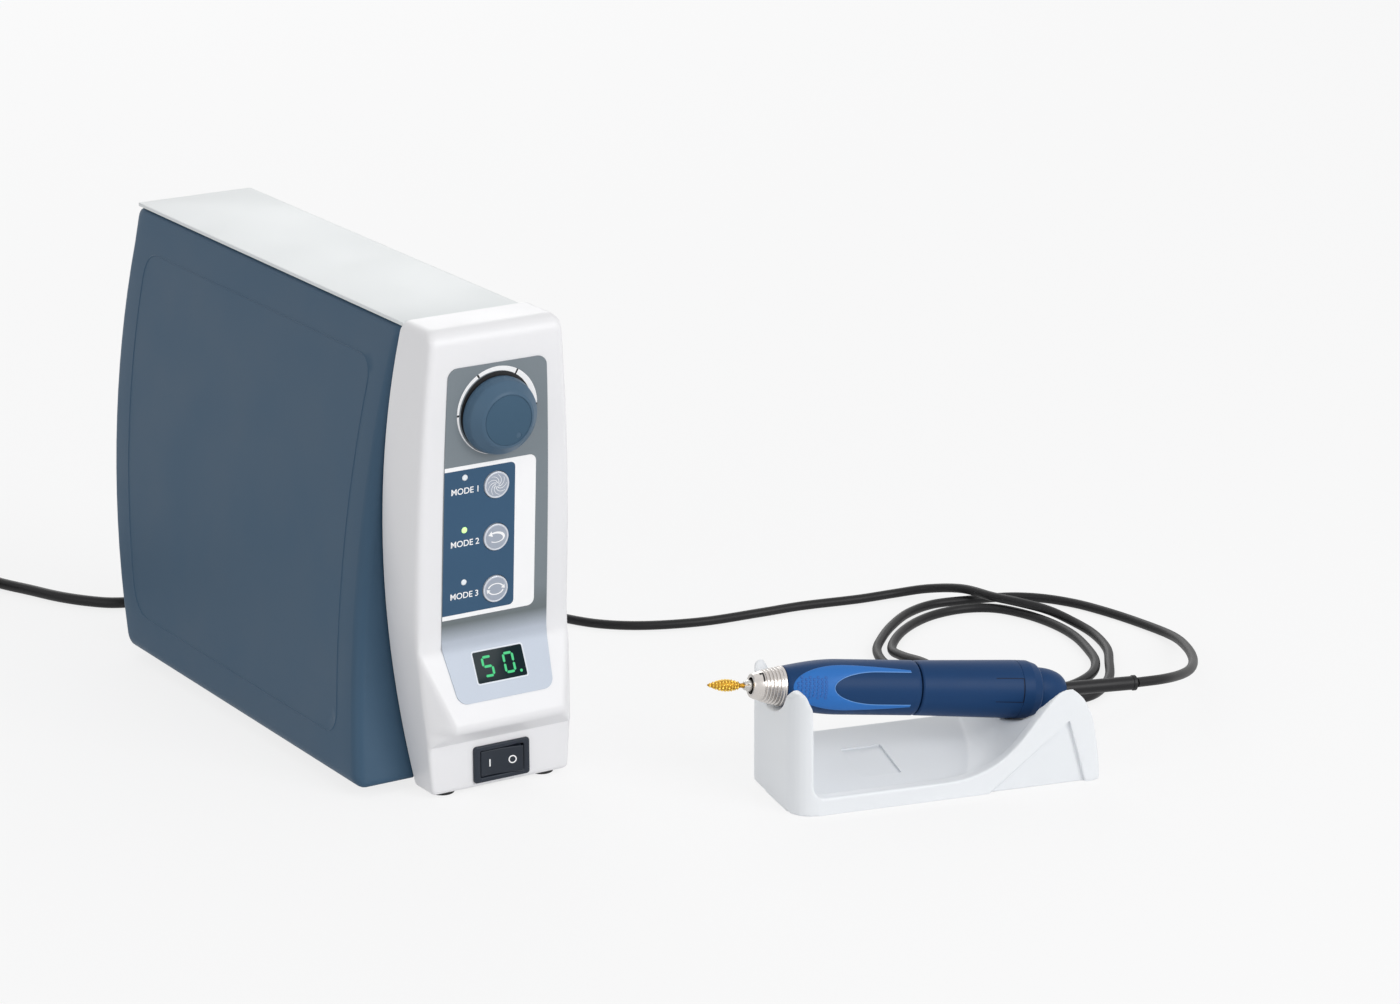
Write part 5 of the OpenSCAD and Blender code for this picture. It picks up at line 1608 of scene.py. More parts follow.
@dataclass
class PushButtons(Assembly):
    """Three round buttons with their signs, their numerals and their lamps."""

    low: float = -3.3
    high: float = 1.5
    flange_t: float = 1.2
    flange: float = 1.2
    rim: float = 0.75
    dish: float = 0.16
    sign_t: float = 0.05
    film_t: float = 0.6
    letter_h: float = 4.4

    def build(self) -> None:
        """Builds the buttons from the lowest to the highest."""
        signs = (self._cycle_sign, self._return_sign, self._swirl_sign)
        for i, (name, z) in enumerate(zip(("low", "mid", "top"), ControlRow.heights())):
            self._button(f"button_{name}", self.places.panel(z), signs[i]())
            self._numeral(f"numeral_{name}", z, str(3 - i))
            self._lamp(f"lamp_{name}", z, lit=name == "mid")

    def _button(self, body: str, place: Matrix, sign: Skin) -> None:
        """Builds one button.

        Args:
            body: name of its body and of its CAD node.
            place: its local frame.
            sign: its white sign.
        """
        r = ControlRow.radius
        inner = r - self.rim
        cap = rounded([
            (0, self.low - self.flange_t, 0), (r + self.flange, self.low - self.flange_t, 0.2),
            (r + self.flange, self.low, 0.2), (r, self.low, 0), (r, self.high, 0.5),
            (inner, self.high, 0.12), (inner - 0.12, self.high - self.dish, 0),
            (0, self.high - self.dish, 0),
        ], 4, closed=False)
        self.make(body + "_cap", turned(cap, 80), place,
                  Finishes.BUTTON_RIM, body, "button_grey", [body], smooth=30)
        level = self.high - self.dish
        self.make(body + "_disc", plate(circle(inner - 0.2, 80), level - 0.1, level + 0.03), place,
                  Finishes.BUTTON, body, "button_grey", smooth=30)
        raised = Matrix.Translation((0, 0, level + 0.02))
        self.make(body + "_sign", sign, place @ raised, Finishes.PRINT_WHITE, body, "button_grey")

    def _swirl_sign(self) -> Skin:
        """Thin curved blades that run out from the middle."""
        skin = Skin()
        for k in range(9):
            edges: list[list[Point2]] = [[], []]
            for share in spread(0, 1, 12):
                r = 0.9 + 4.4 * share
                for edge, side in zip(edges, (-1, 1)):
                    a = math.radians(40 * k + 85 * share) + side * 0.17 / r
                    edge.append((r * math.cos(a), r * math.sin(a)))
            skin.add(plate(edges[0] + edges[1][::-1], 0, self.sign_t))
        return skin

    def _return_sign(self) -> Skin:
        """A bold arrow that turns back in a flat loop."""
        skin = Skin()
        flat = Matrix.Diagonal((1.0, 0.6, 1.0, 1.0))
        loop = band(4.7, lambda a: 0.7 + 1.1 * max(0.0, math.sin(math.radians(a + 30))), 125, -130, 50)
        skin.add(plate(loop[::-1], 0, self.sign_t), flat)
        skin.add(plate(arrow((-2.4, 1.9), 195, 1.5), 0, self.sign_t))
        return skin

    def _cycle_sign(self) -> Skin:
        """Two arrows that follow each other round a flat ring."""
        skin = Skin()
        flat = Matrix.Diagonal((1.0, 0.66, 1.0, 1.0))
        for start in (165, -15):
            skin.add(plate(band(4.6, lambda a: 0.8, start, start - 140, 30)[::-1], 0, self.sign_t), flat)
            a = math.radians(start - 142)
            skin.add(plate(arrow((4.2 * math.cos(a), 2.8 * math.sin(a)), start - 215, 1.2), 0, self.sign_t))
        return skin

    def _numeral(self, name: str, z: float, text: str) -> None:
        """Prints a plain mode number under the lamp.

        Args:
            name: name of the piece.
            z: height of the button.
            text: the numeral.
        """
        skin = Lettering.skin(f"MODE {text}", self.letter_h, 0.3 - ControlRow.lamp_x, -0.6,
                              self.film_t - self.sign_t, self.film_t + self.sign_t)
        self.make(name, skin, self.places.panel(z), Finishes.PRINT_WHITE, "root", "panel_film")

    def _lamp(self, name: str, z: float, lit: bool) -> None:
        """Builds an indicator's domed lens.

        Args:
            name: name of the piece.
            z: height of its button.
            lit: whether it glows.
        """
        r = ControlRow.lamp_r - 0.06
        dome = [(0, -3.0), (r, -3.0), (r, 0.5), (0.9 * r, 0.72), (0.6 * r, 0.86), (0.3 * r, 0.9), (0, 0.9)]
        place = self.places.panel(z) @ Matrix.Translation((-ControlRow.lamp_x, ControlRow.lamp_up, 0))
        finish = Finishes.LAMP_ON if lit else Finishes.LAMP_OFF
        replaces = ["indicator_lenses"] if lit else []
        self.make(name, turned(dome, 40), place, finish, "root", "lens", replaces, smooth=50)


@dataclass
class Display(Assembly):
    """Speed display: a dark window with two digits and a point."""

    down: float = 12.5
    width: float = 27.5
    height: float = 15.5
    corner: float = 0.9
    top: float = 0.5
    deep: float = 3.0
    digit_w: float = 6.2
    digit_h: float = 10.6
    bar: float = 1.25
    rim: float = 1.5
    SEGMENTS = {"5": "afgcd", "0": "abcdef"}

    def build(self) -> None:
        """Builds the window, a pale frame round it as painted highlight on the film's edge, and the lit
        digits.
        """
        place = self.places.chin(self.down)
        outline = rounded_box(self.width, self.height, self.corner)
        self.make("display_glass", plate(outline, self.top - self.deep, self.top, 0.15), place,
                  Finishes.GLASS, "root", "display_glass", ["display_window"], smooth=40)
        # A pale frame round the window: painted highlight on the film's edge.
        rim = rounded_box(self.width + self.rim, self.height + self.rim, 1.4)
        edge = framed(rim, outline, self.top - 0.05, self.top + 0.05, 0.03)
        self.make("display_edge", edge, place, Finishes.DISPLAY_RIM_HIGHLIGHT, "root", "panel_film")
        digits = Skin()
        for text, x in (("5", -6.6), ("0", 5.2)):
            for segment in self.SEGMENTS[text]:
                digits.add(plate(self._segment(segment, x), self.top - 0.05, self.top + 0.04))
        digits.add(plate(circle(0.75, 24, 10.9, -self.digit_h / 2 + 0.2), self.top - 0.05, self.top + 0.04))
        self.make("display_digits", digits, place, Finishes.DIGIT, "root", "display_glass")

    def _segment(self, name: str, x: float) -> list[Point2]:
        """Outline of one bar of a digit.

        Args:
            name: letter of the bar, from the top clockwise, with g in the middle.
            x: middle of the digit.

        Returns:
            Six points with pointed ends.
        """
        w, h = self.digit_w / 2 - self.bar / 2, self.digit_h / 2 - self.bar / 2
        corners = {
            "a": ((-w, h), (w, h)), "b": ((w, 0), (w, h)), "c": ((w, -h), (w, 0)), "d": ((-w, -h), (w, -h)),
            "e": ((-w, -h), (-w, 0)), "f": ((-w, 0), (-w, h)), "g": ((-w, 0), (w, 0)),
        }
        start, stop = (Vector(p) for p in corners[name])
        way = (stop - start).normalized()
        side = Vector((-way.y, way.x)) * self.bar / 2
        start, stop = start + way * 0.28, stop - way * 0.28
        inset = way * self.bar * 0.42
        ring = [start, start + inset - side, stop - inset - side,
                stop, stop - inset + side, start + inset + side]
        return [(p.x + x, p.y) for p in ring]


@dataclass
class PowerSwitch(Assembly):
    """Rocker switch with its frame and its two marks."""

    z: float = 14.0
    width: float = 31.2
    height: float = 18.8
    frame_t: float = 1.6
    pocket_w: float = 24.2
    pocket_h: float = 13.8
    body_deep: float = 14.0
    pocket_deep: float = 8.0
    pivot_down: float = 3.0
    tilt: float = 6.0

    def build(self) -> None:
        """Builds the frame, the rocker and the marks."""
        place = self.places.box(self.z)
        pocket = rounded_box(self.pocket_w, self.pocket_h, 0.5)
        body = rounded_box(self.width - 3.2, self.height - 3.2, 0.6)
        skin = framed(rounded_box(self.width, self.height, 1.6), pocket, 0, self.frame_t, 0.6)
        skin.add(framed(body, pocket, -self.body_deep, 0.2, 0.05))
        skin.add(plate(body, -self.body_deep, -self.pocket_deep))
        self.make("switch_surround", skin, place,
                  Finishes.SWITCH_FRAME, "root", "dark_switch", ["switch_frame"], smooth=35)
        self._rocker(place @ Matrix.Translation((0, 0, -self.pivot_down))
                     @ Matrix.Rotation(math.radians(-self.tilt), 4, "Y"))

    @property
    def half(self) -> float:
        """Half the rocker's length."""
        return self.pocket_w / 2 - 0.7

    def _crown(self, x: float) -> float:
        """Height of the rocker's hollow face at a place."""
        return 4.4 + 1.2 * (x / self.half) ** 2

    def _rocker(self, place: Matrix) -> None:
        """Builds the rocker and its marks.

        Args:
            place: frame on the rocker's pivot.
        """
        half, tall = self.half, self.pocket_h / 2 - 0.3
        face = [(x, self._crown(x)) for x in spread(half, -half, 20)]
        section = [*face, (0.8 - half, 0), (4 - half, -3.4), (half - 4, -3.4), (half - 0.8, 0)]
        lying = place @ Matrix.Rotation(math.pi / 2, 4, "X")
        obj = softened(shaped("switch_paddle", plate(section, -tall, tall), lying), 0.45, 45, 3)
        self.bench.hand_over(shaded(obj, 35), Finishes.SWITCH, "rocker", "dark_switch", ["switch_rocker"])
        marks = plate([(-6.6, -1.9), (-5.9, -1.9), (-5.9, 1.9), (-6.6, 1.9)], -0.02, 0.05)
        marks.add(framed(circle(2.1, 48, 5.9), circle(1.5, 48, 5.9), -0.02, 0.05, 0.01))
        for point in marks.points:
            point.z += self._crown(point.x)
        self.make("switch_marks", marks, place, Finishes.PRINT_WHITE, "rocker", "dark_switch")


@dataclass
class RearFittings(Assembly):
    """Rear panel, motor socket and plug, fuse holder, cord gland, feet and cover screws."""

    panel_x: tuple[float, float] = (-8.0, 33.2)
    panel_in: float = 3.0
    panel_t: float = 2.0
    socket: Triple = (10.0, 60.0, 9.0)
    fuse: tuple[float, float] = (8.0, 30.0)
    gland: tuple[float, float] = (24.0, 30.0)
    cover_x: float = 35.5
    screw_y: tuple[float, float] = (70.0, 240.0)
    screw_z: float = 20.0
    plug_l: float = 30.0
    plug_ribs: int = 18
    gland_l: float = 30.0
    gland_ribs: int = 8
    cord_r: float = 2.5

    def out(self, z: float) -> float:
        """Depth of the panel's outer face at a height."""
        return FORM.back(z) - self.panel_in

    def _size(self, node: str) -> tuple[Vector, Vector]:
        """Corners of a CAD node in the unit's millimetres."""
        inverse = self.places.unit.inverted()
        low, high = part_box(node)
        return inverse @ Vector(low), inverse @ Vector(high)

    def build(self) -> None:
        """Builds every fitting."""
        self._panel()
        self._socket_and_plug()
        self._fuse()
        self._gland()
        self._feet()
        self._screws()

    def _panel(self) -> None:
        """The curved sheet with its holes."""
        low, high = self._size("rear_panel")
        skin = Skin()
        rows = [skin.loop((x, self.out(z), z) for x in spread(*self.panel_x, 4))
                for z in spread(low.z, high.z, 40)]
        skin.stack(rows[::-1], closed=False)
        obj = walled(shaped("rear_sheet", skin, self.places.unit, turn_out=False), self.panel_t)
        cuts = Skin()
        for x, z, r in (self.socket, (*self.fuse, 6.1), (*self.gland, 6.1)):
            cuts.add(plate(circle(r, 48), -20, 20), self.places.behind(x, self.out(z), z))
        cut(obj, cuts, Matrix.Identity(4))
        softened(obj, 0.3, 50, 2)
        self.bench.hand_over(shaded(obj), Finishes.COVER, "root", "grey_cover", ["rear_panel"])

    def _socket_and_plug(self) -> None:
        """The motor socket with its nut, and the moulded plug in it."""
        _, high = self._size("motor_socket")
        x, z, r = self.socket
        place = self.places.behind(x, high.y, z)
        ring = rounded([(6.2, -22, 0), (r - 0.05, -22, 0), (r - 0.05, -3, 0), (r + 2, -3, 0.2),
                        (r + 2, 0, 0.8), (7.4, 0, 0.4), (7.0, -1.2, 0.2), (6.2, -1.2, 0)], 4)
        self.make("motor_socket_ring", turned(ring, 72), place,
                  Finishes.BRIGHT, "root", "bright_steel", ["motor_socket"], smooth=30)
        plug = rounded([(0, -9, 0), (6, -9, 0.6), (6, 0, 0), (7.5, 0.2, 0.3), (7.5, 14, 1.2), (6, 14.6, 0.4),
                        (self.cord_r + 1.2, self.plug_l, 0.4), (0, self.plug_l, 0)], 4, closed=False)
        skin = turned(plug, 64)
        rib = plate(rounded_box(1.0, 9.0, 0.45), 7.2, 7.75, 0.2)
        upright = (Matrix.Translation((0, 0, 6.8)) @ Matrix.Rotation(math.pi / 2, 4, "X")
                   @ Matrix.Translation((0, 0, -0.3)))
        for k in range(self.plug_ribs):
            skin.add(rib, Matrix.Rotation(2 * math.pi * k / self.plug_ribs, 4, "Z") @ upright)
        self.make("motor_plug_body", skin, place,
                  Finishes.BLACK, "root", "black_plastic", ["motor_plug"], smooth=30)

    def _fuse(self) -> None:
        """The fuse holder's cap with a slot."""
        low, high = self._size("fuse_holder")
        place = self.places.behind(*self._at(self.fuse, high.y))
        r = (high.x - low.x) / 2
        cap = rounded([(0, -32, 0), (r - 1.5, -32, 0.4), (r - 1.5, -6, 0), (r, -6, 0.2), (r, 0, 0.9),
                       (0, 0, 0)], 4, closed=False)
        obj = shaped("fuse_cap", turned(cap, 64), place)
        cut(obj, plate(rounded_box(1.4, 9.0, 0.4), -1.4, 1.0), place)
        self.bench.hand_over(shaded(obj, 30), Finishes.BLACK, "root", "black_plastic", ["fuse_holder"])

    @staticmethod
    def _at(spot: Point2, y: float) -> Triple:
        """Place of a fitting from its spot on the panel and a depth."""
        return spot[0], y, spot[1]

    def _gland(self) -> None:
        """The mains cord's ribbed strain relief."""
        low, high = self._size("cord_gland")
        length = self.gland_l
        place = self.places.behind(*self._at(self.gland, high.y - length))
        r = (high.x - low.x) / 2
        profile = [(0, -12), (r - 1, -12), (r - 1, 0), (r, 0), (r, 3)]
        for k in range(self.gland_ribs):
            z = 4 + 3 * k
            rib = r - (r - 4.2) * z / length
            profile += [(rib - 0.9, z), (rib - 0.9, z + 1.2), (rib - 0.05, z + 1.4), (rib - 0.1, z + 2.8)]
        profile += [(3.7, length - 1), (3.7, length), (0, length)]
        obj = softened(shaped("gland_sleeve", turned(profile, 56), place), 0.2, 50, 2)
        self.bench.hand_over(shaded(obj, 30), Finishes.BLACK, "root", "black_plastic", ["cord_gland"])

    def _feet(self) -> None:
        """Four rubber feet with a rounded lower edge."""
        low, high = self._size("rubber_feet")
        skin = Skin()
        front, back = low.y + 6, high.y - 6
        for x, y, top in ((-28, front, 2.0), (28, front, 2.0), (2, back, 5.0), (26, back, 5.0)):
            foot = rounded([(0, 0, 0), (5.95, 0, 0.7), (5.95, top, 0.1), (0, top, 0)], 4, closed=False)
            skin.add(turned(foot, 48), Matrix.Translation((x, y, 0)))
        self.make("foot_pads", skin, self.places.unit,
                  Finishes.RUBBER, "root", "rubber_foot", ["rubber_feet"], smooth=30)

    def _screws(self) -> None:
        """Cross-head screws on the cover's side, repeated by a node tree."""
        unit = self.places.unit
        head = [(0, 0), (3, 0), (3, 0.7), (2.6, 1.2), (1.6, 1.5), (0, 1.6)]
        shape = shaped("screw_head", turned(head, 40), Matrix.Scale(MM, 4))
        for slot in (rounded_box(0.7, 3.2, 0.2), rounded_box(3.2, 0.7, 0.2)):
            cut(shape, plate(slot, 0.6, 3.0), Matrix.Scale(MM, 4))
        points = [unit @ Vector((self.cover_x, y, self.screw_z)) for y in self.screw_y]
        turn = (0.0, math.pi / 2, 0.0)
        obj = Spread("screws", shape, points, [turn] * 2, Finishes.BRIGHT).build("cover_screw_heads")
        self.bench.hand_over(shaded(obj, 30), Finishes.BRIGHT, "root", "bright_steel", ["cover_screws"])


@dataclass
class Spread:
    """Geometry-node tree that sets one shape on many points, each with its own turn.

    Attributes:
        name: name of the tree.
        shape: object of the shape, in metres; it is removed when the copies are made.
        points: places of the copies, in metres.
        turns: Euler turn of each copy.
        finish: finish of the copies.
        scale: size of the copies against the shape.
    """

    name: str
    shape: bpy.types.Object
    points: list[Vector]
    turns: list[Triple]
    finish: Finish
    scale: float = 1.0

    def build(self, name: str) -> bpy.types.Object:
        """Makes the copies as one plain mesh.

        Args:
            name: name of the object.

        Returns:
            The object, without modifiers.
        """
        mesh = bpy.data.meshes.new(name)
        mesh.from_pydata([tuple(p) for p in self.points], [], [])
        turn = mesh.attributes.new("turn", "FLOAT_VECTOR", "POINT")
        turn.data.foreach_set("vector", [a for angles in self.turns for a in angles])
        obj = add_object(name, mesh)
        modifier = obj.modifiers.new(self.name, "NODES")
        tree = self._tree()
        sockets = {s.name: s.identifier for s in tree.interface.items_tree if s.in_out == "INPUT"}
        modifier.node_group = tree
        modifier[sockets["Shape"]] = self.shape
        modifier[sockets["Size"]] = self.scale
        modifier[sockets["Material"]] = self.finish.material()
        settle(obj)
        drop(self.shape)
        return obj

    def _tree(self) -> bpy.types.GeometryNodeTree:
        """The tree: instances on points, realised, with their material."""
        solid = "NodeSocketGeometry"
        tree = node_group(self.name, "GeometryNodeTree", {
            "Geometry": solid, "Shape": "NodeSocketObject", "Size": "NodeSocketFloat",
            "Material": "NodeSocketMaterial"}, {"Geometry": solid})
        source, result = ends(tree)
        kinds = ("ObjectInfo", "InputNamedAttribute", "InstanceOnPoints", "RealizeInstances", "SetMaterial")
        shape, turn, copies, real, dress = [tree.nodes.new("GeometryNode" + kind) for kind in kinds]
        turn.data_type = "FLOAT_VECTOR"
        turn.inputs["Name"].default_value = "turn"
        wire(tree, (source, "Shape", shape, "Object"), (source, "Geometry", copies, "Points"),
             (shape, "Geometry", copies, "Instance"), (turn, "Attribute", copies, "Rotation"),
             (source, "Size", copies, "Scale"), (copies, "Instances", real, "Geometry"),
             (real, "Geometry", dress, "Geometry"), (source, "Material", dress, "Material"),
             (dress, "Geometry", result, "Geometry"))
        return tree


# Handpiece and stand


@dataclass
class Handpiece(Assembly):
    """Handpiece shells: nose cone, grip with its insert, housing, cap, cord sleeve, collet and bur."""

    cone_l: float = 16.2
    cone_tip_r: float = 6.4
    cone_r: float = 9.9
    grip_l: float = 69.4
    grip_r: float = 13.6
    flare: float = 0.42
    groove_w: float = 0.8
    housing_l: float = 60.0
    housing_r: float = 14.5
    tail_l: float = 5.0
    tail_r: float = 13.0
    cap_l: float = 16.5
    cap_r: float = 11.0
    sleeve_l: float = 40.0
    sleeve_in: float = 4.0
    sleeve_r: float = 3.5
    sleeve_tilt: float = 2.0
    tube_r: float = 7.45
    tube_wide_r: float = 10.05
    tube_step: float = 41.9
    stator_r: float = 11.6
    insert_w: float = 22.0
    insert_start: float = 2.3
    insert_nose: float = 27.0
    insert_stop: float = 5.2
    insert_taper: float = 2.0
    hollow_start: float = 20.5
    hollow_nose: float = 24.0
    insert_arm: float = 2.9
    insert_t: float = 1.0
    insert_proud: float = 0.25
    insert_round: float = 0.35
    insert_turn: float = 15.0
    shank_r: float = 1.175
    bur_r: float = 3.2
    bur_reach: float = 22.5
    bur_head: float = 17.0
    tooth: float = 0.55
    tooth_rows: int = 10
    tooth_first: float = 0.07
    tooth_step: float = 0.093
    tooth_pitch: float = 1.9
    ring_in: float = 6.1

    @property
    def grip_end(self) -> float:
        """End of the grip, from the nose."""
        return self.cone_l + self.grip_l

    @property
    def flare_end(self) -> float:
        """End of the stretch over which the grip widens."""
        return self.cone_l + self.flare * self.grip_l

    @property
    def housing_start(self) -> float:
        """Start of the rear housing."""
        return self.grip_end + self.groove_w

    @property
    def housing_end(self) -> float:
        """End of the straight housing."""
        return self.housing_start + self.housing_l

    @property
    def tail_end(self) -> float:
        """End of the tapered tail."""
        return self.housing_end + self.tail_l

    @property
    def cap_end(self) -> float:
        """End of the rear cap."""
        return self.tail_end + self.cap_l

    @property
    def _sleeve_place(self) -> Matrix:
        """The cord sleeve's axis, local Z to its free end."""
        turn = Matrix.Rotation(math.radians(self.sleeve_tilt - self.places.hand_tilt), 4, "Y")
        return self.places.hand @ Matrix.Translation((0, 0, self.cap_end - self.sleeve_in)) @ turn

    @property
    def cord_end(self) -> Vector:
        """Place in the unit's millimetres where the motor cord meets the sleeve."""
        tip = Vector((0, 0, self.sleeve_l + self.sleeve_in + 0.3))
        return self.places.unit.inverted() @ self._sleeve_place @ tip

    def grip_radius(self, s: float) -> float:
        """Radius of the grip at a distance from the nose."""
        share = min(1.0, (s - self.cone_l) / (self.flare_end - self.cone_l))
        return mix(self.cone_r, self.grip_r, math.sin(math.pi / 2 * share))

    def build(self) -> None:
        """Builds every visible piece of the handpiece."""
        hand = self.places.hand
        self._nose(hand)
        self._grip(hand)
        self._insert(hand)
        self._housing(hand)
        self._tail(hand)
        self._collet(hand)
        self._bur(hand)

    def _nose(self, hand: Matrix) -> None:
        """The nickel nose cone with its ring ridges, and a locating slot drawn as a dark patch of painted
        shade.
        """
        slope = (self.cone_r - self.cone_tip_r) / self.cone_l
        first, pitch = self.cone_l / 3, self.cone_l / 9.5
        tip, end = self.cone_tip_r, first + 5 * pitch
        profile: list[Triple] = [
            (4.2, 0.3, 0), (4.6, 0, 0.2), (tip - 0.7, 0, 0.8), (tip + 0.1, 1.6, 1.2),
            (tip + (first - 0.2) * slope, first - 0.2, 0.25)]
        for k in range(5):
            s, r = first + k * pitch, tip + (first + k * pitch + 0.8) * slope
            profile += [(r - 0.55, s, 0.08), (r - 0.55, s + 0.25 * pitch, 0.08),
                        (r + 0.2, s + 0.42 * pitch, 0.25), (r + 0.25, s + 0.92 * pitch, 0.25)]
        wide, back = self.cone_r, self.cone_l - 0.3
        profile += [(wide - 0.5, end, 0.08), (wide - 0.5, end + 0.3, 0.08), (wide, end + 0.6, 0.25),
                    (wide, back, 0.2), (self.tube_r, back, 0), (self.tube_r, 12, 0), (4.2, 12, 0)]
        self.make("nose_shell", turned(rounded(profile, 3), 96), hand,
                  Finishes.NICKEL, "handpiece", "nickel", ["nose_cone"], smooth=35)
        # The slot is not cut: a dark patch on the cone stands for the shade in it.
        slot = Skin()
        for start, stop, s0 in ((198, 236, first - 1.0), (192, 202, first - 2.2)):
            slot.add(self._strip(start, stop, s0, first - 0.25, lambda s: tip + s * slope, 0.03))
        self.make("nose_slot", slot, hand, Finishes.DARK_PRINT_AND_SHADE, "handpiece", "nickel")

    @staticmethod
    def _strip(start: float, stop: float, s0: float, s1: float, radius: Callable[[float], float],
               proud: float) -> Skin:
        """A thin patch on a turned surface.

        Args:
            start: first angle round the axis, in degrees.
            stop: last angle.
            s0: first distance from the nose.
            s1: last distance.
            radius: radius of the surface at a distance.
            proud: height of the patch over the surface.

        Returns:
            The closed skin.
        """
        skin = Skin()
        layers = []
        for lift in (-0.3, proud):
            rows = []
            for s in spread(s0, s1, 6):
                r = radius(s) + lift
                angles = [math.radians(a) for a in spread(start, stop, 14)]
                rows.append(skin.loop((r * math.cos(a), r * math.sin(a), s) for a in angles))
            layers.append(rows)
        for rows in layers:
            skin.stack(rows, closed=False)
        low, high = [
            [*rows[0], *[r[-1] for r in rows[1:-1]], *rows[-1][::-1], *[r[0] for r in rows[-2:0:-1]]]
            for rows in layers
        ]
        skin.bridge(low, high)
        return skin

    def _grip(self, hand: Matrix) -> None:
        """The navy grip sleeve."""
        start, end = self.cone_l, self.grip_end
        profile = [(self.tube_r, start), (self.cone_r - 0.5, start), (self.cone_r - 0.1, start + 0.3)]
        profile += [(self.grip_radius(s), s) for s in spread(start + 0.9, self.flare_end, 24)]
        profile += [(self.grip_r, s) for s in spread(self.flare_end, end - 1, 20)[1:]]
        profile += [(self.grip_r - 0.2, end - 0.4), (self.grip_r - 0.7, end), (self.tube_wide_r, end),
                    (self.tube_wide_r, self.tube_step), (self.tube_r, self.tube_step)]
        self.make("grip_shell", turned(profile, 128), hand,
                  Finishes.NAVY, "grip", "navy_coat", ["grip_sleeve"], smooth=40)

    def _insert_rim(self, out: float) -> tuple[list[Point2], list[Point2]]:
        """Outer and inner line of the horseshoe, unrolled: half an ellipse with two long arms each.

        Args:
            out: distance by which both lines are drawn into the horseshoe.

        Returns:
            Points (distance from the nose, height) of the outer line and of the inner line.
        """
        start, stop = self.cone_l + self.insert_start, self.grip_end - self.insert_stop - 0.6 * out
        half, hollow = self.insert_w / 2 - out, self.insert_w / 2 - self.insert_arm + out
        outer_s = start + self.insert_nose
        inner_s = start + self.hollow_start + self.hollow_nose
        outer, inner = [], []
        for u in spread(-1, 1, 96):
            side = 1 if u > 0 else -1
            a = max(-1.0, min(1.0, 2 * u)) * math.pi / 2
            v = max(0.0, 2 * abs(u) - 1)
            outer.append((outer_s - (self.insert_nose - out) * math.cos(a) + (stop - outer_s) * v,
                          half * math.sin(a) - side * self.insert_taper * v ** 1.5))
            inner.append((inner_s - (self.hollow_nose + out) * math.cos(a) + (stop - inner_s) * v,
                          hollow * math.sin(a)))
        return outer, inner

    def _on_grip(self, s: float, h: float, lift: float) -> Vector:
        """A point on the grip's surface.

        Args:
            s: distance from the nose.
            h: height over the middle line of the side that shows.
            lift: height over the surface.

        Returns:
            The point in the handpiece's frame.
        """
        r = self.grip_radius(s)
        a = math.asin(max(-0.98, min(0.98, h / r))) + math.radians(self.insert_turn)
        return Vector((-(r + lift) * math.sin(a), -(r + lift) * math.cos(a), s))

    def _insert(self, hand: Matrix) -> None:
        """The soft insert with rounded edges, its bright inner line and its rows of dimples."""
        skin = Skin()
        proud = self.insert_proud
        layers = ((0.0, -self.insert_t), (0.0, proud - 0.2), (0.12, proud - 0.06),
                  (self.insert_round, proud))
        outer_rings, inner_rings = [], []
        for out, lift in layers:
            outer, inner = self._insert_rim(out)
            outer_rings.append(skin.loop(self._on_grip(s, h, lift) for s, h in outer))
            inner_rings.append(skin.loop(self._on_grip(s, h, lift) for s, h in inner))
        outer, inner = self._insert_rim(self.insert_round)
        middle = [skin.loop(self._on_grip(*between(a, b, share), proud) for a, b in zip(outer, inner))
                  for share in spread(0, 1, 5)[1:-1]]
        rows = [*outer_rings, *middle, *inner_rings[::-1]]
        skin.stack(rows, closed=False)
        skin.bridge(inner_rings[0], outer_rings[0], closed=False)
        for end in (0, -1):
            skin.cap([row[end] for row in rows])
        self.make("grip_pad", skin, hand,
                  Finishes.GRIP, "grip", "grip_blue", ["grip_insert"], smooth=40)
        self._inner_line(hand)
        self._dimples(hand)

    def _inner_line(self, hand: Matrix) -> None:
        """The thin bright edge along the inside of the horseshoe."""
        _, inner = self._insert_rim(-0.25)
        _, edge = self._insert_rim(0.05)
        skin = Skin()
        rings = [skin.loop(self._on_grip(s, h, lift) for s, h in line)
                 for line, lift in ((inner, -0.2), (inner, 0.1), (edge, 0.16), (edge, -0.2))]
        skin.stack([*rings, rings[0]], closed=False)
        for end in (0, -1):
            skin.cap([ring[end] for ring in rings])
        self.make("grip_line", skin, hand, Finishes.GRIP_LINE, "grip", "grip_blue", smooth=40)

    def _dimples(self, hand: Matrix) -> None:
        """Rows of small dimples in the front of the insert, repeated by a node tree, in a darker blue as
        painted shade.
        """
        points, turns = [], []
        start = self.cone_l + self.insert_start
        for row in range(8):
            s = start + 2.6 + 1.95 * row
            ahead = (start + self.insert_nose - s) / self.insert_nose
            reach = self.insert_w / 2 * math.sqrt(1 - ahead ** 2)
            for k in range(-3, 4):
                h = 1.9 * k + (0.95 if row % 2 else 0)
                if abs(h) > min(5.2, reach - 1.3):
                    continue
                at, out = self._on_grip(s, h, self.insert_proud), self._on_grip(s, h, self.insert_proud + 1)
                points.append(hand @ at)
                turns.append(tuple((hand @ out - hand @ at).to_track_quat("Z", "Y").to_euler()))
        pit = [(0, -0.06), (0.3, -0.03), (0.52, 0.05), (0.68, 0.12), (0.86, 0.02), (0.86, -0.3), (0, -0.3)]
        shape = shaped("dimple", turned(pit, 20), Matrix.Scale(MM, 4))
        obj = Spread("dimples", shape, points, turns, Finishes.GRIP_DIMPLE_SHADE).build("grip_dimples")
        self.bench.hand_over(shaded(obj, 40), Finishes.GRIP_DIMPLE_SHADE, "grip", "grip_blue")

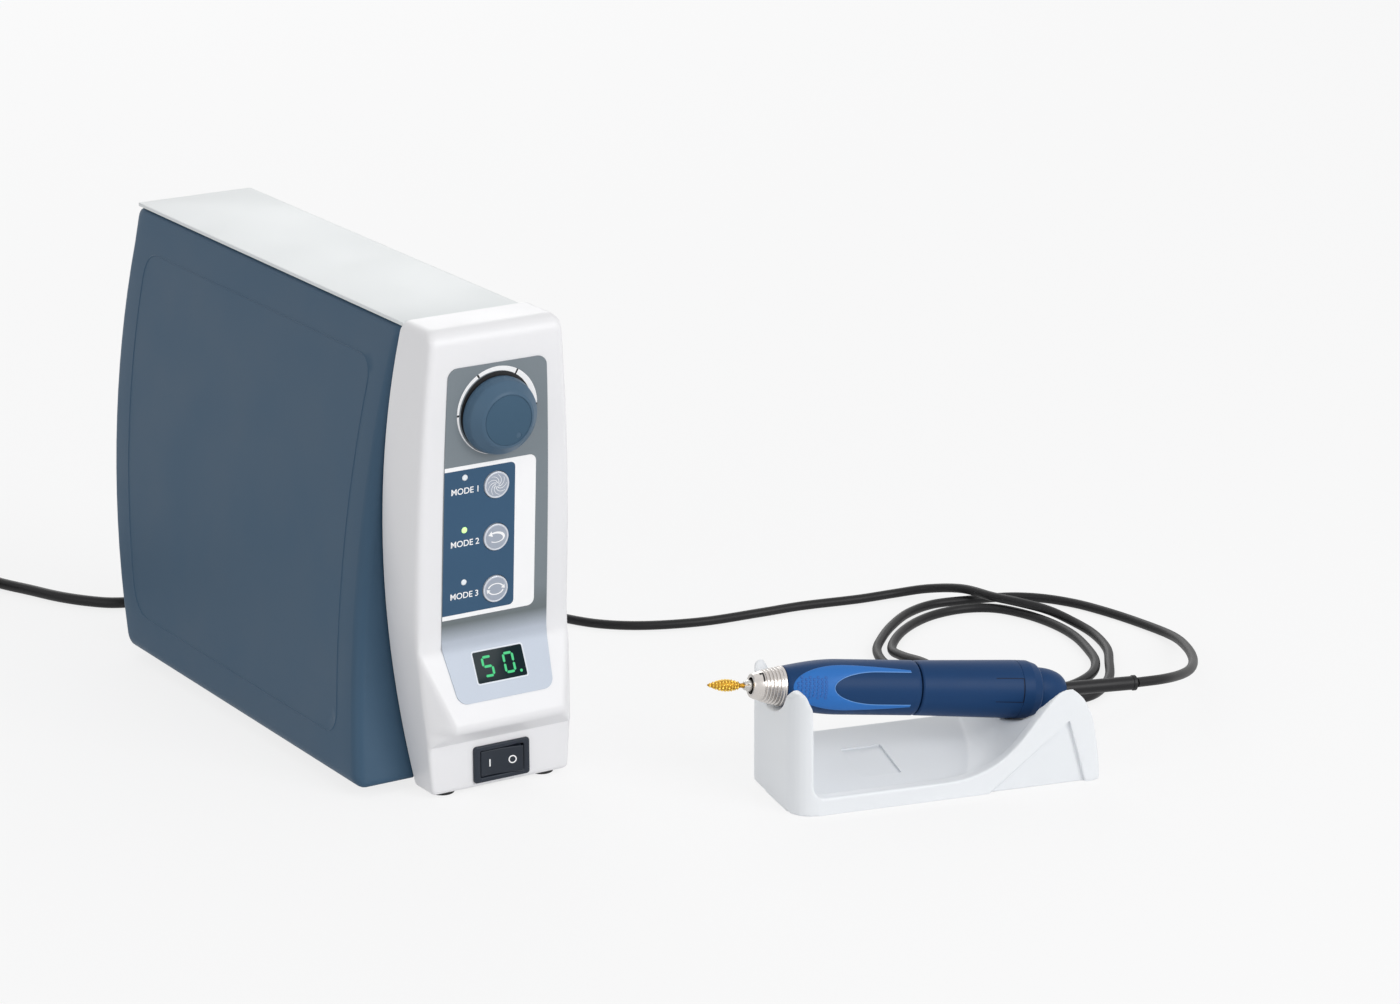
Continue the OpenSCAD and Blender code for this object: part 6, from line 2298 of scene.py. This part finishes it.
    def _housing(self, hand: Matrix) -> None:
        """The rear housing with its key outline and its ring line."""
        ring, wide = self.housing_end - self.ring_in, self.housing_r - 0.05
        profile = rounded([
            (self.tube_wide_r, self.housing_start, 0), (self.grip_r - 0.6, self.housing_start, 0.3),
            (self.grip_r, self.housing_start + 0.7, 0.5), (wide, ring - 3, 3), (wide, ring - 0.35, 0.1),
            (wide - 0.25, ring - 0.2, 0.1), (wide - 0.25, ring + 0.2, 0.1), (wide, ring + 0.35, 0.1),
            (wide - 0.05, self.housing_end, 2.5), (self.tail_r, self.tail_end - 0.8, 0.6),
            (self.tail_r - 0.7, self.tail_end, 0.3), (self.tail_r - 4, self.tail_end, 0),
            (self.tail_r - 4, self.tail_end - 3, 0), (self.stator_r, self.tail_end - 3, 0),
            (self.stator_r, self.housing_start + 4, 0), (self.tube_wide_r, self.housing_start + 4, 0)], 6)
        self.make("housing_shell", turned(profile, 128), hand,
                  Finishes.NAVY, "handpiece", "navy_coat", ["rear_housing"], smooth=30)

        def radius(s: float) -> float:
            """Radius of the housing between its ends."""
            share = (s - self.housing_start) / (ring - 3 - self.housing_start)
            return self.grip_r + (self.housing_r - self.grip_r) * min(1.0, share)

        lines = Skin()
        for angle in (self._facing - 24, self._facing + 24):
            lines.add(self._strip(angle - 0.7, angle + 0.7, ring - 15, ring, radius, 0.02))
        lines.add(self._strip(self._facing - 24, self._facing + 24, ring - 0.35, ring + 0.05, radius, 0.02))
        self.make("housing_lines", lines, hand, Finishes.NAVY_DARK, "handpiece", "navy_coat")

    @property
    def _facing(self) -> float:
        """Angle round the axis, in degrees, of the side that shows."""
        return 270 - self.insert_turn

    def _tail(self, hand: Matrix) -> None:
        """The rear cap and the cord sleeve."""
        r, end, neck = self.sleeve_r, self.tail_end, self.tail_r - 4
        profile = [(0, end - 3), (neck, end - 3), (neck, end), (self.cap_r - 0.4, end),
                   (self.cap_r, end + 0.4)]
        for a in spread(0, math.radians(80), 16):
            profile.append((mix(r, self.cap_r, math.cos(a)), end + 1 + (self.cap_l - 1) * math.sin(a)))
        profile += [(r, self.cap_end), (0, self.cap_end)]
        self.make("rear_cap_shell", turned(profile, 96), hand,
                  Finishes.NAVY, "handpiece", "navy_coat", ["rear_cap"], smooth=30)
        whole = self.sleeve_l + self.sleeve_in
        sleeve = rounded([
            (0, 0, 0), (r, 0, 0), (r, whole - 2.4, 0.1), (r + 0.4, whole - 2.2, 0.15),
            (r + 0.4, whole - 0.6, 0.3), (r - 0.6, whole, 0.3), (0, whole, 0)], 4, closed=False)
        self.make("sleeve_tube", turned(sleeve, 48), self._sleeve_place,
                  Finishes.BLACK, "handpiece", "black_plastic", ["cord_sleeve"], smooth=30)

    def _collet(self, hand: Matrix) -> None:
        """The collet's stepped jaws."""
        r = self.shank_r + 0.02
        profile = rounded([
            (r, -3.5, 0), (1.9, -3.5, 0.2), (2.3, -2.9, 0.1), (2.3, -2.4, 0.1), (2.95, -1.5, 0.2),
            (2.95, 3.8, 0.1), (2.0, 3.8, 0), (2.0, 20, 0), (r, 20, 0)], 3)
        obj = shaped("collet_jaws", turned(profile, 64), hand)
        slots = Skin()
        slot = plate(rounded_box(0.5, 3.4, 0.1), -5, -0.8)
        for angle in (35, 155, 275):
            turn = Matrix.Rotation(math.radians(angle), 4, "Z")
            slots.add(slot, turn @ Matrix.Translation((0, 2.6, 0)))
        cut(obj, slots, hand)
        self.bench.hand_over(shaded(obj, 30), Finishes.BRIGHT_TURNED, "spindle", "bright_steel", ["collet"])

    def _bur_radius(self, u: float) -> float:
        """Radius of the bur's head at a share of its length from the tip."""
        return self.bur_r * math.sin(math.radians(12 + 138 * u))

    def _bur(self, hand: Matrix) -> None:
        """The gold bur: a flame-shaped head with cross-cut teeth, repeated by a node tree, on a core in
        darker gold as painted shade between the teeth.
        """
        tip, head = 0.3 - self.bur_reach, self.bur_head
        profile = [(0, -self.bur_reach)]
        profile += [(self._bur_radius(u) - self.tooth * min(1, 0.4 + 2 * u), tip + head * u)
                    for u in spread(0, 1, 20)]
        profile += [(self.shank_r, tip + head + 1), (self.shank_r, 18), (0, 18)]
        # Darker gold on the core: painted shade between the teeth.
        self.make("bur_core", turned(profile, 48), hand,
                  Finishes.GOLD_FLUTE_SHADE, "spindle", "gold_bur", ["bur"], smooth=30)
        points, turns = [], []
        axis = (hand.to_3x3() @ Vector((0, 0, 1))).normalized()
        for row in range(self.tooth_rows):
            u = self.tooth_first + self.tooth_step * row
            r = self._bur_radius(u) - self.tooth
            count = max(5, round(2 * math.pi * (r + self.tooth) / self.tooth_pitch))
            for k in range(count):
                a = 2 * math.pi * (k + 0.5 * (row % 2)) / count
                way = Vector((math.cos(a), math.sin(a), 0))
                points.append(hand @ (way * r + Vector((0, 0, tip + head * u))))
                out = (hand.to_3x3() @ way).normalized()
                turns.append(tuple(Matrix((axis, out.cross(axis), out)).transposed().to_euler()))
        tooth = Skin()
        base = tooth.loop([(-0.78, 0, -0.2), (0, -0.86, -0.2), (0.78, 0, -0.2), (0, 0.86, -0.2)])
        crest = tooth.loop((x, y, self.tooth) for x, y in ((-0.1, 0), (0.05, -0.16), (0.2, 0), (0.05, 0.16)))
        tooth.bridge(base, crest)
        tooth.cap(base[::-1])
        tooth.cap(crest)
        shape = shaped("bur_tooth", tooth, Matrix.Scale(MM, 4))
        obj = Spread("bur_teeth", shape, points, turns, Finishes.GOLD).build("bur_teeth_rows")
        self.bench.hand_over(obj, Finishes.GOLD, "spindle", "gold_bur")


@dataclass
class Stand(Assembly):
    """Handpiece stand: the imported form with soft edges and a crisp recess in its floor."""

    voxel: float = 0.8
    passes: int = 10
    rail: float = 7.0
    floor_t: float = 6.0
    floor_slope: float = 9.6
    recess_x: float = 44.0
    recess_deep: float = 1.1
    side_deep: float = 2.2
    side_recess: tuple[Point2, ...] = ((101.5, -2.0), (154.2, -2.0), (144.2, 33.4))

    def build(self) -> None:
        """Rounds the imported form's edges by remeshing it in its own frame, then cuts its recesses anew."""
        stand = self.places.stand
        mesh = self.bench.nodes["stand"].data.copy()
        mesh.name = "stand_body"
        mesh.transform(stand.inverted() @ self.bench.nodes["stand"].matrix_world)
        obj = add_object("stand_body", mesh)
        weld = obj.modifiers.new("weld", "WELD")
        weld.merge_threshold = 0.002
        remesh = obj.modifiers.new("even", "REMESH")
        remesh.mode = "VOXEL"
        remesh.voxel_size = self.voxel
        smooth = obj.modifiers.new("soft", "SMOOTH")
        smooth.factor = 0.5
        smooth.iterations = self.passes
        settle(obj)
        obj.data.transform(stand)
        floor = (stand @ Matrix.Translation((self.recess_x, self.rail, self.floor_t))
                 @ Matrix.Rotation(math.radians(self.floor_slope), 4, "X"))
        recess = plate(rounded_box(21, 29, 1), -self.recess_deep, 4)
        cut(obj, recess, floor @ Matrix.Translation((10, 30, 0)))
        side = stand @ Matrix.Translation((0, self.side_deep, 0)) @ Matrix.Rotation(math.pi / 2, 4, "X")
        cut(obj, plate(rounded([(*corner, 0.6) for corner in self.side_recess], 4), 0, 8), side)
        shaded(obj, 40)
        self.bench.hand_over(obj, Finishes.STAND, "root", "stand_white", ["stand"])


class Chassis(Assembly):
    """CAD nodes inside the cases that stay as they are, each with its finish."""

    def build(self) -> None:
        """Dresses every inner node."""
        finishes = {
            Finishes.STEEL: ("base_plate", "side_wall", "hinge_brackets", "pad_hinge_arms"),
            Finishes.BRIGHT: ("hinge_pin", "pot_shaft", "spindle", "front_bearing", "rear_bearing",
                              "speed_pot"),
            Finishes.BOARD: ("main_board", "front_board", "display_module"),
            Finishes.BLACK: ("push_switches", "pad_sensor"),
            Finishes.STAND: ("pad_plunger",),
            Finishes.CAN: ("capacitors",),
            Finishes.COPPER: ("transformer", "stator"),
            Finishes.IRON: ("rotor",),
            Finishes.ALUMINIUM: ("heat_sink", "inner_tube"),
        }
        for finish, nodes in finishes.items():
            for node in nodes:
                self.bench.dress(node, finish)


@dataclass
class MainsEnd(Assembly):
    """Moulded mains plug and the strap round the coil."""

    leads: Leads
    neck: float = 18.0
    body: float = 20.0
    wide: float = 17.0
    pin_r: float = 2.4
    pin_l: float = 19.0
    pin_pitch: float = 19.0
    tie_w: float = 10.0
    tie_turn: float = 200.0

    def build(self) -> None:
        """Builds the plug, its pins and the strap."""
        at = self.leads.plug_at
        place = self.places.unit @ Matrix.Translation(at) @ Matrix.Rotation(math.pi / 2, 4, "X")
        flat = at.z
        skin = Skin()
        rows = []
        for z, half_w, half_h in self._sections(flat):
            outline = rounded_box(2 * half_w, 2 * half_h, min(half_w, half_h) * 0.98, 8)
            rows.append(skin.loop((x, y, z) for x, y in outline))
        skin.stack(rows)
        skin.cap(rows[0][::-1])
        skin.cap(rows[-1])
        self.make("mains_plug_body", skin, place,
                  Finishes.BLACK, "root", "black_plastic", ["mains_plug"], smooth=30)
        pins = Skin()
        tip = self.neck + self.body + self.pin_l
        root = tip - self.pin_l - 1
        pin = rounded([(0, root, 0), (self.pin_r, root, 0), (self.pin_r, tip, 1.6), (0, tip, 0)],
                      5, closed=False)
        for x in (-self.pin_pitch / 2, self.pin_pitch / 2):
            pins.add(turned(pin, 32), Matrix.Translation((x, 0, 0)))
        self.make("mains_plug_pins", pins, place, Finishes.BRIGHT, "root", "bright_steel", smooth=30)
        self._strap()

    def _sections(self, flat: float) -> list[Triple]:
        """Distance along the plug, half width and half height of each section."""
        cord = self.leads.mains_d / 2 + 0.6
        neck, half, tall = self.neck, self.wide / 2, flat - 0.02
        taper = ((0.0, 0.0), (0.6, 0.1), (neck * 0.5, 0.45), (neck * 0.8, 0.75), (neck - 1, 0.95))
        rows = [(z, mix(cord, flat, u), mix(cord, flat, 0.98 * u)) for z, u in taper]
        for u in spread(0, 1, 8)[:-1]:
            rows.append((neck + self.body * u, half + half * math.sin(math.pi / 2 * u), tall))
        for back, inset in ((0.9, 0.0), (0.2, 0.3), (0.0, 0.9)):
            rows.append((neck + self.body - back, self.wide - inset, tall - inset))
        return rows

    def _strap(self) -> None:
        """The strap that holds the coil's turns together."""
        leads = self.leads
        pitch = leads.mains_d + leads.coil_gap
        inner = leads.coil_r - pitch * leads.coil_turns / 2 - leads.mains_d / 2 - leads.tie_gap
        outer = leads.coil_r + leads.mains_d / 2 + leads.tie_gap
        low, high = leads.tie_t, leads.tie_t + 2 * leads.tie_gap + leads.mains_d + pitch
        width, height = outer - inner + 2 * leads.tie_t, high - low + 2 * leads.tie_t
        opening = rounded_box(width - 2 * leads.tie_t, height - 2 * leads.tie_t, 2.0)
        ring = framed(rounded_box(width, height, 3.0), opening, -self.tie_w / 2, self.tie_w / 2, 0.2)
        middle = (Matrix.Translation(((inner + outer) / 2, 0, (low + high) / 2))
                  @ Matrix.Rotation(math.pi / 2, 4, "X"))
        turn = Matrix.Rotation(math.radians(leads.coil_start + self.tie_turn), 4, "Z")
        place = self.places.unit @ Matrix.Translation((leads.coil_x, leads.coil_y, 0)) @ turn @ middle
        self.make("coil_strap", ring, place,
                  Finishes.RUBBER, "root", "black_plastic", ["coil_tie"], smooth=35)


# Leads


@dataclass
class Leads(Assembly):
    """Motor cord, and the mains cord with its put-away coil, tie and plug."""

    motor_end: Vector
    motor_d: float = 5.0
    mains_d: float = 6.0
    coil_x: float = -141.0
    coil_y: float = 441.0
    coil_start: float = 30.0
    coil_r: float = 47.0
    coil_gap: float = 0.6
    coil_turns: int = 7
    tie_t: float = 1.0
    tie_gap: float = 0.4
    rise: tuple[float, float] = (-46.0, -118.0)
    motor_start: Triple = (10.0, 339.77, 60.0)
    mains_start: Triple = (24.0, 322.63, 30.0)
    motor_route: tuple[Triple, ...] = (
        (10, 346, 59.5), (13, 366, 52), (24, 384, 38), (42, 392, 22), (64, 386, 10), (86, 364, 4),
        (104, 334, 2.6), (120, 298, 2.6), (134, 258, 2.6), (146, 222, 2.6), (156, 197, 2.6),
        (166, 181, 2.6), (183, 167, 2.6), (214, 155, 2.6), (250, 151, 2.6), (275, 149, 2.6),
        (310, 142, 2.6), (330, 139, 3), (346, 130, 5.5), (357, 112, 8.6), (363, 91, 8.8), (370, 75, 8.6),
        (378, 60, 7), (383, 43, 4), (383, 27, 2.6), (374, 2, 2.6), (362, -16, 2.6), (345, -38, 2.6),
        (322, -54, 2.6), (302, -53, 3), (284, -42, 5.5), (272, -22, 8.6), (268, 0, 8.8), (268, 22, 8.6),
        (270, 42, 5.5), (275, 60, 3), (292, 79, 2.6), (312, 92, 2.6), (331, 98, 2.6), (350, 97, 2.6),
        (363, 89, 2.6), (371, 72, 2.6), (374, 50, 2.6), (372, 29, 2.6), (365, 7, 2.6), (356, -12, 2.6),
        (342, -27, 2.6), (320, -36, 2.6), (296, -34, 2.6), (278, -20, 2.6), (266, 0, 2.6), (260, 22, 2.6),
        (260, 44, 2.6), (268, 64, 2.6), (281, 79, 2.6), (299, 95, 2.6), (319, 108, 2.6), (338, 113, 2.6),
        (358, 109, 2.6), (382, 101, 2.6), (395, 90, 2.6), (405, 73, 2.6), (411, 52, 2.6), (415, 27, 2.6),
        (414, -2, 4), (400, -33, 9), (374, -72, 17), (344, -104, 26), (316, -122, 33),
    )
    mains_route: tuple[Triple, ...] = (
        (24, 330, 29), (23, 342, 23), (15, 353, 13), (0, 356, 7), (-18, 352, 4), (-32, 349, 3.1),
        (-43, 353, 3.1), (-53, 363, 3.1), (-63, 378, 3.1), (-72, 398, 3.1), (-81, 418, 3.1),
    )

    def coil_point(self, turn: float) -> Vector:
        """A point of the coil, which spirals in, climbs a layer and spirals out again."""
        pitch = self.mains_d + self.coil_gap
        low = self.mains_d / 2 + self.tie_t + self.tie_gap
        past = turn - self.coil_turns
        if past < 0:
            radius = self.coil_r - pitch * min(turn, -past)
            height = low + pitch * ease((turn - self.coil_turns / 2 + 0.25) / 0.5)
        else:
            radius = self.coil_r + 1.05 * pitch * ease(past / 0.14)
            height = low + pitch * (1 - ease((past - 0.03) / 0.24))
        angle = math.radians(self.coil_start + 360 * turn)
        x, y = radius * math.cos(angle), radius * math.sin(angle)
        return Vector((self.coil_x + x, self.coil_y + y, height))

    def coil_way(self, turn: float) -> Vector:
        """Direction of the coil at a turn."""
        angle = math.radians(self.coil_start + 360 * turn)
        return Vector((-math.sin(angle), math.cos(angle), 0))

    @property
    def coil_end(self) -> float:
        """Turns of the whole coil, up to the plug."""
        return self.coil_turns + (180 - self.coil_start) / 360

    @property
    def plug_at(self) -> Vector:
        """Place where the mains cord enters its plug."""
        return self.coil_point(self.coil_end) + self.mains_d * self.coil_way(self.coil_end)

    def build(self) -> None:
        self._motor_cord()
        self._mains_cord()

    def _motor_cord(self) -> None:
        """The motor cord from its plug at the back to the handpiece."""
        unit = self.places.unit
        path = flowing([self.motor_start, *self.motor_route, tuple(self.motor_end)], 3.0)
        obj = shaped("motor_lead", tube(path, self.motor_d / 2, 20), unit)
        shaded(obj, 50)
        obj.data.materials.append(Finishes.CORD.material())
        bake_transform(obj)
        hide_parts("motor_cord")
        LOG.info("motor_lead: %.0f mm of cord", length_of(path))

    def _mains_cord(self) -> None:
        """The mains cord from its gland to the plug, coiled behind the unit."""
        unit = self.places.unit
        lead = self.coil_point(0) - 2 * self.mains_d * self.coil_way(0)
        path = flowing([self.mains_start, *self.mains_route, tuple(lead), tuple(self.coil_point(0))], 3.0)
        steps = round(72 * self.coil_end)
        path += [self.coil_point(self.coil_end * i / steps) for i in range(1, steps + 1)]
        path.append(self.plug_at)
        obj = self.make("mains_lead", tube(path, self.mains_d / 2, 20), unit,
                        Finishes.CORD, "root", "cord_black", ["mains_cord", "mains_coil"], smooth=50)
        LOG.info("mains_lead: %.0f mm of cord", length_of(path))


# Studio


@dataclass
class Studio:
    """Floor, lamps, world and camera."""

    lens: float = 120.1
    azimuth: float = -32.05
    elevation: float = 17.09
    eye: Triple = (-1061.3, -1881.6, 809.4)
    floor_r: float = 9.0
    world_light: float = 0.52
    floor_glow: float = 0.8
    floor_colour: tuple[float, float, float, float] = (0.82, 0.82, 0.83, 1.0)
    floor_rough: float = 0.9

    def build(self, places: Places) -> None:
        """Sets up the whole studio.

        Args:
            places: matrices of the local frames.
        """
        scene = bpy.context.scene
        scene.view_settings.view_transform = "Standard"
        self._camera(scene, places)
        self._floor()
        self._world(scene)
        target = places.unit @ Vector((110, 60, 90))
        self._lamp("key_lamp", (0.75, -2.5, 1.45), target, 1.6, 35.0)
        self._lamp("side_lamp", (-2.4, -0.9, 1.2), target, 1.6, 9.0)
        self._lamp("top_lamp", (0.1, 0.5, 2.6), target, 2.2, 1.0)
        self._lamp("back_lamp", (0.9, 2.4, 1.5), target, 1.6, 14.0)

    def _camera(self, scene: bpy.types.Scene, places: Places) -> None:
        """Sets the camera at the photograph's place."""
        data = bpy.data.cameras.new("camera")
        data.lens = self.lens
        data.sensor_width = 36.0
        camera = bpy.data.objects.new("camera", data)
        scene.collection.objects.link(camera)
        a, e = math.radians(self.azimuth), math.radians(self.elevation)
        back = Vector((math.sin(a) * math.cos(e), -math.cos(a) * math.cos(e), math.sin(e)))
        camera.location = places.unit @ Vector(self.eye)
        camera.rotation_euler = (-back).to_track_quat("-Z", "Y").to_euler()
        scene.camera = camera

    @staticmethod
    def _seen(tree: bpy.types.NodeTree) -> bpy.types.Node:
        """Light Path mask of camera, glossy and transmission rays.

        Args:
            tree: nodes of the material or world.

        Returns:
            A node whose value is 1 for those rays.
        """
        path = add_node(tree, "ShaderNodeLightPath")
        last, output = path, "Is Camera Ray"
        for name in ("Is Glossy Ray", "Is Transmission Ray"):
            either = add_node(tree, "ShaderNodeMath", operation="MAXIMUM")
            wire(tree, (last, output, either, 0), (path, name, either, 1))
            last, output = either, "Value"
        return last

    def _floor(self) -> None:
        """A wide pale floor that keeps a faint shadow."""
        skin = Skin()
        skin.cap(skin.loop((x, y, 0) for x, y in circle(self.floor_r, 96)))
        floor = shaped("floor", skin, Matrix.Identity(4), turn_out=False)
        material = bpy.data.materials.new("pale_floor")
        material.use_nodes = True
        tree = material.node_tree
        base = tree.nodes["Principled BSDF"]
        base.inputs["Base Color"].default_value = self.floor_colour
        base.inputs["Roughness"].default_value = self.floor_rough
        glow = add_node(tree, "ShaderNodeEmission")
        share = add_node(tree, "ShaderNodeMath", {1: self.floor_glow}, "MULTIPLY")
        mixed = add_node(tree, "ShaderNodeMixShader")
        wire(tree, (self._seen(tree), "Value", share, 0), (share, "Value", mixed, "Fac"),
             (base, "BSDF", mixed, 1), (glow, "Emission", mixed, 2),
             (mixed, "Shader", tree.nodes["Material Output"], "Surface"))
        floor.data.materials.append(material)

    def _world(self, scene: bpy.types.Scene) -> None:
        """Even light from all round, with a white background for the camera."""
        world = bpy.data.worlds.new("studio")
        scene.world = world
        world.use_nodes = True
        tree = world.node_tree
        white = (1.0, 1.0, 1.0, 1.0)
        light = tree.nodes["Background"]
        light.inputs["Color"].default_value = white
        light.inputs["Strength"].default_value = self.world_light
        backdrop = add_node(tree, "ShaderNodeBackground", {"Color": white})
        mixed = add_node(tree, "ShaderNodeMixShader")
        wire(tree, (self._seen(tree), "Value", mixed, "Fac"), (light, "Background", mixed, 1),
             (backdrop, "Background", mixed, 2), (mixed, "Shader", tree.nodes["World Output"], "Surface"))

    @staticmethod
    def _lamp(name: str, at: Triple, target: Vector, size: float, power: float) -> None:
        """Adds a soft area lamp.

        Args:
            name: name of the lamp.
            at: its place, in metres.
            target: the point it faces.
            size: side of its square, in metres.
            power: its power, in watts.
        """
        data = bpy.data.lights.new(name, "AREA")
        data.size = size
        data.energy = power
        lamp = bpy.data.objects.new(name, data)
        bpy.context.scene.collection.objects.link(lamp)
        lamp.location = at
        lamp.rotation_euler = (target - Vector(at)).to_track_quat("-Z", "Y").to_euler()


def main() -> None:
    """Loads the frame, builds every sub-assembly and sets up the studio."""
    logging.basicConfig(level=logging.INFO, format="%(name)s: %(message)s")
    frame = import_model()
    places = Places.from_frame()
    bench = Bench(places, frame["nodes"])
    Studio().build(places)
    BezelShell(bench).build()
    TopCover(bench).build()
    KneePad(bench).build()
    PanelOverlay(bench).build()
    SpeedKnob(bench).build()
    PushButtons(bench).build()
    Display(bench).build()
    PowerSwitch(bench).build()
    RearFittings(bench).build()
    handpiece = Handpiece(bench)
    handpiece.build()
    Stand(bench).build()
    Chassis(bench).build()
    leads = Leads(bench, handpiece.cord_end)
    MainsEnd(bench, leads).build()
    leads.build()


if __name__ == "__main__":
    main()
